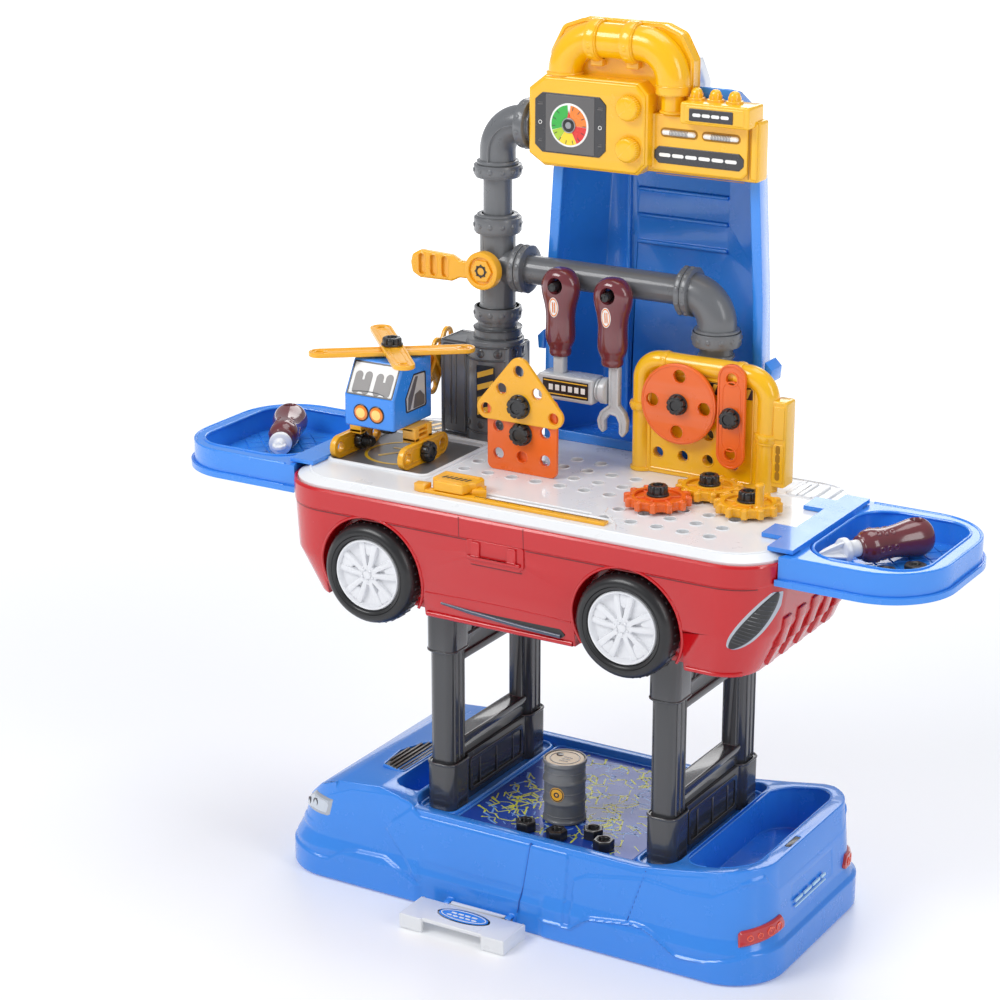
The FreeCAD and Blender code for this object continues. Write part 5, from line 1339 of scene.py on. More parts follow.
# fluted knobs
for nm, kz, body in (("upper", 665.0, "upper_knob"), ("lower", 631.0, "lower_knob")):
    g = G()
    N = 34
    prof = [(8.6, 67.4, 0), (9.6, 67.3, 0.0), (10.4, 66.6, 0.7), (10.5, 65.0, 1), (10.3, 62.6, 1), (9.9, 61.4, 0.8), (9.2, 60.4, 0.3), (8.2, 59.9, 0), (5.0, 59.85, 0)]
    nn = N * 6
    vs, fs = [], []
    for r, t, f in prof:
        for k in range(nn):
            a = 2 * math.pi * k / nn
            rr = r + 0.34 * f * math.cos(N * a)
            vs.append((11 + rr * math.cos(a), t, kz + rr * math.sin(a)))
    for i in range(len(prof) - 1):
        for k in range(nn):
            fs.append((i * nn + k, i * nn + (k + 1) % nn, (i + 1) * nn + (k + 1) % nn, (i + 1) * nn + k))
    vs += [(11, 67.4, kz), (11, 59.8, kz)]
    m0 = len(vs) - 2
    L = (len(prof) - 1) * nn
    for k in range(nn):
        fs.append((m0, (k + 1) % nn, k))
        fs.append((m0 + 1, L + k, L + (k + 1) % nn))
    g.add(vs, fs)
    g.lathe([(3.0, 67.2), (3.0, 80.5), (0, 80.5)], "y", (11, kz), n=24)
    g.out("fluted_knob_" + nm, YELLOW, body, deg=50, replaces=("knob_" + nm,), slot="yellow_plastic")
g = G()
for kz in (665.0, 631.0):
    g.lathe([(12.0, 68.2), (12.0, 67.75), (11.6, 67.6), (8.0, 67.6)], "y", (11, kz), n=56)
g.out("knob_collars", YELLOW, "bench")

# ---------------------------------------------------------------------------
# play plumbing: CAD runs plus bands, lips and rivets
# ---------------------------------------------------------------------------
for nme in ("pipe_column", "pipe_crossbar", "pipe_base"):
    edge_round(NODES[nme], 0.0006, 3)
CX = (-124.0, PY)
g = G()
for z0, z1 in ((594.0, 603.0), (545.0, 557.5), (468.5, 479.0)):
    band_z(g, CX, z0, z1, 15, 20.6, e=0.8)
    band_z(g, CX, z0 - 1.4, z0 + 1.0, 15, 19.4, e=0.5)
    rivets(g, "z", CX, (z0 + z1) / 2, 20.5, 12, ph=0.2)
band_z(g, CX, 603, 606.5, 14, 18.0)
band_z(g, CX, 557.5, 560.2, 14, 18.0)
band_z(g, CX, 463.0, 468.5, 14, 17.6)
for x0, x1 in ((-103.6, -97.8), (-97.2, -91.6)):
    band_x(g, (PY, 514.5), x0, x1, 14, 20.6, e=0.7)
rivets(g, "x", (PY, 514.5), -100.6, 20.5, 10, ph=0.35)
rivets(g, "x", (PY, 514.5), -94.4, 20.5, 10, ph=0.35)
band_x(g, (PY, 640.0), -98.0, -90.0, 14, 20.9, e=0.8)
rivets(g, "x", (PY, 640.0), -94.0, 20.7, 10, ph=0.2)
for x0, x1 in ((55.6, 60.6), (60.9, 66.4)):
    band_x(g, (PY, 514.5), x0, x1, 14, 20.6, e=0.7)
rivets(g, "x", (PY, 514.5), 58.0, 20.5, 10, ph=0.35)
rivets(g, "x", (PY, 514.5), 63.6, 20.5, 10, ph=0.35)
DX = (87.0, PY)
band_z(g, DX, 473.0, 484.0, 14, 20.6, e=0.8) 
band_z(g, DX, 471.8, 474.0, 14, 19.6, e=0.5)
band_z(g, DX, 484.0, 486.4, 14, 19.2, e=0.5)
rivets(g, "z", DX, 478.5, 20.5, 12, ph=0.1)
band_z(g, DX, 461.8, 465.0, 12, 15.4)
# moulded seam of the elbows
g.tube([(x, y - 17.2, z) for x, y, z in pipe_path([(-124, PY, 604), (-124, PY, 640), (-102, PY, 640)], 26, k=14)], 0.55, n=6)
g.out("pipe_bands", PIPE, "bench", deg=34)

g = G()
BX0, BX1 = -170.0, -101.0
for x in np.arange(-160, -150, 5.0):
    g.tube([(x, 64.1, 372), (x, 64.1, 440)], 0.9, n=8)
g.tube([(x, 64.2, z) for x, z in rrect(-167.6, -145, 365, 444, 2.5)], 1.0, n=8, closed=True)
g.tube([(x, y, 446.8) for x, y in rrect(-169.6, -101.4, 64.6, 99.1, 2.0)], 1.0, n=8, closed=True)
g.tube([(x, y, 363.2) for x, y in rrect(-169.6, -101.4, 64.6, 99.1, 2.0)], 1.2, n=8, closed=True)
for z, r in ((371, 25.1), (436, 25.1), (447.5, 25.1), (452.6, 20.6), (460.2, 20.6), (467, 16.8)):
    g.ring("z", (CX[0], CX[1] - (4 if z < 450 else 0)), z, r, 0.95, n=56, m=8)
rivets(g, "z", (CX[0], CX[1] - 4), 442.0, 24.9, 10, r=3.4, h=0.8, ph=0.3)
rivets(g, "z", (CX[0], CX[1] - 4), 378.0, 24.9, 10, r=3.0, h=0.8, ph=0.3)
g.out("pipe_base_ribs", DARK, "bench")

# hazard label on the base block
g, g2 = G(), G()
g.plate(rrect(-128, -110, 384, 432, 1.5), "xz", 55.05, 54.3, r=0.2)
for k in range(4):
    z = 387 + 11 * k
    g2.plate([(-127, z), (-127, z + 5), (-111, z + 11), (-111, z + 6)], "xz", 54.5, 54.05, r=0.1, seg=1)
g.out("base_label", BLACK, "bench")
g2.out("base_label_bars", YELLOW, "bench")

# valve lever
g = G()
hx, hz = -124.0, 514.5
g.lathe([(0, 63.8), (16.0, 63.8), (16.5, 63.2), (16.5, 56.4), (15.9, 55.4), (14.6, 55.0), (12.6, 55.0), (12.0, 55.5), (11.7, 57.4), (0, 57.4)], "y", (hx, hz), n=64)
hexo = [(hx + 10.4 * math.cos(math.radians(60 * k)), hz + 10.4 * math.sin(math.radians(60 * k))) for k in range(6)]
g.plate(round_poly(hexo, 1.0), "xz", 57.8, 55.4, r=0.7, seg=3)
pad = round_poly([(hx - 12, hz + 6.4), (hx - 22, hz + 6.4), (hx - 30, hz + 10.6), (hx - 62, hz + 11.6), (hx - 70, hz + 7), (hx - 71.8, hz),
                  (hx - 70, hz - 9), (hx - 62, hz - 13), (hx - 30, hz - 12.4), (hx - 22, hz - 8.4), (hx - 12, hz - 8.4)], 4.5, k=6)
recs = [slot_outline((hx - a, hz - 6.6), (hx - a, hz + 5.4), 3.3) for a in (37.0, 48.6, 60.2)]
g.plate(pad, "xz", 62.4, 56.2, r=1.5, seg=4, holes=recs)
g.plate([(p[0], p[1]) for p in round_poly([(hx - 30, hz + 8.5), (hx - 66, hz + 8.5), (hx - 66, hz - 10), (hx - 30, hz - 10)], 3)], "xz", 61.8, 59.0, r=0.3)
for a in (37.0, 48.6, 60.2):
    g.tube([(x, 56.6, z) for x, z in slot_outline((hx - a, hz - 6.6), (hx - a, hz + 5.4), 3.9)], 0.85, n=8, closed=True)
g.lathe([(4.0, 63), (4.0, 75), (0, 75)], "y", (hx, hz), n=24)
g.out("valve_lever", KITY, "valve", replaces=("valve_handle",), slot="kit_yellow")
g = G()
g.ring("y", (hx, hz), 55.3, 4.2, 0.9, n=36, m=8)
for k in range(8):
    t = math.radians(45 * k)
    M = Matrix.Translation((hx, 0, hz)) @ Matrix.Rotation(-t, 4, "Y")
    g.box(4.4, 5.9, 54.9, 55.6, -0.8, 0.8, r=0.2, seg=1, M=M)
g.out("valve_badge_ring", BLACK, "valve")

# ---------------------------------------------------------------------------
# pegboard
# ---------------------------------------------------------------------------
g = G()
bx = (29.0, 141.0)
prof = round_poly([(33, 361.6), (139, 361.6), (139, 447), (134, 452), (40, 452), (33, 446)], 2.0)
hol = [circ(x, 380, 4.6, 28) for x in (48.0, 71.2, 94.4, 117.6)] + [circ(94.4, 402, 4.6, 28), circ(117.6, 402, 4.6, 28)]
hol += [circ(70, 427, 4.0, 20)]
g.plate(prof, "xz", 58.0, 66.0, r=0.9, seg=3, holes=hol)
for q in ((48, 380), (71.2, 380), (94.4, 380), (117.6, 380), (94.4, 402), (117.6, 402)):
    g.ring("y", q, 58.0, 5.3, 0.55, n=28, m=8)
# left pipe edge, top pipe and right pipe with bands
lp = pipe_path([(30.4, 63, 361.6), (30.4, 63, 458.0), (121, 63, 458.0)], 17, k=14)
g.tube(lp, 8.6, n=32)
rp_ = pipe_path([(110, 63, 456.6), (146, 63, 456.6), (146, 63, 361.6)], 19, k=14)
g.tube(rp_, 9.3, n=32)
band_z(g, (30.4, 63), 415.5, 421.5, 8, 11.0, e=0.7)
band_z(g, (30.4, 63), 413.8, 415.6, 8, 9.9, e=0.5)
rivets(g, "z", (30.4, 63), 418.5, 10.9, 8, r=1.3, h=0.5, ph=0.4)
band_z(g, (30.4, 63), 361.6, 365.0, 8, 10.2)
band_x(g, (63, 458.0), 49.4, 55.0, 8, 9.2, e=0.5)
rivets(g, "x", (63, 458.0), 52.2, 9.0, 8, r=1.2, h=0.3, ph=0.4)
band_x(g, (63, 456.6), 117.6, 123.6, 8, 10.6, e=0.7)
rivets(g, "x", (63, 456.6), 120.6, 10.3, 8, r=1.2, h=0.3, ph=0.4)
band_z(g, (146, 63), 404.0, 411.0, 8, 10.9, e=0.7)
band_z(g, (146, 63), 401.6, 404.2, 8, 10.2, e=0.5)
rivets(g, "z", (146, 63), 407.5, 10.8, 8, r=1.3, h=0.2, ph=0.4)
# raised field edge
g.tube([(x, 57.9, z) for x, z in round_poly([(40, 366), (134.6, 366), (134.6, 446), (131, 449), (44, 449), (40, 445)], 2.5)], 0.8, n=8, closed=True)
# side box with a pressed face
g.plate(rrect(151, 165, 367, 440, 2.4), "xz", 57.0, 74.0, r=1.2, seg=3)
g.plate(rrect(153.6, 163.2, 371, 404, 1.6), "xz", 57.6, 56.2, r=0.6, seg=3)
g.plate(rrect(153.6, 163.2, 408, 436, 1.6), "xz", 57.6, 56.2, r=0.6, seg=3)
g.out("peg_panel", YELLOW, "bench", deg=34, replaces=("pegboard",), slot="yellow_plastic")
g, g2 = G(), G()
for k in range(4):
    z = 375.5 + 7.4 * k
    g.plate(slot_outline((158.4, z), (158.4, z + 3.6), 2.0), "xz", 56.3, 55.95, r=0.08, seg=1)
g.out("peg_panel_bars", YEL_SEAM_AND_SHADE, "bench")
g.__init__()
g.plate(rrect(94, 134, 437.5, 447.5, 1.0), "xz", 58.1, 57.4, r=0.15, seg=1)
for k in range(5):
    x = 95.5 + 7.6 * k
    g2.plate([(x, 438.6), (x + 3.6, 438.6), (x + 6.6, 446.4), (x + 3.0, 446.4)], "xz", 57.5, 57.1, r=0.08, seg=1)
g.out("peg_hazard_band", BLACK, "bench")
g2.out("peg_hazard_bars", YELLOW, "bench")

# ---------------------------------------------------------------------------
# kit links, helicopter, hanging tools
# ---------------------------------------------------------------------------
GLASSY = moulded("cab_print_silver", srgb(196, 196, 194), rough=0.22, coat=0.6, edge_highlight=0.0)
SEATS = moulded("cab_print_seats", srgb(96, 92, 90), rough=0.35, coat=0.4, edge_highlight=0.0)
OUTL = moulded("print_outline", srgb(24, 28, 36), rough=0.35, coat=0.4, edge_highlight=0.0)
LAMPY = moulded("lamp_yellow", srgb(255, 214, 110), rough=0.2, coat=0.8, edge_highlight=0.0)
LAMPO = moulded("lamp_orange", srgb(240, 132, 24), rough=0.2, coat=0.8, edge_highlight=0.0)


def link(g, plane, p, q, r, t0, t1, holes, hr, rim=2.0, rib=True):
    """kit bar: raised rim, sunken web, bosses round the holes"""
    lo, hi = min(t0, t1), max(t0, t1)
    g.plate(slot_outline(p, q, r, 16), plane, lo, hi, r=0.55, seg=3, holes=[slot_outline(p, q, r - rim, 16)])
    hs = [circ(u, v, hr, 26) for u, v in holes]
    g.plate(slot_outline(p, q, r - rim + 0.5, 14), plane, lo + 0.75, hi - 0.75, r=0.1, seg=1, holes=hs)
    for u, v in holes:
        g.plate(circ(u, v, hr + 1.5, 30), plane, lo + 0.1, hi - 0.1, r=0.4, seg=2, holes=[circ(u, v, hr, 30)])
    L = math.hypot(q[0] - p[0], q[1] - p[1])
    d = ((q[0] - p[0]) / L, (q[1] - p[1]) / L)
    if rib and len(holes) > 1:
        hs2 = sorted((((h[0] - p[0]) * d[0] + (h[1] - p[1]) * d[1]) for h in holes))
        for a, b in zip(hs2, hs2[1:]):
            if b - a > 2 * hr + 12:
                u0, u1 = a + hr + 5.5, b - hr - 5.5
                P = (p[0] + d[0] * u0, p[1] + d[1] * u0)
                Q = (p[0] + d[0] * u1, p[1] + d[1] * u1)
                rr = r - rim - 2.0
                if rr > 1.6:
                    g.plate(slot_outline(P, Q, rr), plane, lo + 0.3, hi - 0.3, r=0.3, seg=2, holes=[slot_outline(P, Q, rr - 1.1)])


def crown_bolt(g, axis, c, t0, t1, R, n=8):
    """lobed bolt head; t1 is the outer face"""
    s = 1 if t1 > t0 else -1
    h = abs(t1 - t0)
    m = n * 12
    prof = [(0.92, 0.0, 0.2), (1.0, 0.06, 1), (1.0, 0.72, 1), (0.96, 0.88, 1), (0.88, 0.97, 0.9), (0.78, 1.0, 0.6), (0.55, 1.0, 0.0), (0.5, 0.8, 0), (0.0, 0.8, 0)]
    vs, fs = [], []
    for rr, t, f in prof[:-1]:
        for k in range(m):
            a = 2 * math.pi * k / m
            cut = 1 - 0.15 * f * max(0.0, math.cos(n * a)) ** 3
            u, v, w = R * rr * cut * math.cos(a), R * rr * cut * math.sin(a), t0 + s * h * t
            vs.append({"x": (w, c[0] + u, c[1] + v), "y": (c[0] + u, w, c[1] + v), "z": (c[0] + u, c[1] + v, w)}[axis])
    L = len(prof) - 2
    for i in range(L):
        for k in range(m):
            fs.append((i * m + k, i * m + (k + 1) % m, (i + 1) * m + (k + 1) % m, (i + 1) * m + k))
    for w, row, fl in ((t0 + s * h * 0.8, L * m, 0), (t0, 0, 1)):
        vs.append({"x": (w, c[0], c[1]), "y": (c[0], w, c[1]), "z": (c[0], c[1], w)}[axis])
        i0 = len(vs) - 1
        for k in range(m):
            a, b = row + k, row + (k + 1) % m
            fs.append((i0, a, b) if fl else (i0, b, a))
    g.add(vs, fs)


HX, HY = -175.0, -6.0
# cabin
g = G()
cabp = round_poly([(-43, 392.2), (-43, 419.5), (-27, 447.5), (17, 447.5), (17, 392.2)], 2.4, k=6)
g.plate(cabp, "yz", -200, -150, r=1.9, seg=4)
g.out("cabin_body", BLUE, "helicopter", replaces=("heli_cabin",), slot="blue_plastic", deg=34)
TH = math.atan2(16, 28)
MW = Matrix.Translation((0, -43, 419.5)) @ Matrix.Rotation(-TH, 4, "X")
gb, gs, gk = G(), G(), G()
win = round_poly([(-198.0, 0.6), (-152.0, 0.6), (-152.0, 30.6), (-198.0, 30.6)], 1.2)
wi = round_poly([(-196.7, 2.0), (-153.3, 2.0), (-153.3, 29.2), (-196.7, 29.2)], 0.8)
gb.plate(win, "xz", 0.4, -0.45, r=0.25, seg=2, M=MW, holes=[wi])
gs.plate(wi, "xz", 0.4, -0.12, r=0.05, seg=1, M=MW)
for sx in (-194.8, -173.8):
    for k in (0, 1):
        cx = sx + 4.9 + 9.6 * k
        gk.plate(slot_outline((cx, 5.5), (cx, 18.2 + 0.5 * k), 3.7), "xz", -0.1, -0.3, r=0.05, seg=1, M=MW)
    gk.plate(round_poly([(sx + 1.2, 3.6), (sx + 18.2, 3.6), (sx + 16.4, 11.0), (sx + 14, 14.6), (sx + 5.5, 14.6), (sx + 3, 11)], 2.0), "xz", -0.1, -0.36, r=0.05, seg=1, M=MW)
gb.tube([(x, -0.4, z) if False else tuple(MW @ Vector((x, -0.42, z))) for x, z in [(-193, 3.2), (-184, 4.6), (-176, 4.8), (-168, 4.6), (-160, 3.0)]], 0.32, n=6)
# side windows
sw = [(-12, 436.2), (7, 435.2), (8, 404.2), (-24.2, 404.2), (-25.4, 417)]
so = round_poly(sw, 2.4)
cxm, czm = -9.0, 419.0
si = [(cxm + (p[0] - cxm) * 0.9, czm + (p[1] - czm) * 0.92) for p in so]
for x, s in ((-150.0, 1), (-200.0, -1)):
    gb.plate(so, "yz", x - 0.4 * s, x + 0.45 * s, r=0.25, seg=2, holes=[si])
    gs.plate(si, "yz", x - 0.4 * s, x + 0.12 * s, r=0.05, seg=1)
    gk.plate(round_poly([(-21, 406), (-17.5, 406), (-5, 433), (-9.5, 433.5), (-20.5, 417)], 0.8), "yz", x, x + 0.3 * s, r=0.05, seg=1)
    gk.plate(round_poly([(-13, 406), (5, 406), (5, 414), (-2, 420), (-10, 418)], 1.4), "yz", x, x + 0.3 * s, r=0.05, seg=1)
gb.out("cabin_window_frames", OUTL, "helicopter")
gs.out("cabin_window_fields", GLASSY, "helicopter")
gk.out("cabin_window_prints", SEATS, "helicopter")
gl, go, gb = G(), G(), G()
for x in (-182.9, -167.3):
    gb.lathe([(0, -42.6), (7.6, -42.6), (7.6, -43.4), (7.1, -43.7), (6.5, -43.4), (0, -43.3)], "y", (x, 405.2), n=48)
    go.lathe([(6.5, -43.2), (6.4, -43.7), (5.6, -44.1), (4.4, -44.3), (4.4, -43.2)], "y", (x, 405.2), n=48)
    gl.lathe([(4.45, -43.2), (4.4, -44.3), (3.0, -44.55), (0, -44.7)], "y", (x, 405.2), n=40)
gb.out("cabin_lamp_rings", OUTL, "helicopter")
go.out("cabin_lamp_outer", LAMPO, "helicopter")
gl.out("cabin_lamp_inner", LAMPY, "helicopter")

# skids and brackets
g = G()
for x0, x1 in ((-211.5, -206.0), (-143.0, -137.5)):
    link(g, "yz", (-40, 370.3), (14, 370.3), 9.8, x0, x1, [(-40, 370.3), (-13, 370.3), (14, 370.3)], 4.6)
for x0, x1 in ((-208, -196), (-154, -141)):
    for y0 in (-24, -4):
        g.box(x0, x1, y0, y0 + 7, 378.6, 391.5, r=0.9, seg=3)
    g.box(x0, x1, -24, 3, 379.5, 383, r=0.9, seg=3)
    for z in (385.6,):
        g.box(x0 + 0.5, x1 - 0.5, -18, -3, z, z + 1.6, r=0.6, seg=2)
g.box(-206, -143, -24, 3, 388.5, 391.95, r=0.8, seg=3)
g.out("skid_links", KITY, "helicopter", replaces=("heli_skids",), slot="kit_yellow", deg=34)
g = G()
crown_bolt(g, "x", (-13, 370.3), -137.6, -130.8, 9.0)
crown_bolt(g, "x", (-13, 370.3), -206.0, -199.4, 8.0)
g.lathe([(4.0, -143.5), (4.0, -137)], "x", (-13, 370.3), n=20)
for k in range(5):
    g.ring("x", (-13, 370.3), -199.0 + 1.5 * k, 4.2, 0.8, n=24, m=8)
    g.ring("x", (-13, 370.3), -150.0 + 1.5 * k, 4.2, 0.8, n=24, m=8)
g.lathe([(0, -199.6), (4.2, -199.6), (4.2, -191.4), (3.4, -190.6), (0, -190.6)], "x", (-13, 370.3), n=24)
g.lathe([(0, -143.2), (4.2, -143.2), (4.2, -150.8), (3.4, -151.6), (0, -151.6)], "x", (-13, 370.3), n=24)
crown_bolt(g, "z", (HX, -13), 388.4, 381.4, 7.5)
crown_bolt(g, "x", (85, 421), -179.2, -173.2, 8.5)
g.lathe([(0, -179), (4.0, -179), (4.0, -192.5), (3.2, -193.6), (0, -193.6)], "x", (85, 421), n=24)
g.out("heli_crown_bolts", BLACK, "helicopter", replaces=("heli_bolts",), slot="black_plastic", deg=34)
# tail boom and rotor
g = G()
L0, L1 = (26, 421), (85, 421)
link(g, "yz", L0, L1, 9.0, -190.5, -186.5, [(26 + 59 * 0.35, 421), (26 + 59 * 0.68, 421), (85, 421)], 4.3)
g.box(-190.5, -160, 17.05, 21, 412, 430, r=0.9, seg=3)
g.box(-190.4, -186.6, 19, 27, 413, 429, r=0.8, seg=2)
g.out("tail_boom_link", KITY, "helicopter", replaces=("heli_tail_boom",), slot="kit_yellow", deg=34)
g = G()
link(g, "yz", (72, 401), (98, 441), 8.0, -186.2, -182.9, [(72, 401), (85, 421), (98, 441)], 4.2)
link(g, "yz", (94, 406), (76, 436), 8.0, -182.8, -179.5, [(94, 406), (85, 421), (76, 436)], 4.2)
g.out("tail_rotor_links", KITY, "tail_rotor", replaces=("heli_tail_rotor",), slot="kit_yellow", deg=34)
# main rotor
g = G()
for ang, z0 in ((37.5, 449.5), (-48.0, 453.3)):
    c, sn = math.cos(math.radians(ang)), math.sin(math.radians(ang))
    p, q = (HX - 61.6 * c, HY - 61.6 * sn), (HX + 61.6 * c, HY + 61.6 * sn)
    hs = [(HX + d * c, HY + d * sn) for d in (-61.6, -34, 34, 61.6)]
    link(g, "xy", p, q, 9.5, z0, z0 + 3.8, [hs[0], hs[3]], 3.2, rim=2.1, rib=False)
    for d0, d1 in ((-52.0, -14.0), (14.0, 52.0)):
        P, Q = (HX + d0 * c, HY + d0 * sn), (HX + d1 * c, HY + d1 * sn)
        g.plate(slot_outline(P, Q, 5.2), "xy", z0 + 0.2, z0 + 3.5, r=0.4, seg=2, holes=[slot_outline(P, Q, 3.7)])
        g.plate(slot_outline(((P[0] + Q[0]) / 2, (P[1] + Q[1]) / 2), Q, 1.6), "xy", z0 + 0.6, z0 + 3.3, r=0.4, seg=2)
    g.plate(circ(HX, HY, 7.4, 30), "xy", z0, z0 + 3.8, r=0.5)
g.out("main_rotor_blades", KITY, "main_rotor", replaces=("heli_main_rotor",), slot="kit_yellow", deg=34)
g = G()
crown_bolt(g, "z", (HX, HY), 457.1, 463.9, 8.3)
g.lathe([(0, 457.4), (9.4, 457.4), (9.4, 458.2), (8.8, 458.8), (0, 458.8)], "z", (HX, HY), n=40)
g.lathe([(3.7, 440), (3.7, 457.4)], "z", (HX, HY), n=24)
g.out("main_rotor_bolt", BLACK, "main_rotor")

# ---------------------------------------------------------------------------
# hanging tools
# ---------------------------------------------------------------------------
TPROF = [(0, 2.0, 2.0), (-0.7, 6.2, 5.4), (-2.6, 10.2, 8.4), (-5.5, 13.2, 10.4), (-9.5, 15.8, 11.2), (-14, 17.2, 11.5), (-19, 17.3, 11.5), (-25, 16.2, 11.3), (-31, 14.4, 10.9), (-37, 13.2, 10.5),
         (-44, 12.7, 10.3), (-52, 12.9, 10.5), (-58, 13.0, 10.6), (-63, 12.4, 10.2), (-66.5, 10.9, 9.2), (-69.0, 9.6, 8.4), (-70.2, 9.3, 8.1), (-71.4, 9.5, 8.3), (-75.0, 9.1, 8.0), (-76, 8.2, 7.2)]
TW = [(a, b) for a, b, c in TPROF]
TD = [(a, c) for a, b, c in TPROF]


def smooth(tbl, x):
    # cubic through the table
    t = sorted(tbl)
    for i in range(len(t) - 1):
        if t[i][0] <= x <= t[i + 1][0]:
            x0, x1 = t[i][0], t[i + 1][0]
            y0, y1 = t[i][1], t[i + 1][1]
            m0 = (y1 - t[i - 1][1]) / (x1 - t[i - 1][0]) if i else (y1 - y0) / (x1 - x0)
            m1 = (t[i + 2][1] - y0) / (t[i + 2][0] - x0) if i + 2 < len(t) else (y1 - y0) / (x1 - x0)
            h = x1 - x0
            u = (x - x0) / h
            return (2 * u**3 - 3 * u**2 + 1) * y0 + (u**3 - 2 * u**2 + u) * h * m0 + (-2 * u**3 + 3 * u**2) * y1 + (u**3 - u**2) * h * m1
    return t[0][1] if x < t[0][0] else t[-1][1]


def cutout(name, g_main, cutters):
    """mesh of g_main with the cutters taken away"""
    objs = []
    for i, gg in enumerate([g_main] + cutters):
        me = bpy.data.meshes.new(name + "_t%d" % i)
        me.from_pydata(gg.v, [], gg.f)
        bm = bmesh.new()
        bm.from_mesh(me)
        bmesh.ops.remove_doubles(bm, verts=bm.verts, dist=1e-4)
        bmesh.ops.recalc_face_normals(bm, faces=bm.faces)
        bm.to_mesh(me)
        bm.free()
        o = bpy.data.objects.new(name + "_t%d" % i, me)
        bpy.context.scene.collection.objects.link(o)
        objs.append(o)
    for c in objs[1:]:
        b = objs[0].modifiers.new("cut", "BOOLEAN")
        b.operation = "DIFFERENCE"
        b.solver = "EXACT"
        b.object = c
    dg = bpy.context.evaluated_depsgraph_get()
    me = bpy.data.meshes.new_from_object(objs[0].evaluated_get(dg))
    vs = [tuple(v.co) for v in me.vertices]
    fs = [tuple(p.vertices) for p in me.polygons]
    for o in objs:
        m_ = o.data
        bpy.data.objects.remove(o)
        bpy.data.meshes.remove(m_)
    bpy.data.meshes.remove(me)
    r = G()
    r.add(vs, fs)
    return r


def tool_handle(cx, ztop, hz, name, body, node):
    yc, n, e = 58.5, 96, 2.25
    g = G()
    rows = []
    zs = [0, -0.35, -0.9, -1.8, -3.0] + [-k for k in np.arange(4.2, 75.9, 1.3)] + [-76]
    for dz in zs:
        w, d = smooth(TW, dz), smooth(TD, dz)
        row = []
        for k in range(n):
            a = 2 * math.pi * k / n
            ca, sa = math.cos(a), math.sin(a)
            row.append((cx + w * math.copysign(abs(ca) ** (2 / e), ca), yc + d * math.copysign(abs(sa) ** (2 / e), sa), ztop + dz))
        rows.append(row)
    vs = [p for r in rows for p in r]
    fs = []
    for i in range(len(rows) - 1):
        for k in range(n):
            fs.append((i * n + k, i * n + (k + 1) % n, (i + 1) * n + (k + 1) % n, (i + 1) * n + k))
    fs.append(tuple(range(n))[::-1])
    fs.append(tuple((len(rows) - 1) * n + k for k in range(n)))
    g.add(vs, fs)
    c = G()
    c.lathe([(0, 40), (7.2, 40), (7.2, 47.6), (6.2, 48.9), (5.5, 50.6), (5.2, 53), (5.2, 64), (5.5, 66.4), (6.2, 68.1), (7.2, 69.4), (7.2, 77), (0, 77)], "y", (cx, hz), n=40)
    r = cutout(name, g, [c])
    r.out(name, MAROON, body, deg=40, replaces=(node,), slot="maroon_plastic")

    def surf(x, z):
        w, d = smooth(TW, z - ztop), smooth(TD, z - ztop)
        u = min(0.999, abs((x - cx) / w))
        return yc - d * (1 - u ** e) ** (1 / e)
    for nm, mat, a, b, lift, r0 in (("oval", GAUGE_W, 4.6, 8.6, 0.22, 0), ("oval_ring", LAMPO, 4.1, 8.0, 0.34, 0.86)):
        gg = G()
        M_, N_ = 40, 5
        lz = ztop - 32.5
        vs, fs = [], []
        for layer in (lift, -0.5):
            for j in range(N_ + 1):
                f = lerp(r0, 1, j / N_) if r0 else max(0.02, j / N_)
                for k in range(M_):
                    t = 2 * math.pi * k / M_
                    x, z = cx - 1.0 + a * f * math.cos(t), lz + b * f * math.sin(t)
                    vs.append((x, surf(x, z) - layer, z))
        o2 = (N_ + 1) * M_
        for j in range(N_):
            for k in range(M_):
                q = (j * M_ + k, j * M_ + (k + 1) % M_, (j + 1) * M_ + (k + 1) % M_, (j + 1) * M_ + k)
                fs.append(q)
                fs.append(tuple(o2 + i for i in q[::-1]))
        for k in range(M_):
            a_, b_ = N_ * M_ + k, N_ * M_ + (k + 1) % M_
            fs.append((a_, b_, o2 + b_, o2 + a_))
            fs.append((k, o2 + k, o2 + (k + 1) % M_, (k + 1) % M_))
        gg.add(vs, fs)
        if nm == "oval_ring":
            for dx in (-0.6, 1.3):
                pts = [(cx - 1.0 + dx, surf(cx - 1.0 + dx, z) - 0.35, z) for z in np.linspace(lz - 4.4, lz + 4.4, 12)]
                gg.tube(pts, 0.45, n=6)
        gg.out(name + "_" + nm, mat, body)


tool_handle(-47.0, 527.0, 513.0, "hammer_grip", "hammer", "hammer_handle")
tool_handle(3.0, 524.5, 510.5, "wrench_grip", "wrench", "wrench_handle")
g = G()
g.plate(rrect(-52, -42, 53.5, 63.5, 2.4), "xy", 434, 451.2, r=0.3)
g.plate(rrect(-63, -10, 414, 436, 2.2), "xz", 48.0, 69.0, r=1.9, seg=4)
g.lathe([(0, -12), (8.4, -12), (8.4, -9.6), (9.6, -9.0), (9.6, -7.6), (8.8, -7.0), (8.8, -5.4)], "x", (58.5, 426), n=48)
g.lathe([(8.8, -5.8), (10.4, -5.8), (11.3, -5.0), (11.3, -0.9), (10.6, -0.1), (9.0, 0.2), (0, 0.2)], "x", (58.5, 426), n=56)
g.lathe([(0, -68), (6.6, -68), (8.0, -66.8), (8.0, -62)], "x", (58.5, 425), n=40)
g.tube([(-40, 47.9, 433.6), (-13, 47.9, 433.6), (-13, 47.9, 416.6), (-40, 47.9, 416.6)], 0.4, n=6)
g.out("hammer_head_body", TOOLG, "hammer", deg=34, replaces=("hammer_head",), slot="tool_grey")
g, g2, g3 = G(), G(), G()
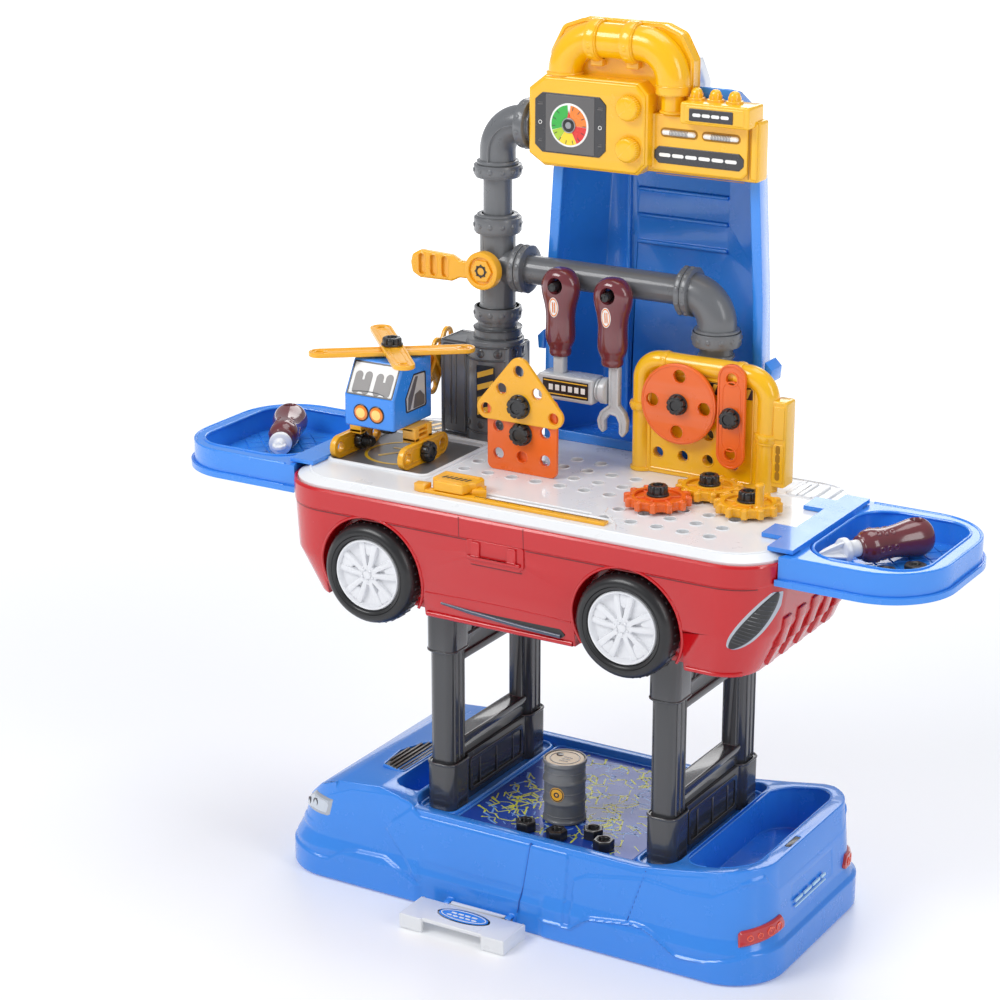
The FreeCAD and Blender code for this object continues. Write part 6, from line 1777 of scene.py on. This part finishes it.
g.plate(rrect(-58, -14, 417.6, 432.6, 0.6), "xz", 48.2, 47.6, r=0.15, seg=1)
for z in (419.2, 430.4):
    g2.box(-57, -15, 47.35, 47.7, z, z + 0.95, r=0.1, seg=1)
for k in range(6):
    g3.box(-52 + 6.2 * k, -48 + 6.2 * k, 47.35, 47.7, 422.8, 427.8, r=0.12, seg=1)
g.out("hammer_plate", BLACK, "hammer")
g2.out("hammer_plate_lines", YELLOW, "hammer")
g3.out("hammer_plate_bars", GAUGE_W, "hammer")
jaw = [(1.0, 448.5), (1.0, 414.5), (-6.6, 408.0), (-9.6, 400.0), (-8.2, 393.5), (-4.5, 389.4), (-2.2, 391.5), (-2.4, 400.5), (2.6, 406.4), (8.4, 405.4), (11.4, 400),
       (11.4, 391.0), (14.6, 387.6), (18.4, 393.0), (19.0, 402.0), (16.6, 409.0), (10.8, 415.2), (10.8, 448.5)]
jo = round_poly(jaw, 1.3, k=4)
jc = (sum(p[0] for p in jo) / len(jo), 0)


def inset(poly_, d):
    n = len(poly_)
    res = []
    ar = sum(poly_[i][0] * poly_[(i + 1) % n][1] - poly_[(i + 1) % n][0] * poly_[i][1] for i in range(n))
    sg = 1 if ar > 0 else -1
    for i in range(n):
        a, b, c = Vector(poly_[i - 1]), Vector(poly_[i]), Vector(poly_[(i + 1) % n])
        t = (c - a)
        if t.length < 1e-6:
            continue
        t.normalize()
        res.append((b.x - t.y * d * sg, b.y + t.x * d * sg))
    return res


g = G()
g.plate(jo, "xz", 56.0, 60.5, r=0.5, seg=2)
ji = inset(jo, 1.25)
g.tube([(x, 56.0, z) for x, z in ji], 1.2, n=10, closed=True)
g.tube([(x, 60.5, z) for x, z in ji], 1.2, n=10, closed=True)
g.out("wrench_open_jaw", TOOLG, "wrench", deg=34, replaces=("wrench_jaw",), slot="tool_grey")
edge_round(NODES["tool_pegs"], 0.0004, 2)

# ---------------------------------------------------------------------------
# gears and kit plates
# ---------------------------------------------------------------------------
GZ0, GZ1 = 363.8, 371.3
G1, G2, G3 = (89.0, -20.5), (112.2, 25.9), (158.6, 2.7)


def bearing(a, b):
    return math.degrees(math.atan2(b[1] - a[1], b[0] - a[0]))


ph2 = bearing(G2, G1)
ph1 = bearing(G1, G2) + 15.0
ang3 = (bearing(G2, G3) - ph2) % 30.0
ph3 = bearing(G3, G2) + 15.0 + ang3
for nm, c, ph, mat, node, slot in (("orange", G1, ph1, ORANGE, "gear_orange", "kit_orange"), ("idler", G2, ph2, KITY, "gear_idler", "kit_yellow"), ("crank", G3, ph3, KITY, "gear_crank", "kit_yellow")):
    pts = []
    for k in range(12):
        for da, r in ((-9.6, 23.2), (-6.6, 24.2), (-5.6, 26.6), (-3.4, 27.8), (0, 28.0), (3.4, 27.8), (5.6, 26.6), (6.6, 24.2), (9.6, 23.2)):
            a = math.radians(ph + 30 * k + da)
            pts.append((c[0] + r * math.cos(a), c[1] + r * math.sin(a)))
    g = G()
    bore = circ(c[0], c[1], 4.3, 28)
    g.plate(pts, "xy", GZ0, GZ1 - 2.4, r=0.5, seg=2, holes=[bore])
    g.plate(pts, "xy", GZ1 - 3.2, GZ1, r=0.7, seg=3, holes=[circ(c[0], c[1], 19.0, 60)])
    g.plate(circ(c[0], c[1], 11.0, 40), "xy", GZ1 - 3.2, GZ1, r=0.5, seg=2, holes=[bore])
    for k in range(6):
        a = math.radians(ph + 60 * k + 15)
        u = (math.cos(a), math.sin(a))
        g.tube([(c[0] + u[0] * 10.6, c[1] + u[1] * 10.6, GZ1 - 2.1), (c[0] + u[0] * 19.4, c[1] + u[1] * 19.4, GZ1 - 2.1)], 0.9, n=8)
    for k in range(12):
        a = math.radians(ph + 30 * k)
        g.ring("z", (c[0] + 24.2 * math.cos(a), c[1] + 24.2 * math.sin(a)), GZ1, 1.5, 0.45, n=16, m=6)
    if nm == "crank":
        q = (c[0] + 13.5, c[1] - 8.0)
        g.lathe([(0, GZ1 - 3), (5.0, GZ1 - 3), (5.0, GZ1 - 0.6), (4.0, GZ1 + 0.6), (3.5, GZ1 + 1.6), (3.4, GZ1 + 15.6), (3.9, GZ1 + 16.4), (4.0, GZ1 + 17.8), (3.2, GZ1 + 18.8), (1.6, GZ1 + 19.0), (0, GZ1 + 19.0)], "z", q, n=32)
    g.out("gear_wheel_" + nm, mat, {"orange": "orange_gear", "idler": "idler_gear", "crank": "crank_gear"}[nm], deg=34, replaces=(node,), slot=slot)
g = G()
for c in (G1, G2, G3):
    crown_bolt(g, "z", c, GZ1 + 0.4, GZ1 + 8.6, 8.2, n=8)
    g.lathe([(0, GZ1 + 0.3), (9.2, GZ1 + 0.3), (9.2, GZ1 + 1.3), (8.6, GZ1 + 1.8), (0, GZ1 + 1.8)], "z", c, n=40)
    g.lathe([(3.9, 353), (3.9, GZ1 + 1)], "z", c, n=24)
    g.lathe([(3.9, 361.6), (6.5, 361.6), (6.5, 363.3), (3.9, 363.5)], "z", c, n=32)
for (u, v), t0, t1, R in (((70, 427), 48.7, 42.6, 8.2), ((118, 422), 49.4, 43.0, 8.2), ((-49.5, 421), -6.0, -12.6, 9.5), ((-49.5, 396.4), -2.0, -9.0, 9.3)):
    crown_bolt(g, "y", (u, v), t0, t1, R)
    g.lathe([(0, t0), (R + 0.9, t0), (R + 0.9, t0 - 0.8), (R + 0.3, t0 - 1.3), (0, t0 - 1.3)], "y", (u, v), n=40)
    g.lathe([(3.8, t0), (3.8, t0 + 7.4), (0, t0 + 7.4)], "y", (u, v), n=24)
g.out("crown_bolts", BLACK, "bench", deg=34, replaces=("kit_bolts",), slot="black_plastic")
edge_round(NODES["house_bracket"], 0.0004, 2)


def arc_hull(cs, n=40):
    pts = sorted((cx + r * math.cos(2 * math.pi * k / n), cz + r * math.sin(2 * math.pi * k / n)) for cx, cz, r in cs for k in range(n))

    def half(seq):
        h = []
        for q in seq:
            while len(h) > 1 and (h[-1][0] - h[-2][0]) * (q[1] - h[-2][1]) - (h[-1][1] - h[-2][1]) * (q[0] - h[-2][0]) <= 0:
                h.pop()
            h.append(q)
        return h[:-1]
    return half(pts) + half(pts[::-1])


g = G()
g.plate(arc_hull([(-50.5, 452.5, 10.0), (-81.5, 415.5, 9.5), (-17.8, 415.5, 9.5)]), "xz", -6, -2, r=0.8, seg=3,
        holes=[circ(x, z, 4.8, 28) for x, z in ((-50.5, 451), (-67, 434), (-33, 434), (-82, 415), (-17, 415))] + [circ(-49.5, 421, 4.2, 24)])
g.out("roof_plate", KITY, "bench", replaces=("house_triangle",), slot="kit_yellow", deg=34)
g = G()
g.plate(rrect(-83, -16, 361.5, 429, 6), "xz", -2, 2, r=0.8, seg=3,
        holes=[circ(x, z, 4.8, 28) for x, z in ((-72, 376), (-49.5, 376), (-27, 376), (-72, 400), (-27, 400))] + [circ(-49.5, 396.4, 4.2, 24)])
g.out("wall_plate", ORANGE, "bench", replaces=("house_square",), slot="kit_orange", deg=34)
g = G()
g.plate(circ(70, 427, 34.5, 96), "xz", 49.0, 53.0, r=0.9, seg=3,
        holes=[circ(70 + 24 * math.cos(math.radians(t)), 427 + 24 * math.sin(math.radians(t)), 5.5, 28) for t in (88, 178, 268, 358)] + [circ(70, 427, 4.3, 24)])
g.ring("y", (70, 427), 49.1, 32.6, 0.6, n=80, m=8)
for t in (88, 178, 268, 358):
    g.ring("y", (70 + 24 * math.cos(math.radians(t)), 427 + 24 * math.sin(math.radians(t))), 49.0, 6.1, 0.4, n=28, m=6)
g.out("round_plate", ORANGE, "disc", replaces=("peg_disc",), slot="kit_orange", deg=34)
g = G()
link(g, "xz", (118, 391), (118, 455), 12.5, 49.5, 53.5, [(118, 391), (118, 455)], 5.0)
g.lathe([(4.2, 53.4), (7.0, 53.4), (7.0, 57.9), (4.2, 57.9)], "y", (118, 422), n=30)
g.plate(circ(118, 422, 9.0, 30), "xz", 49.6, 53.4, r=0.4)
g.out("strip_link", ORANGE, "bench", replaces=("link_strip",), slot="kit_orange", deg=34)
g, g2 = G(), G()
for x, z in ((-50.5, 451), (-67, 434), (-33, 434), (-82, 415), (-17, 415)):
    g.ring("y", (x, z), -6.0, 5.4, 0.4, n=28, m=6)
g.out("triangle_hole_lips", KITY, "bench")
for x, z in ((-72, 376), (-49.5, 376), (-27, 376), (-72, 400), (-27, 400)):
    g2.ring("y", (x, z), -2.0, 5.4, 0.4, n=28, m=6)
g2.out("square_hole_lips", ORANGE, "bench")

# ruler and slider
edge_round(NODES["ruler"], 0.0004, 2)
g, g2 = G(), G()
for k in range(56):
    x = -46 + 2.1 * k
    L = 3.6 if k % 5 == 0 else 2.0
    g.box(x - 0.18, x + 0.18, -80.4 - L, -80.4, 364.1, 364.38, r=0.05, seg=1)
g.box(-46, 72, -81.6, -81.2, 364.1, 364.4, r=0.05, seg=1)
g.out("ruler_ticks", BLACK, "bench")
g2.plate(round_poly([(-90, -57.4), (-90, -78.4), (-84, -78.4), (-84, -86.6), (-56, -86.6), (-54, -78.4), (-50, -74), (-50, -61), (-54, -57.4)], 2.0), "xy", 364.7, 373.0, r=1.3, seg=4)
g2.plate(rrect(-90, -50, -78, -57.2, 1.2), "xy", 361.9, 366, r=0.6)
g2.plate(round_poly([(-52, -79), (-40.5, -75), (-40.5, -73.5), (-50, -66)], 0.8), "xy", 361.9, 368.4, r=0.8)
g2.box(-86, -56, -68.0, -66.0, 354.0, 362.5, r=0.3)
g2.tube([(x, -62.0, 373.0) for x in (-86, -54)], 0.8, n=8)
g2.tube([(x, -82.4, 373.0) for x in (-82, -58)], 0.8, n=8)
g2.out("slider_block", KITY, "slider", deg=34, replaces=("caliper_slider",), slot="kit_yellow")
g = G()
for k in range(6):
    x = -83 + 4.4 * k
    g.plate([(x, -75), (x + 2.2, -75), (x + 4.2, -69.5), (x + 2.0, -69.5)], "xy", 372.9, 373.25, r=0.05, seg=1)
g.out("slider_bars", BLACK, "slider")

# ---------------------------------------------------------------------------
# trays, drivers, clasp, drum, nuts, handle
# ---------------------------------------------------------------------------
TF = 342.3
for s, x_in, x_out in ((1, 232, 349.0), (-1, -234, -363.0)):
    g = G()
    # rolled rims of the tray mouth
    for (a0, a1), hw, r, z, rad in (((s * 120.0, x_out - 4.6 * s), 79.4, 53.4, 360.4, 1.5), ((s * (abs(x_in) + 4.5), x_out - 16 * s), 66.0, 30.0, 360.9, 1.3),
                                    ((s * 120.0, x_out - 1.6 * s), 82.4, 56.4, 342.4, 1.2)):
        pa, pb = sorted((a0, a1))
        loop = [(x, y, z) for x, y in rrect(pa, pb, -hw, hw, r, k=14)]
        if z > 360.8:
            g.tube(loop, rad, n=10, closed=True)
            continue
        lim = abs(x_in) + 2.5
        k0 = next(i for i in range(len(loop)) if abs(loop[i][0]) < lim <= abs(loop[(i + 1) % len(loop)][0]))
        loop = loop[k0 + 1:] + loop[:k0 + 1]
        out_ = [q for q in loop if abs(q[0]) >= lim]
        out_ = [(s * (lim + 1.0), out_[0][1], z)] + out_ + [(s * (lim + 1.0), out_[-1][1], z)]
        g.tube(out_, rad, n=10)
    # floor tiles: raised diamonds of the pressed floor
    for a in range(-9, 10):
        for b in range(-9, 10):
            u, v = a * 15.0, b * 15.0
            cx, cy = (x_in + x_out) / 2 + 6 * s + (u - v) * 0.7071, (u + v) * 0.7071
            if not (min(x_in, x_out) + 22 < cx < max(x_in, x_out) - 20 and -60 < cy < 60):
                continue
            if (cx - (x_in + x_out) / 2 - 6 * s) ** 2 / 44.0 ** 2 + cy ** 2 / 66.0 ** 2 > 1.15:
                continue
            q = [(cx + 9.6 * math.cos(math.radians(t)), cy + 9.6 * math.sin(math.radians(t))) for t in (0, 90, 180, 270)]
            g.plate(round_poly(q, 1.6, k=3), "xy", TF - 0.9, TF + 0.55, r=0.4, seg=2)
    g.out("tray_mould_" + ("right" if s > 0 else "left"), BLUE, "right_tray" if s > 0 else "left_tray", deg=34)


def driver(name, p, q, z, body, nh, nb, star):
    L = math.hypot(q[0] - p[0], q[1] - p[1])
    ang = math.atan2(q[1] - p[1], q[0] - p[0])
    M = Matrix.Translation((p[0], p[1], z)) @ Matrix.Rotation(ang, 4, "Z")
    k = 15.6 / 17.3
    prof = [(0, 0), (8.6, 0), (9.3, 0.7), (9.3, 2.2), (10.3, 3.4), (12.2, 6.0), (13.3, 10), (13.5, 14), (12.8, 20), (12.4, 26), (12.6, 32), (13.4, 39), (14.6, 46), (15.5, 52), (15.6, 57), (14.6, 61.5), (12.6, 64.8), (9.6, 66.8), (5.5, 67.8), (0, 68.2)]
    sc = L / 68.2
    dense = []
    for a, b in zip(prof, prof[1:]):
        dense.append((a[0], a[1] * sc))
    dense.append((0, 68.2 * sc))
    # smooth the middle of the profile
    tb = [(t, r) for r, t in dense[3:-1]]
    mid = [(smooth(tb, t), t) for t in np.linspace(tb[0][0], tb[-1][0], 46)]
    g = G()
    g.lathe(dense[:3] + mid + [(0, 68.2 * sc)], "x", (0, 0), n=64)
    c = G()
    hx = L - 12.5
    c.lathe([(0, -24), (6.6, -24), (6.6, -15.2), (5.6, -13.6), (4.8, -11.6), (4.5, -9), (4.5, 9), (4.8, 11.6), (5.6, 13.6), (6.6, 15.2), (6.6, 24), (0, 24)], "z", (hx, 0), n=36)
    r = cutout(name, g, [c])
    # thumb dimples as raised ovals on the grip
    v2 = [tuple(M @ Vector(v)) for v in r.v]
    gg = G()
    gg.add(v2, r.f)
    for t in range(6):
        a = math.radians(60 * t + 30)
        for xx in (14.0, 21.0, 28.0):
            MM = M @ Matrix.Rotation(a, 4, "X")
            rr = smooth(tb, xx) if tb[0][0] < xx < tb[-1][0] else 13
            gg.lathe([(2.7, -0.6), (2.5, 0.25), (1.8, 0.5), (1.0, 0.2), (0, 0.1)], "z", (0, 0), n=16, M=MM @ Matrix.Translation((xx * sc, 0, rr - 0.1)))
    gg.out(name + "_grip", MAROON, body, deg=40, replaces=(nh,), slot="maroon_plastic")
    b = G()
    b.lathe([(0, 0.6), (6.6, 0.6), (6.8, -0.6), (6.8, -9.0), (7.6, -9.6), (9.4, -10.2), (10.0, -11.0), (10.0, -14.6), (9.4, -15.6), (8.2, -16.0), (6.0, -16.2)] + ([(4.4, -17), (2.9, -20), (2.5, -26), (1.6, -33), (0, -34.8)] if star else
             [(5.4, -17), (4.6, -19), (4.2, -24), (0, -24.5)]), "x", (0, 0), n=48, M=M)
    if star:
        for t in range(4):
            a = math.radians(90 * t + 22)
            MM = M @ Matrix.Rotation(a, 4, "X")
            b.plate([(-15.8, 0), (-15.8, 8.9), (-18.6, 8.3), (-30.0, 4.7), (-34.9, 2.6), (-34.9, 0)], "xz", -0.9, 0.9, r=0.5, seg=2, M=MM)
    else:
        b.plate(round_poly([(-18, -6.6), (-25.6, -5.6), (-29.6, -2.6), (-29.9, 0), (-29.6, 2.6), (-25.6, 5.6), (-18, 6.6)], 1.6), "xy", -1.9, 1.9, r=0.9, seg=3, M=M)
    b.out(name + "_bit", WHITE, body, deg=36, replaces=(nb,), slot="tool_grey")


driver("right_screwdriver", (266.0, -24.0), (301.5, 34.0), 358.6, "right_driver", "right_driver_handle", "right_driver_bit", True)
driver("left_screwdriver", (-285.0, -16.0), (-318.0, 46.0), 358.6, "left_driver", "left_driver_handle", "left_driver_bit", False)


def hexnut(g, cx, cy, z0, z1, af, bore, rot):
    R = af / 2 / math.cos(math.pi / 6)
    o = round_poly([(cx + R * math.cos(math.radians(60 * k + rot)), cy + R * math.sin(math.radians(60 * k + rot))) for k in range(6)], 1.1, k=4)
    g.plate(o, "xy", z0, z1, r=0.9, seg=3, holes=[circ(cx, cy, bore, 28)])
    g.ring("z", (cx, cy), z1 - 0.1, bore + 1.3, 0.6, n=30, m=8)
    for k in range(6):
        g.ring("z", (cx, cy), z0 + 1.6 + 1.1 * k, bore, 0.28, n=24, m=6) if z0 + 1.6 + 1.1 * k < z1 - 0.6 else None


for nme, body, lst in (("tray_nuts", "loose_tray_nuts", [(296.0, -38.0, 342.4, 351, 16, 3.5, 10), (311.0, -16.0, 342.4, 351, 16, 3.5, 40)]),
                       ("base_nuts", "loose_base_nuts", [(x, y, 76.1, 85.0, 16, 4.2, t) for x, y, t in ((0, -78, 5), (31, -80, 20), (56, -62, 0), (74, -77, 35))])):
    g = G()
    for x, y, z0, z1, af, b, t in lst:
        hexnut(g, x, y, z0, z1, af, b, t)
    g.out("moulded_" + nme, BLACK, body, deg=34, replaces=(nme,), slot="black_plastic")

# drum with lid, ribs, bung and plain sticker
g, g2, g3, g4 = G(), G(), G(), G()
C = (16, -40)
pr = [(0, 76.2), (17.4, 76.2), (18.6, 76.9), (18.6, 78.6), (17.9, 79.5), (17.5, 80.4)]
for zc in (94.8, 113.2):
    pr += [(17.5, zc - 2.6), (17.8, zc - 1.9), (18.5, zc - 0.9), (18.6, zc), (18.5, zc + 0.9), (17.8, zc + 1.9), (17.5, zc + 2.6)]
pr += [(17.5, 126.6), (17.9, 127.6), (18.6, 128.6), (18.6, 130.9), (18.1, 131.5), (17.2, 131.5), (16.9, 130.6), (16.9, 129.6), (0, 129.6)]
g.lathe(pr, "z", C, n=80)
for z in (83, 104, 122):
    g.ring("z", C, z, 17.45, 0.45, n=72, m=6)
g.out("drum_body", DRUMG, "loose_drum", deg=30, replaces=("drum",), slot="drum_grey")
g2.lathe([(0, 129.2), (16.6, 129.2), (16.6, 130.4), (16.0, 130.9), (0, 130.9)], "z", C, n=64)
g2.out("drum_lid", CREAM, "loose_drum")
g4.ring("z", C, 130.9, 12.6, 0.45, n=56, m=6)
g4.lathe([(0, 130.6), (3.0, 130.6), (3.0, 131.3), (2.4, 131.5), (0, 131.5)], "z", (C[0] - 7, C[1] + 4), n=24)
for t in (-4, 0, 4):
    g4.tube([(C[0] - 2, C[1] + t - 2, 130.95), (C[0] + 6, C[1] + t - 2, 130.95)], 0.5, n=6)
g4.out("drum_lid_marks", DARK, "loose_drum")


def wrap_disc(g, c, R, az, zc, r, lift, r0=0.0):
    n, m = 36, 4
    vs, fs = [], []
    for layer in (lift, -0.6):
        for j in range(m + 1):
            f = lerp(max(r0, 0.02), r, j / m)
            for k in range(n):
                t = 2 * math.pi * k / n
                a = az + f * math.cos(t) / R
                vs.append((c[0] + (R + layer) * math.cos(a), c[1] + (R + layer) * math.sin(a), zc + f * math.sin(t)))
    o2 = (m + 1) * n
    for j in range(m):
        for k in range(n):
            q = (j * n + k, j * n + (k + 1) % n, (j + 1) * n + (k + 1) % n, (j + 1) * n + k)
            fs.append(q)
            fs.append(tuple(o2 + i for i in q[::-1]))
    for k in range(n):
        a_, b_ = m * n + k, m * n + (k + 1) % n
        fs.append((a_, b_, o2 + b_, o2 + a_))
        fs.append((k, o2 + k, o2 + (k + 1) % n, (k + 1) % n))
    g.add(vs, fs)


AZ = math.radians(-84)
wrap_disc(g3, C, 17.5, AZ, 104, 6.4, 0.35)
g3.out("drum_sticker", KITY, "loose_drum")
g = G()
wrap_disc(g, C, 17.5, AZ, 104, 5.9, 0.55, 5.2)
wrap_disc(g, C, 17.5, AZ, 104, 2.4, 0.55, 1.3)
g.out("drum_sticker_rings", OUTL, "loose_drum")

# clasp flap
edge_round(NODES["latch_flap"], 0.0009, 3)
g, g2, g3 = G(), G(), G()
FX, FY = -26.0, -136.0
el = lambda a, b, n=56: [(FX + a * math.cos(2 * math.pi * k / n), FY + b * math.sin(2 * math.pi * k / n)) for k in range(n)]
g.plate(el(26, 11.6), "xy", 10.2, 13.0, r=0.8, seg=3)
g2.plate(el(23.4, 9.4), "xy", 12.6, 13.5, r=0.3, seg=2)
g3.plate(el(21.6, 7.9), "xy", 13.2, 13.75, r=0.1, seg=1, holes=[el(20.6, 7.1)])
for k in range(4):
    x = FX - 12 + 6.6 * k
    g3.plate(slot_outline((x, FY + 2.0), (x + 3.4, FY + 2.0), 1.0), "xy", 13.3, 13.75, r=0.1, seg=1)
for k in range(5):
    x = FX - 14 + 6.0 * k
    g3.plate(slot_outline((x, FY - 2.6), (x + 3.0, FY - 2.6), 0.9), "xy", 13.3, 13.75, r=0.1, seg=1)
g.out("clasp_oval_boss", WHITE, "latch", deg=34)
g2.out("clasp_oval_field", BLUE, "latch")
g3.out("clasp_oval_print", GAUGE_W, "latch")

# carry handle, back panel and panel bracket
edge_round(NODES["carry_handle"], 0.0016, 4)
edge_round(NODES["back_panel"], 0.0010, 3)
edge_round(NODES["panel_bracket"], 0.0006, 2)
g = G()

# ---------------------------------------------------------------------------
# floor, light, camera
# ---------------------------------------------------------------------------
def floor_material():
    m = bpy.data.materials.new("floor_pale")
    m.use_nodes = True
    nt = m.node_tree
    b = nt.nodes["Principled BSDF"]
    b.inputs["Base Color"].default_value = (0.86, 0.87, 0.89, 1)
    b.inputs["Roughness"].default_value = 0.32
    b.inputs["Specular IOR Level"].default_value = 0.35
    # painted light: the floor's emission grows from faint near the centre to strong far out, so it glows into a white
    # backdrop
    tc = nt.nodes.new("ShaderNodeTexCoord")
    ln = nt.nodes.new("ShaderNodeVectorMath")
    ln.operation = "LENGTH"
    mr = nt.nodes.new("ShaderNodeMapRange")
    mr.interpolation_type = "SMOOTHSTEP"
    mr.inputs["From Min"].default_value = 0.5
    mr.inputs["From Max"].default_value = 3.2
    mr.inputs["To Min"].default_value = 0.14
    mr.inputs["To Max"].default_value = 0.95
    nt.links.new(tc.outputs["Object"], ln.inputs[0])
    nt.links.new(ln.outputs["Value"], mr.inputs["Value"])
    nt.links.new(mr.outputs["Result"], b.inputs["Emission Strength"])
    b.inputs["Emission Color"].default_value = (1, 1, 1, 1)
    return m


fm = bpy.data.meshes.new("floor")
bm = bmesh.new()
R = 14.0
for i in range(96):
    t = 2 * math.pi * i / 96
    bm.verts.new((R * math.cos(t), R * math.sin(t), -0.0005))
bm.faces.new(bm.verts)
bm.to_mesh(fm)
bm.free()
floor = bpy.data.objects.new("floor", fm)
coll.objects.link(floor)
fm.materials.append(floor_material())

world = bpy.data.worlds.new("studio")
scene.world = world
world.use_nodes = True
bg = world.node_tree.nodes["Background"]
bg.inputs["Color"].default_value = (0.93, 0.95, 1.0, 1)
bg.inputs["Strength"].default_value = 0.44


def area(name, loc, target, size, power, color=(1, 1, 1)):
    l = bpy.data.lights.new(name, "AREA")
    l.shape = "RECTANGLE"
    l.size, l.size_y = size
    l.energy = power
    l.color = color
    o = bpy.data.objects.new(name, l)
    coll.objects.link(o)
    o.location = loc
    o.rotation_euler = (Vector(target) - Vector(loc)).to_track_quat("-Z", "Y").to_euler()
    return o


area("key", (-1.2, -1.9, 2.4), (0, 0, 0.35), (1.5, 1.1), 44)
area("side", (2.4, -0.6, 1.5), (0, 0, 0.35), (0.8, 1.6), 15)
area("top", (0.1, 0.5, 2.6), (0, 0, 0.4), (1.4, 1.4), 17)
area("back", (-0.8, 2.4, 1.6), (0, 0, 0.4), (1.6, 1.0), 14)

cam = bpy.data.cameras.new("camera")
cam.sensor_width = 36.0
cam.lens = 96.32
cam.clip_start = 0.05
cam.clip_end = 60
co = bpy.data.objects.new("camera", cam)
coll.objects.link(co)
co.location = (1.0316, -1.8497, 1.0451)
co.rotation_euler = (Vector((-0.07176, 0.0, 0.3338)) - co.location).to_track_quat("-Z", "Y").to_euler()
scene.camera = co
scene.view_settings.view_transform = "Standard"
scene.view_settings.look = "None"
scene.view_settings.exposure = 0.0
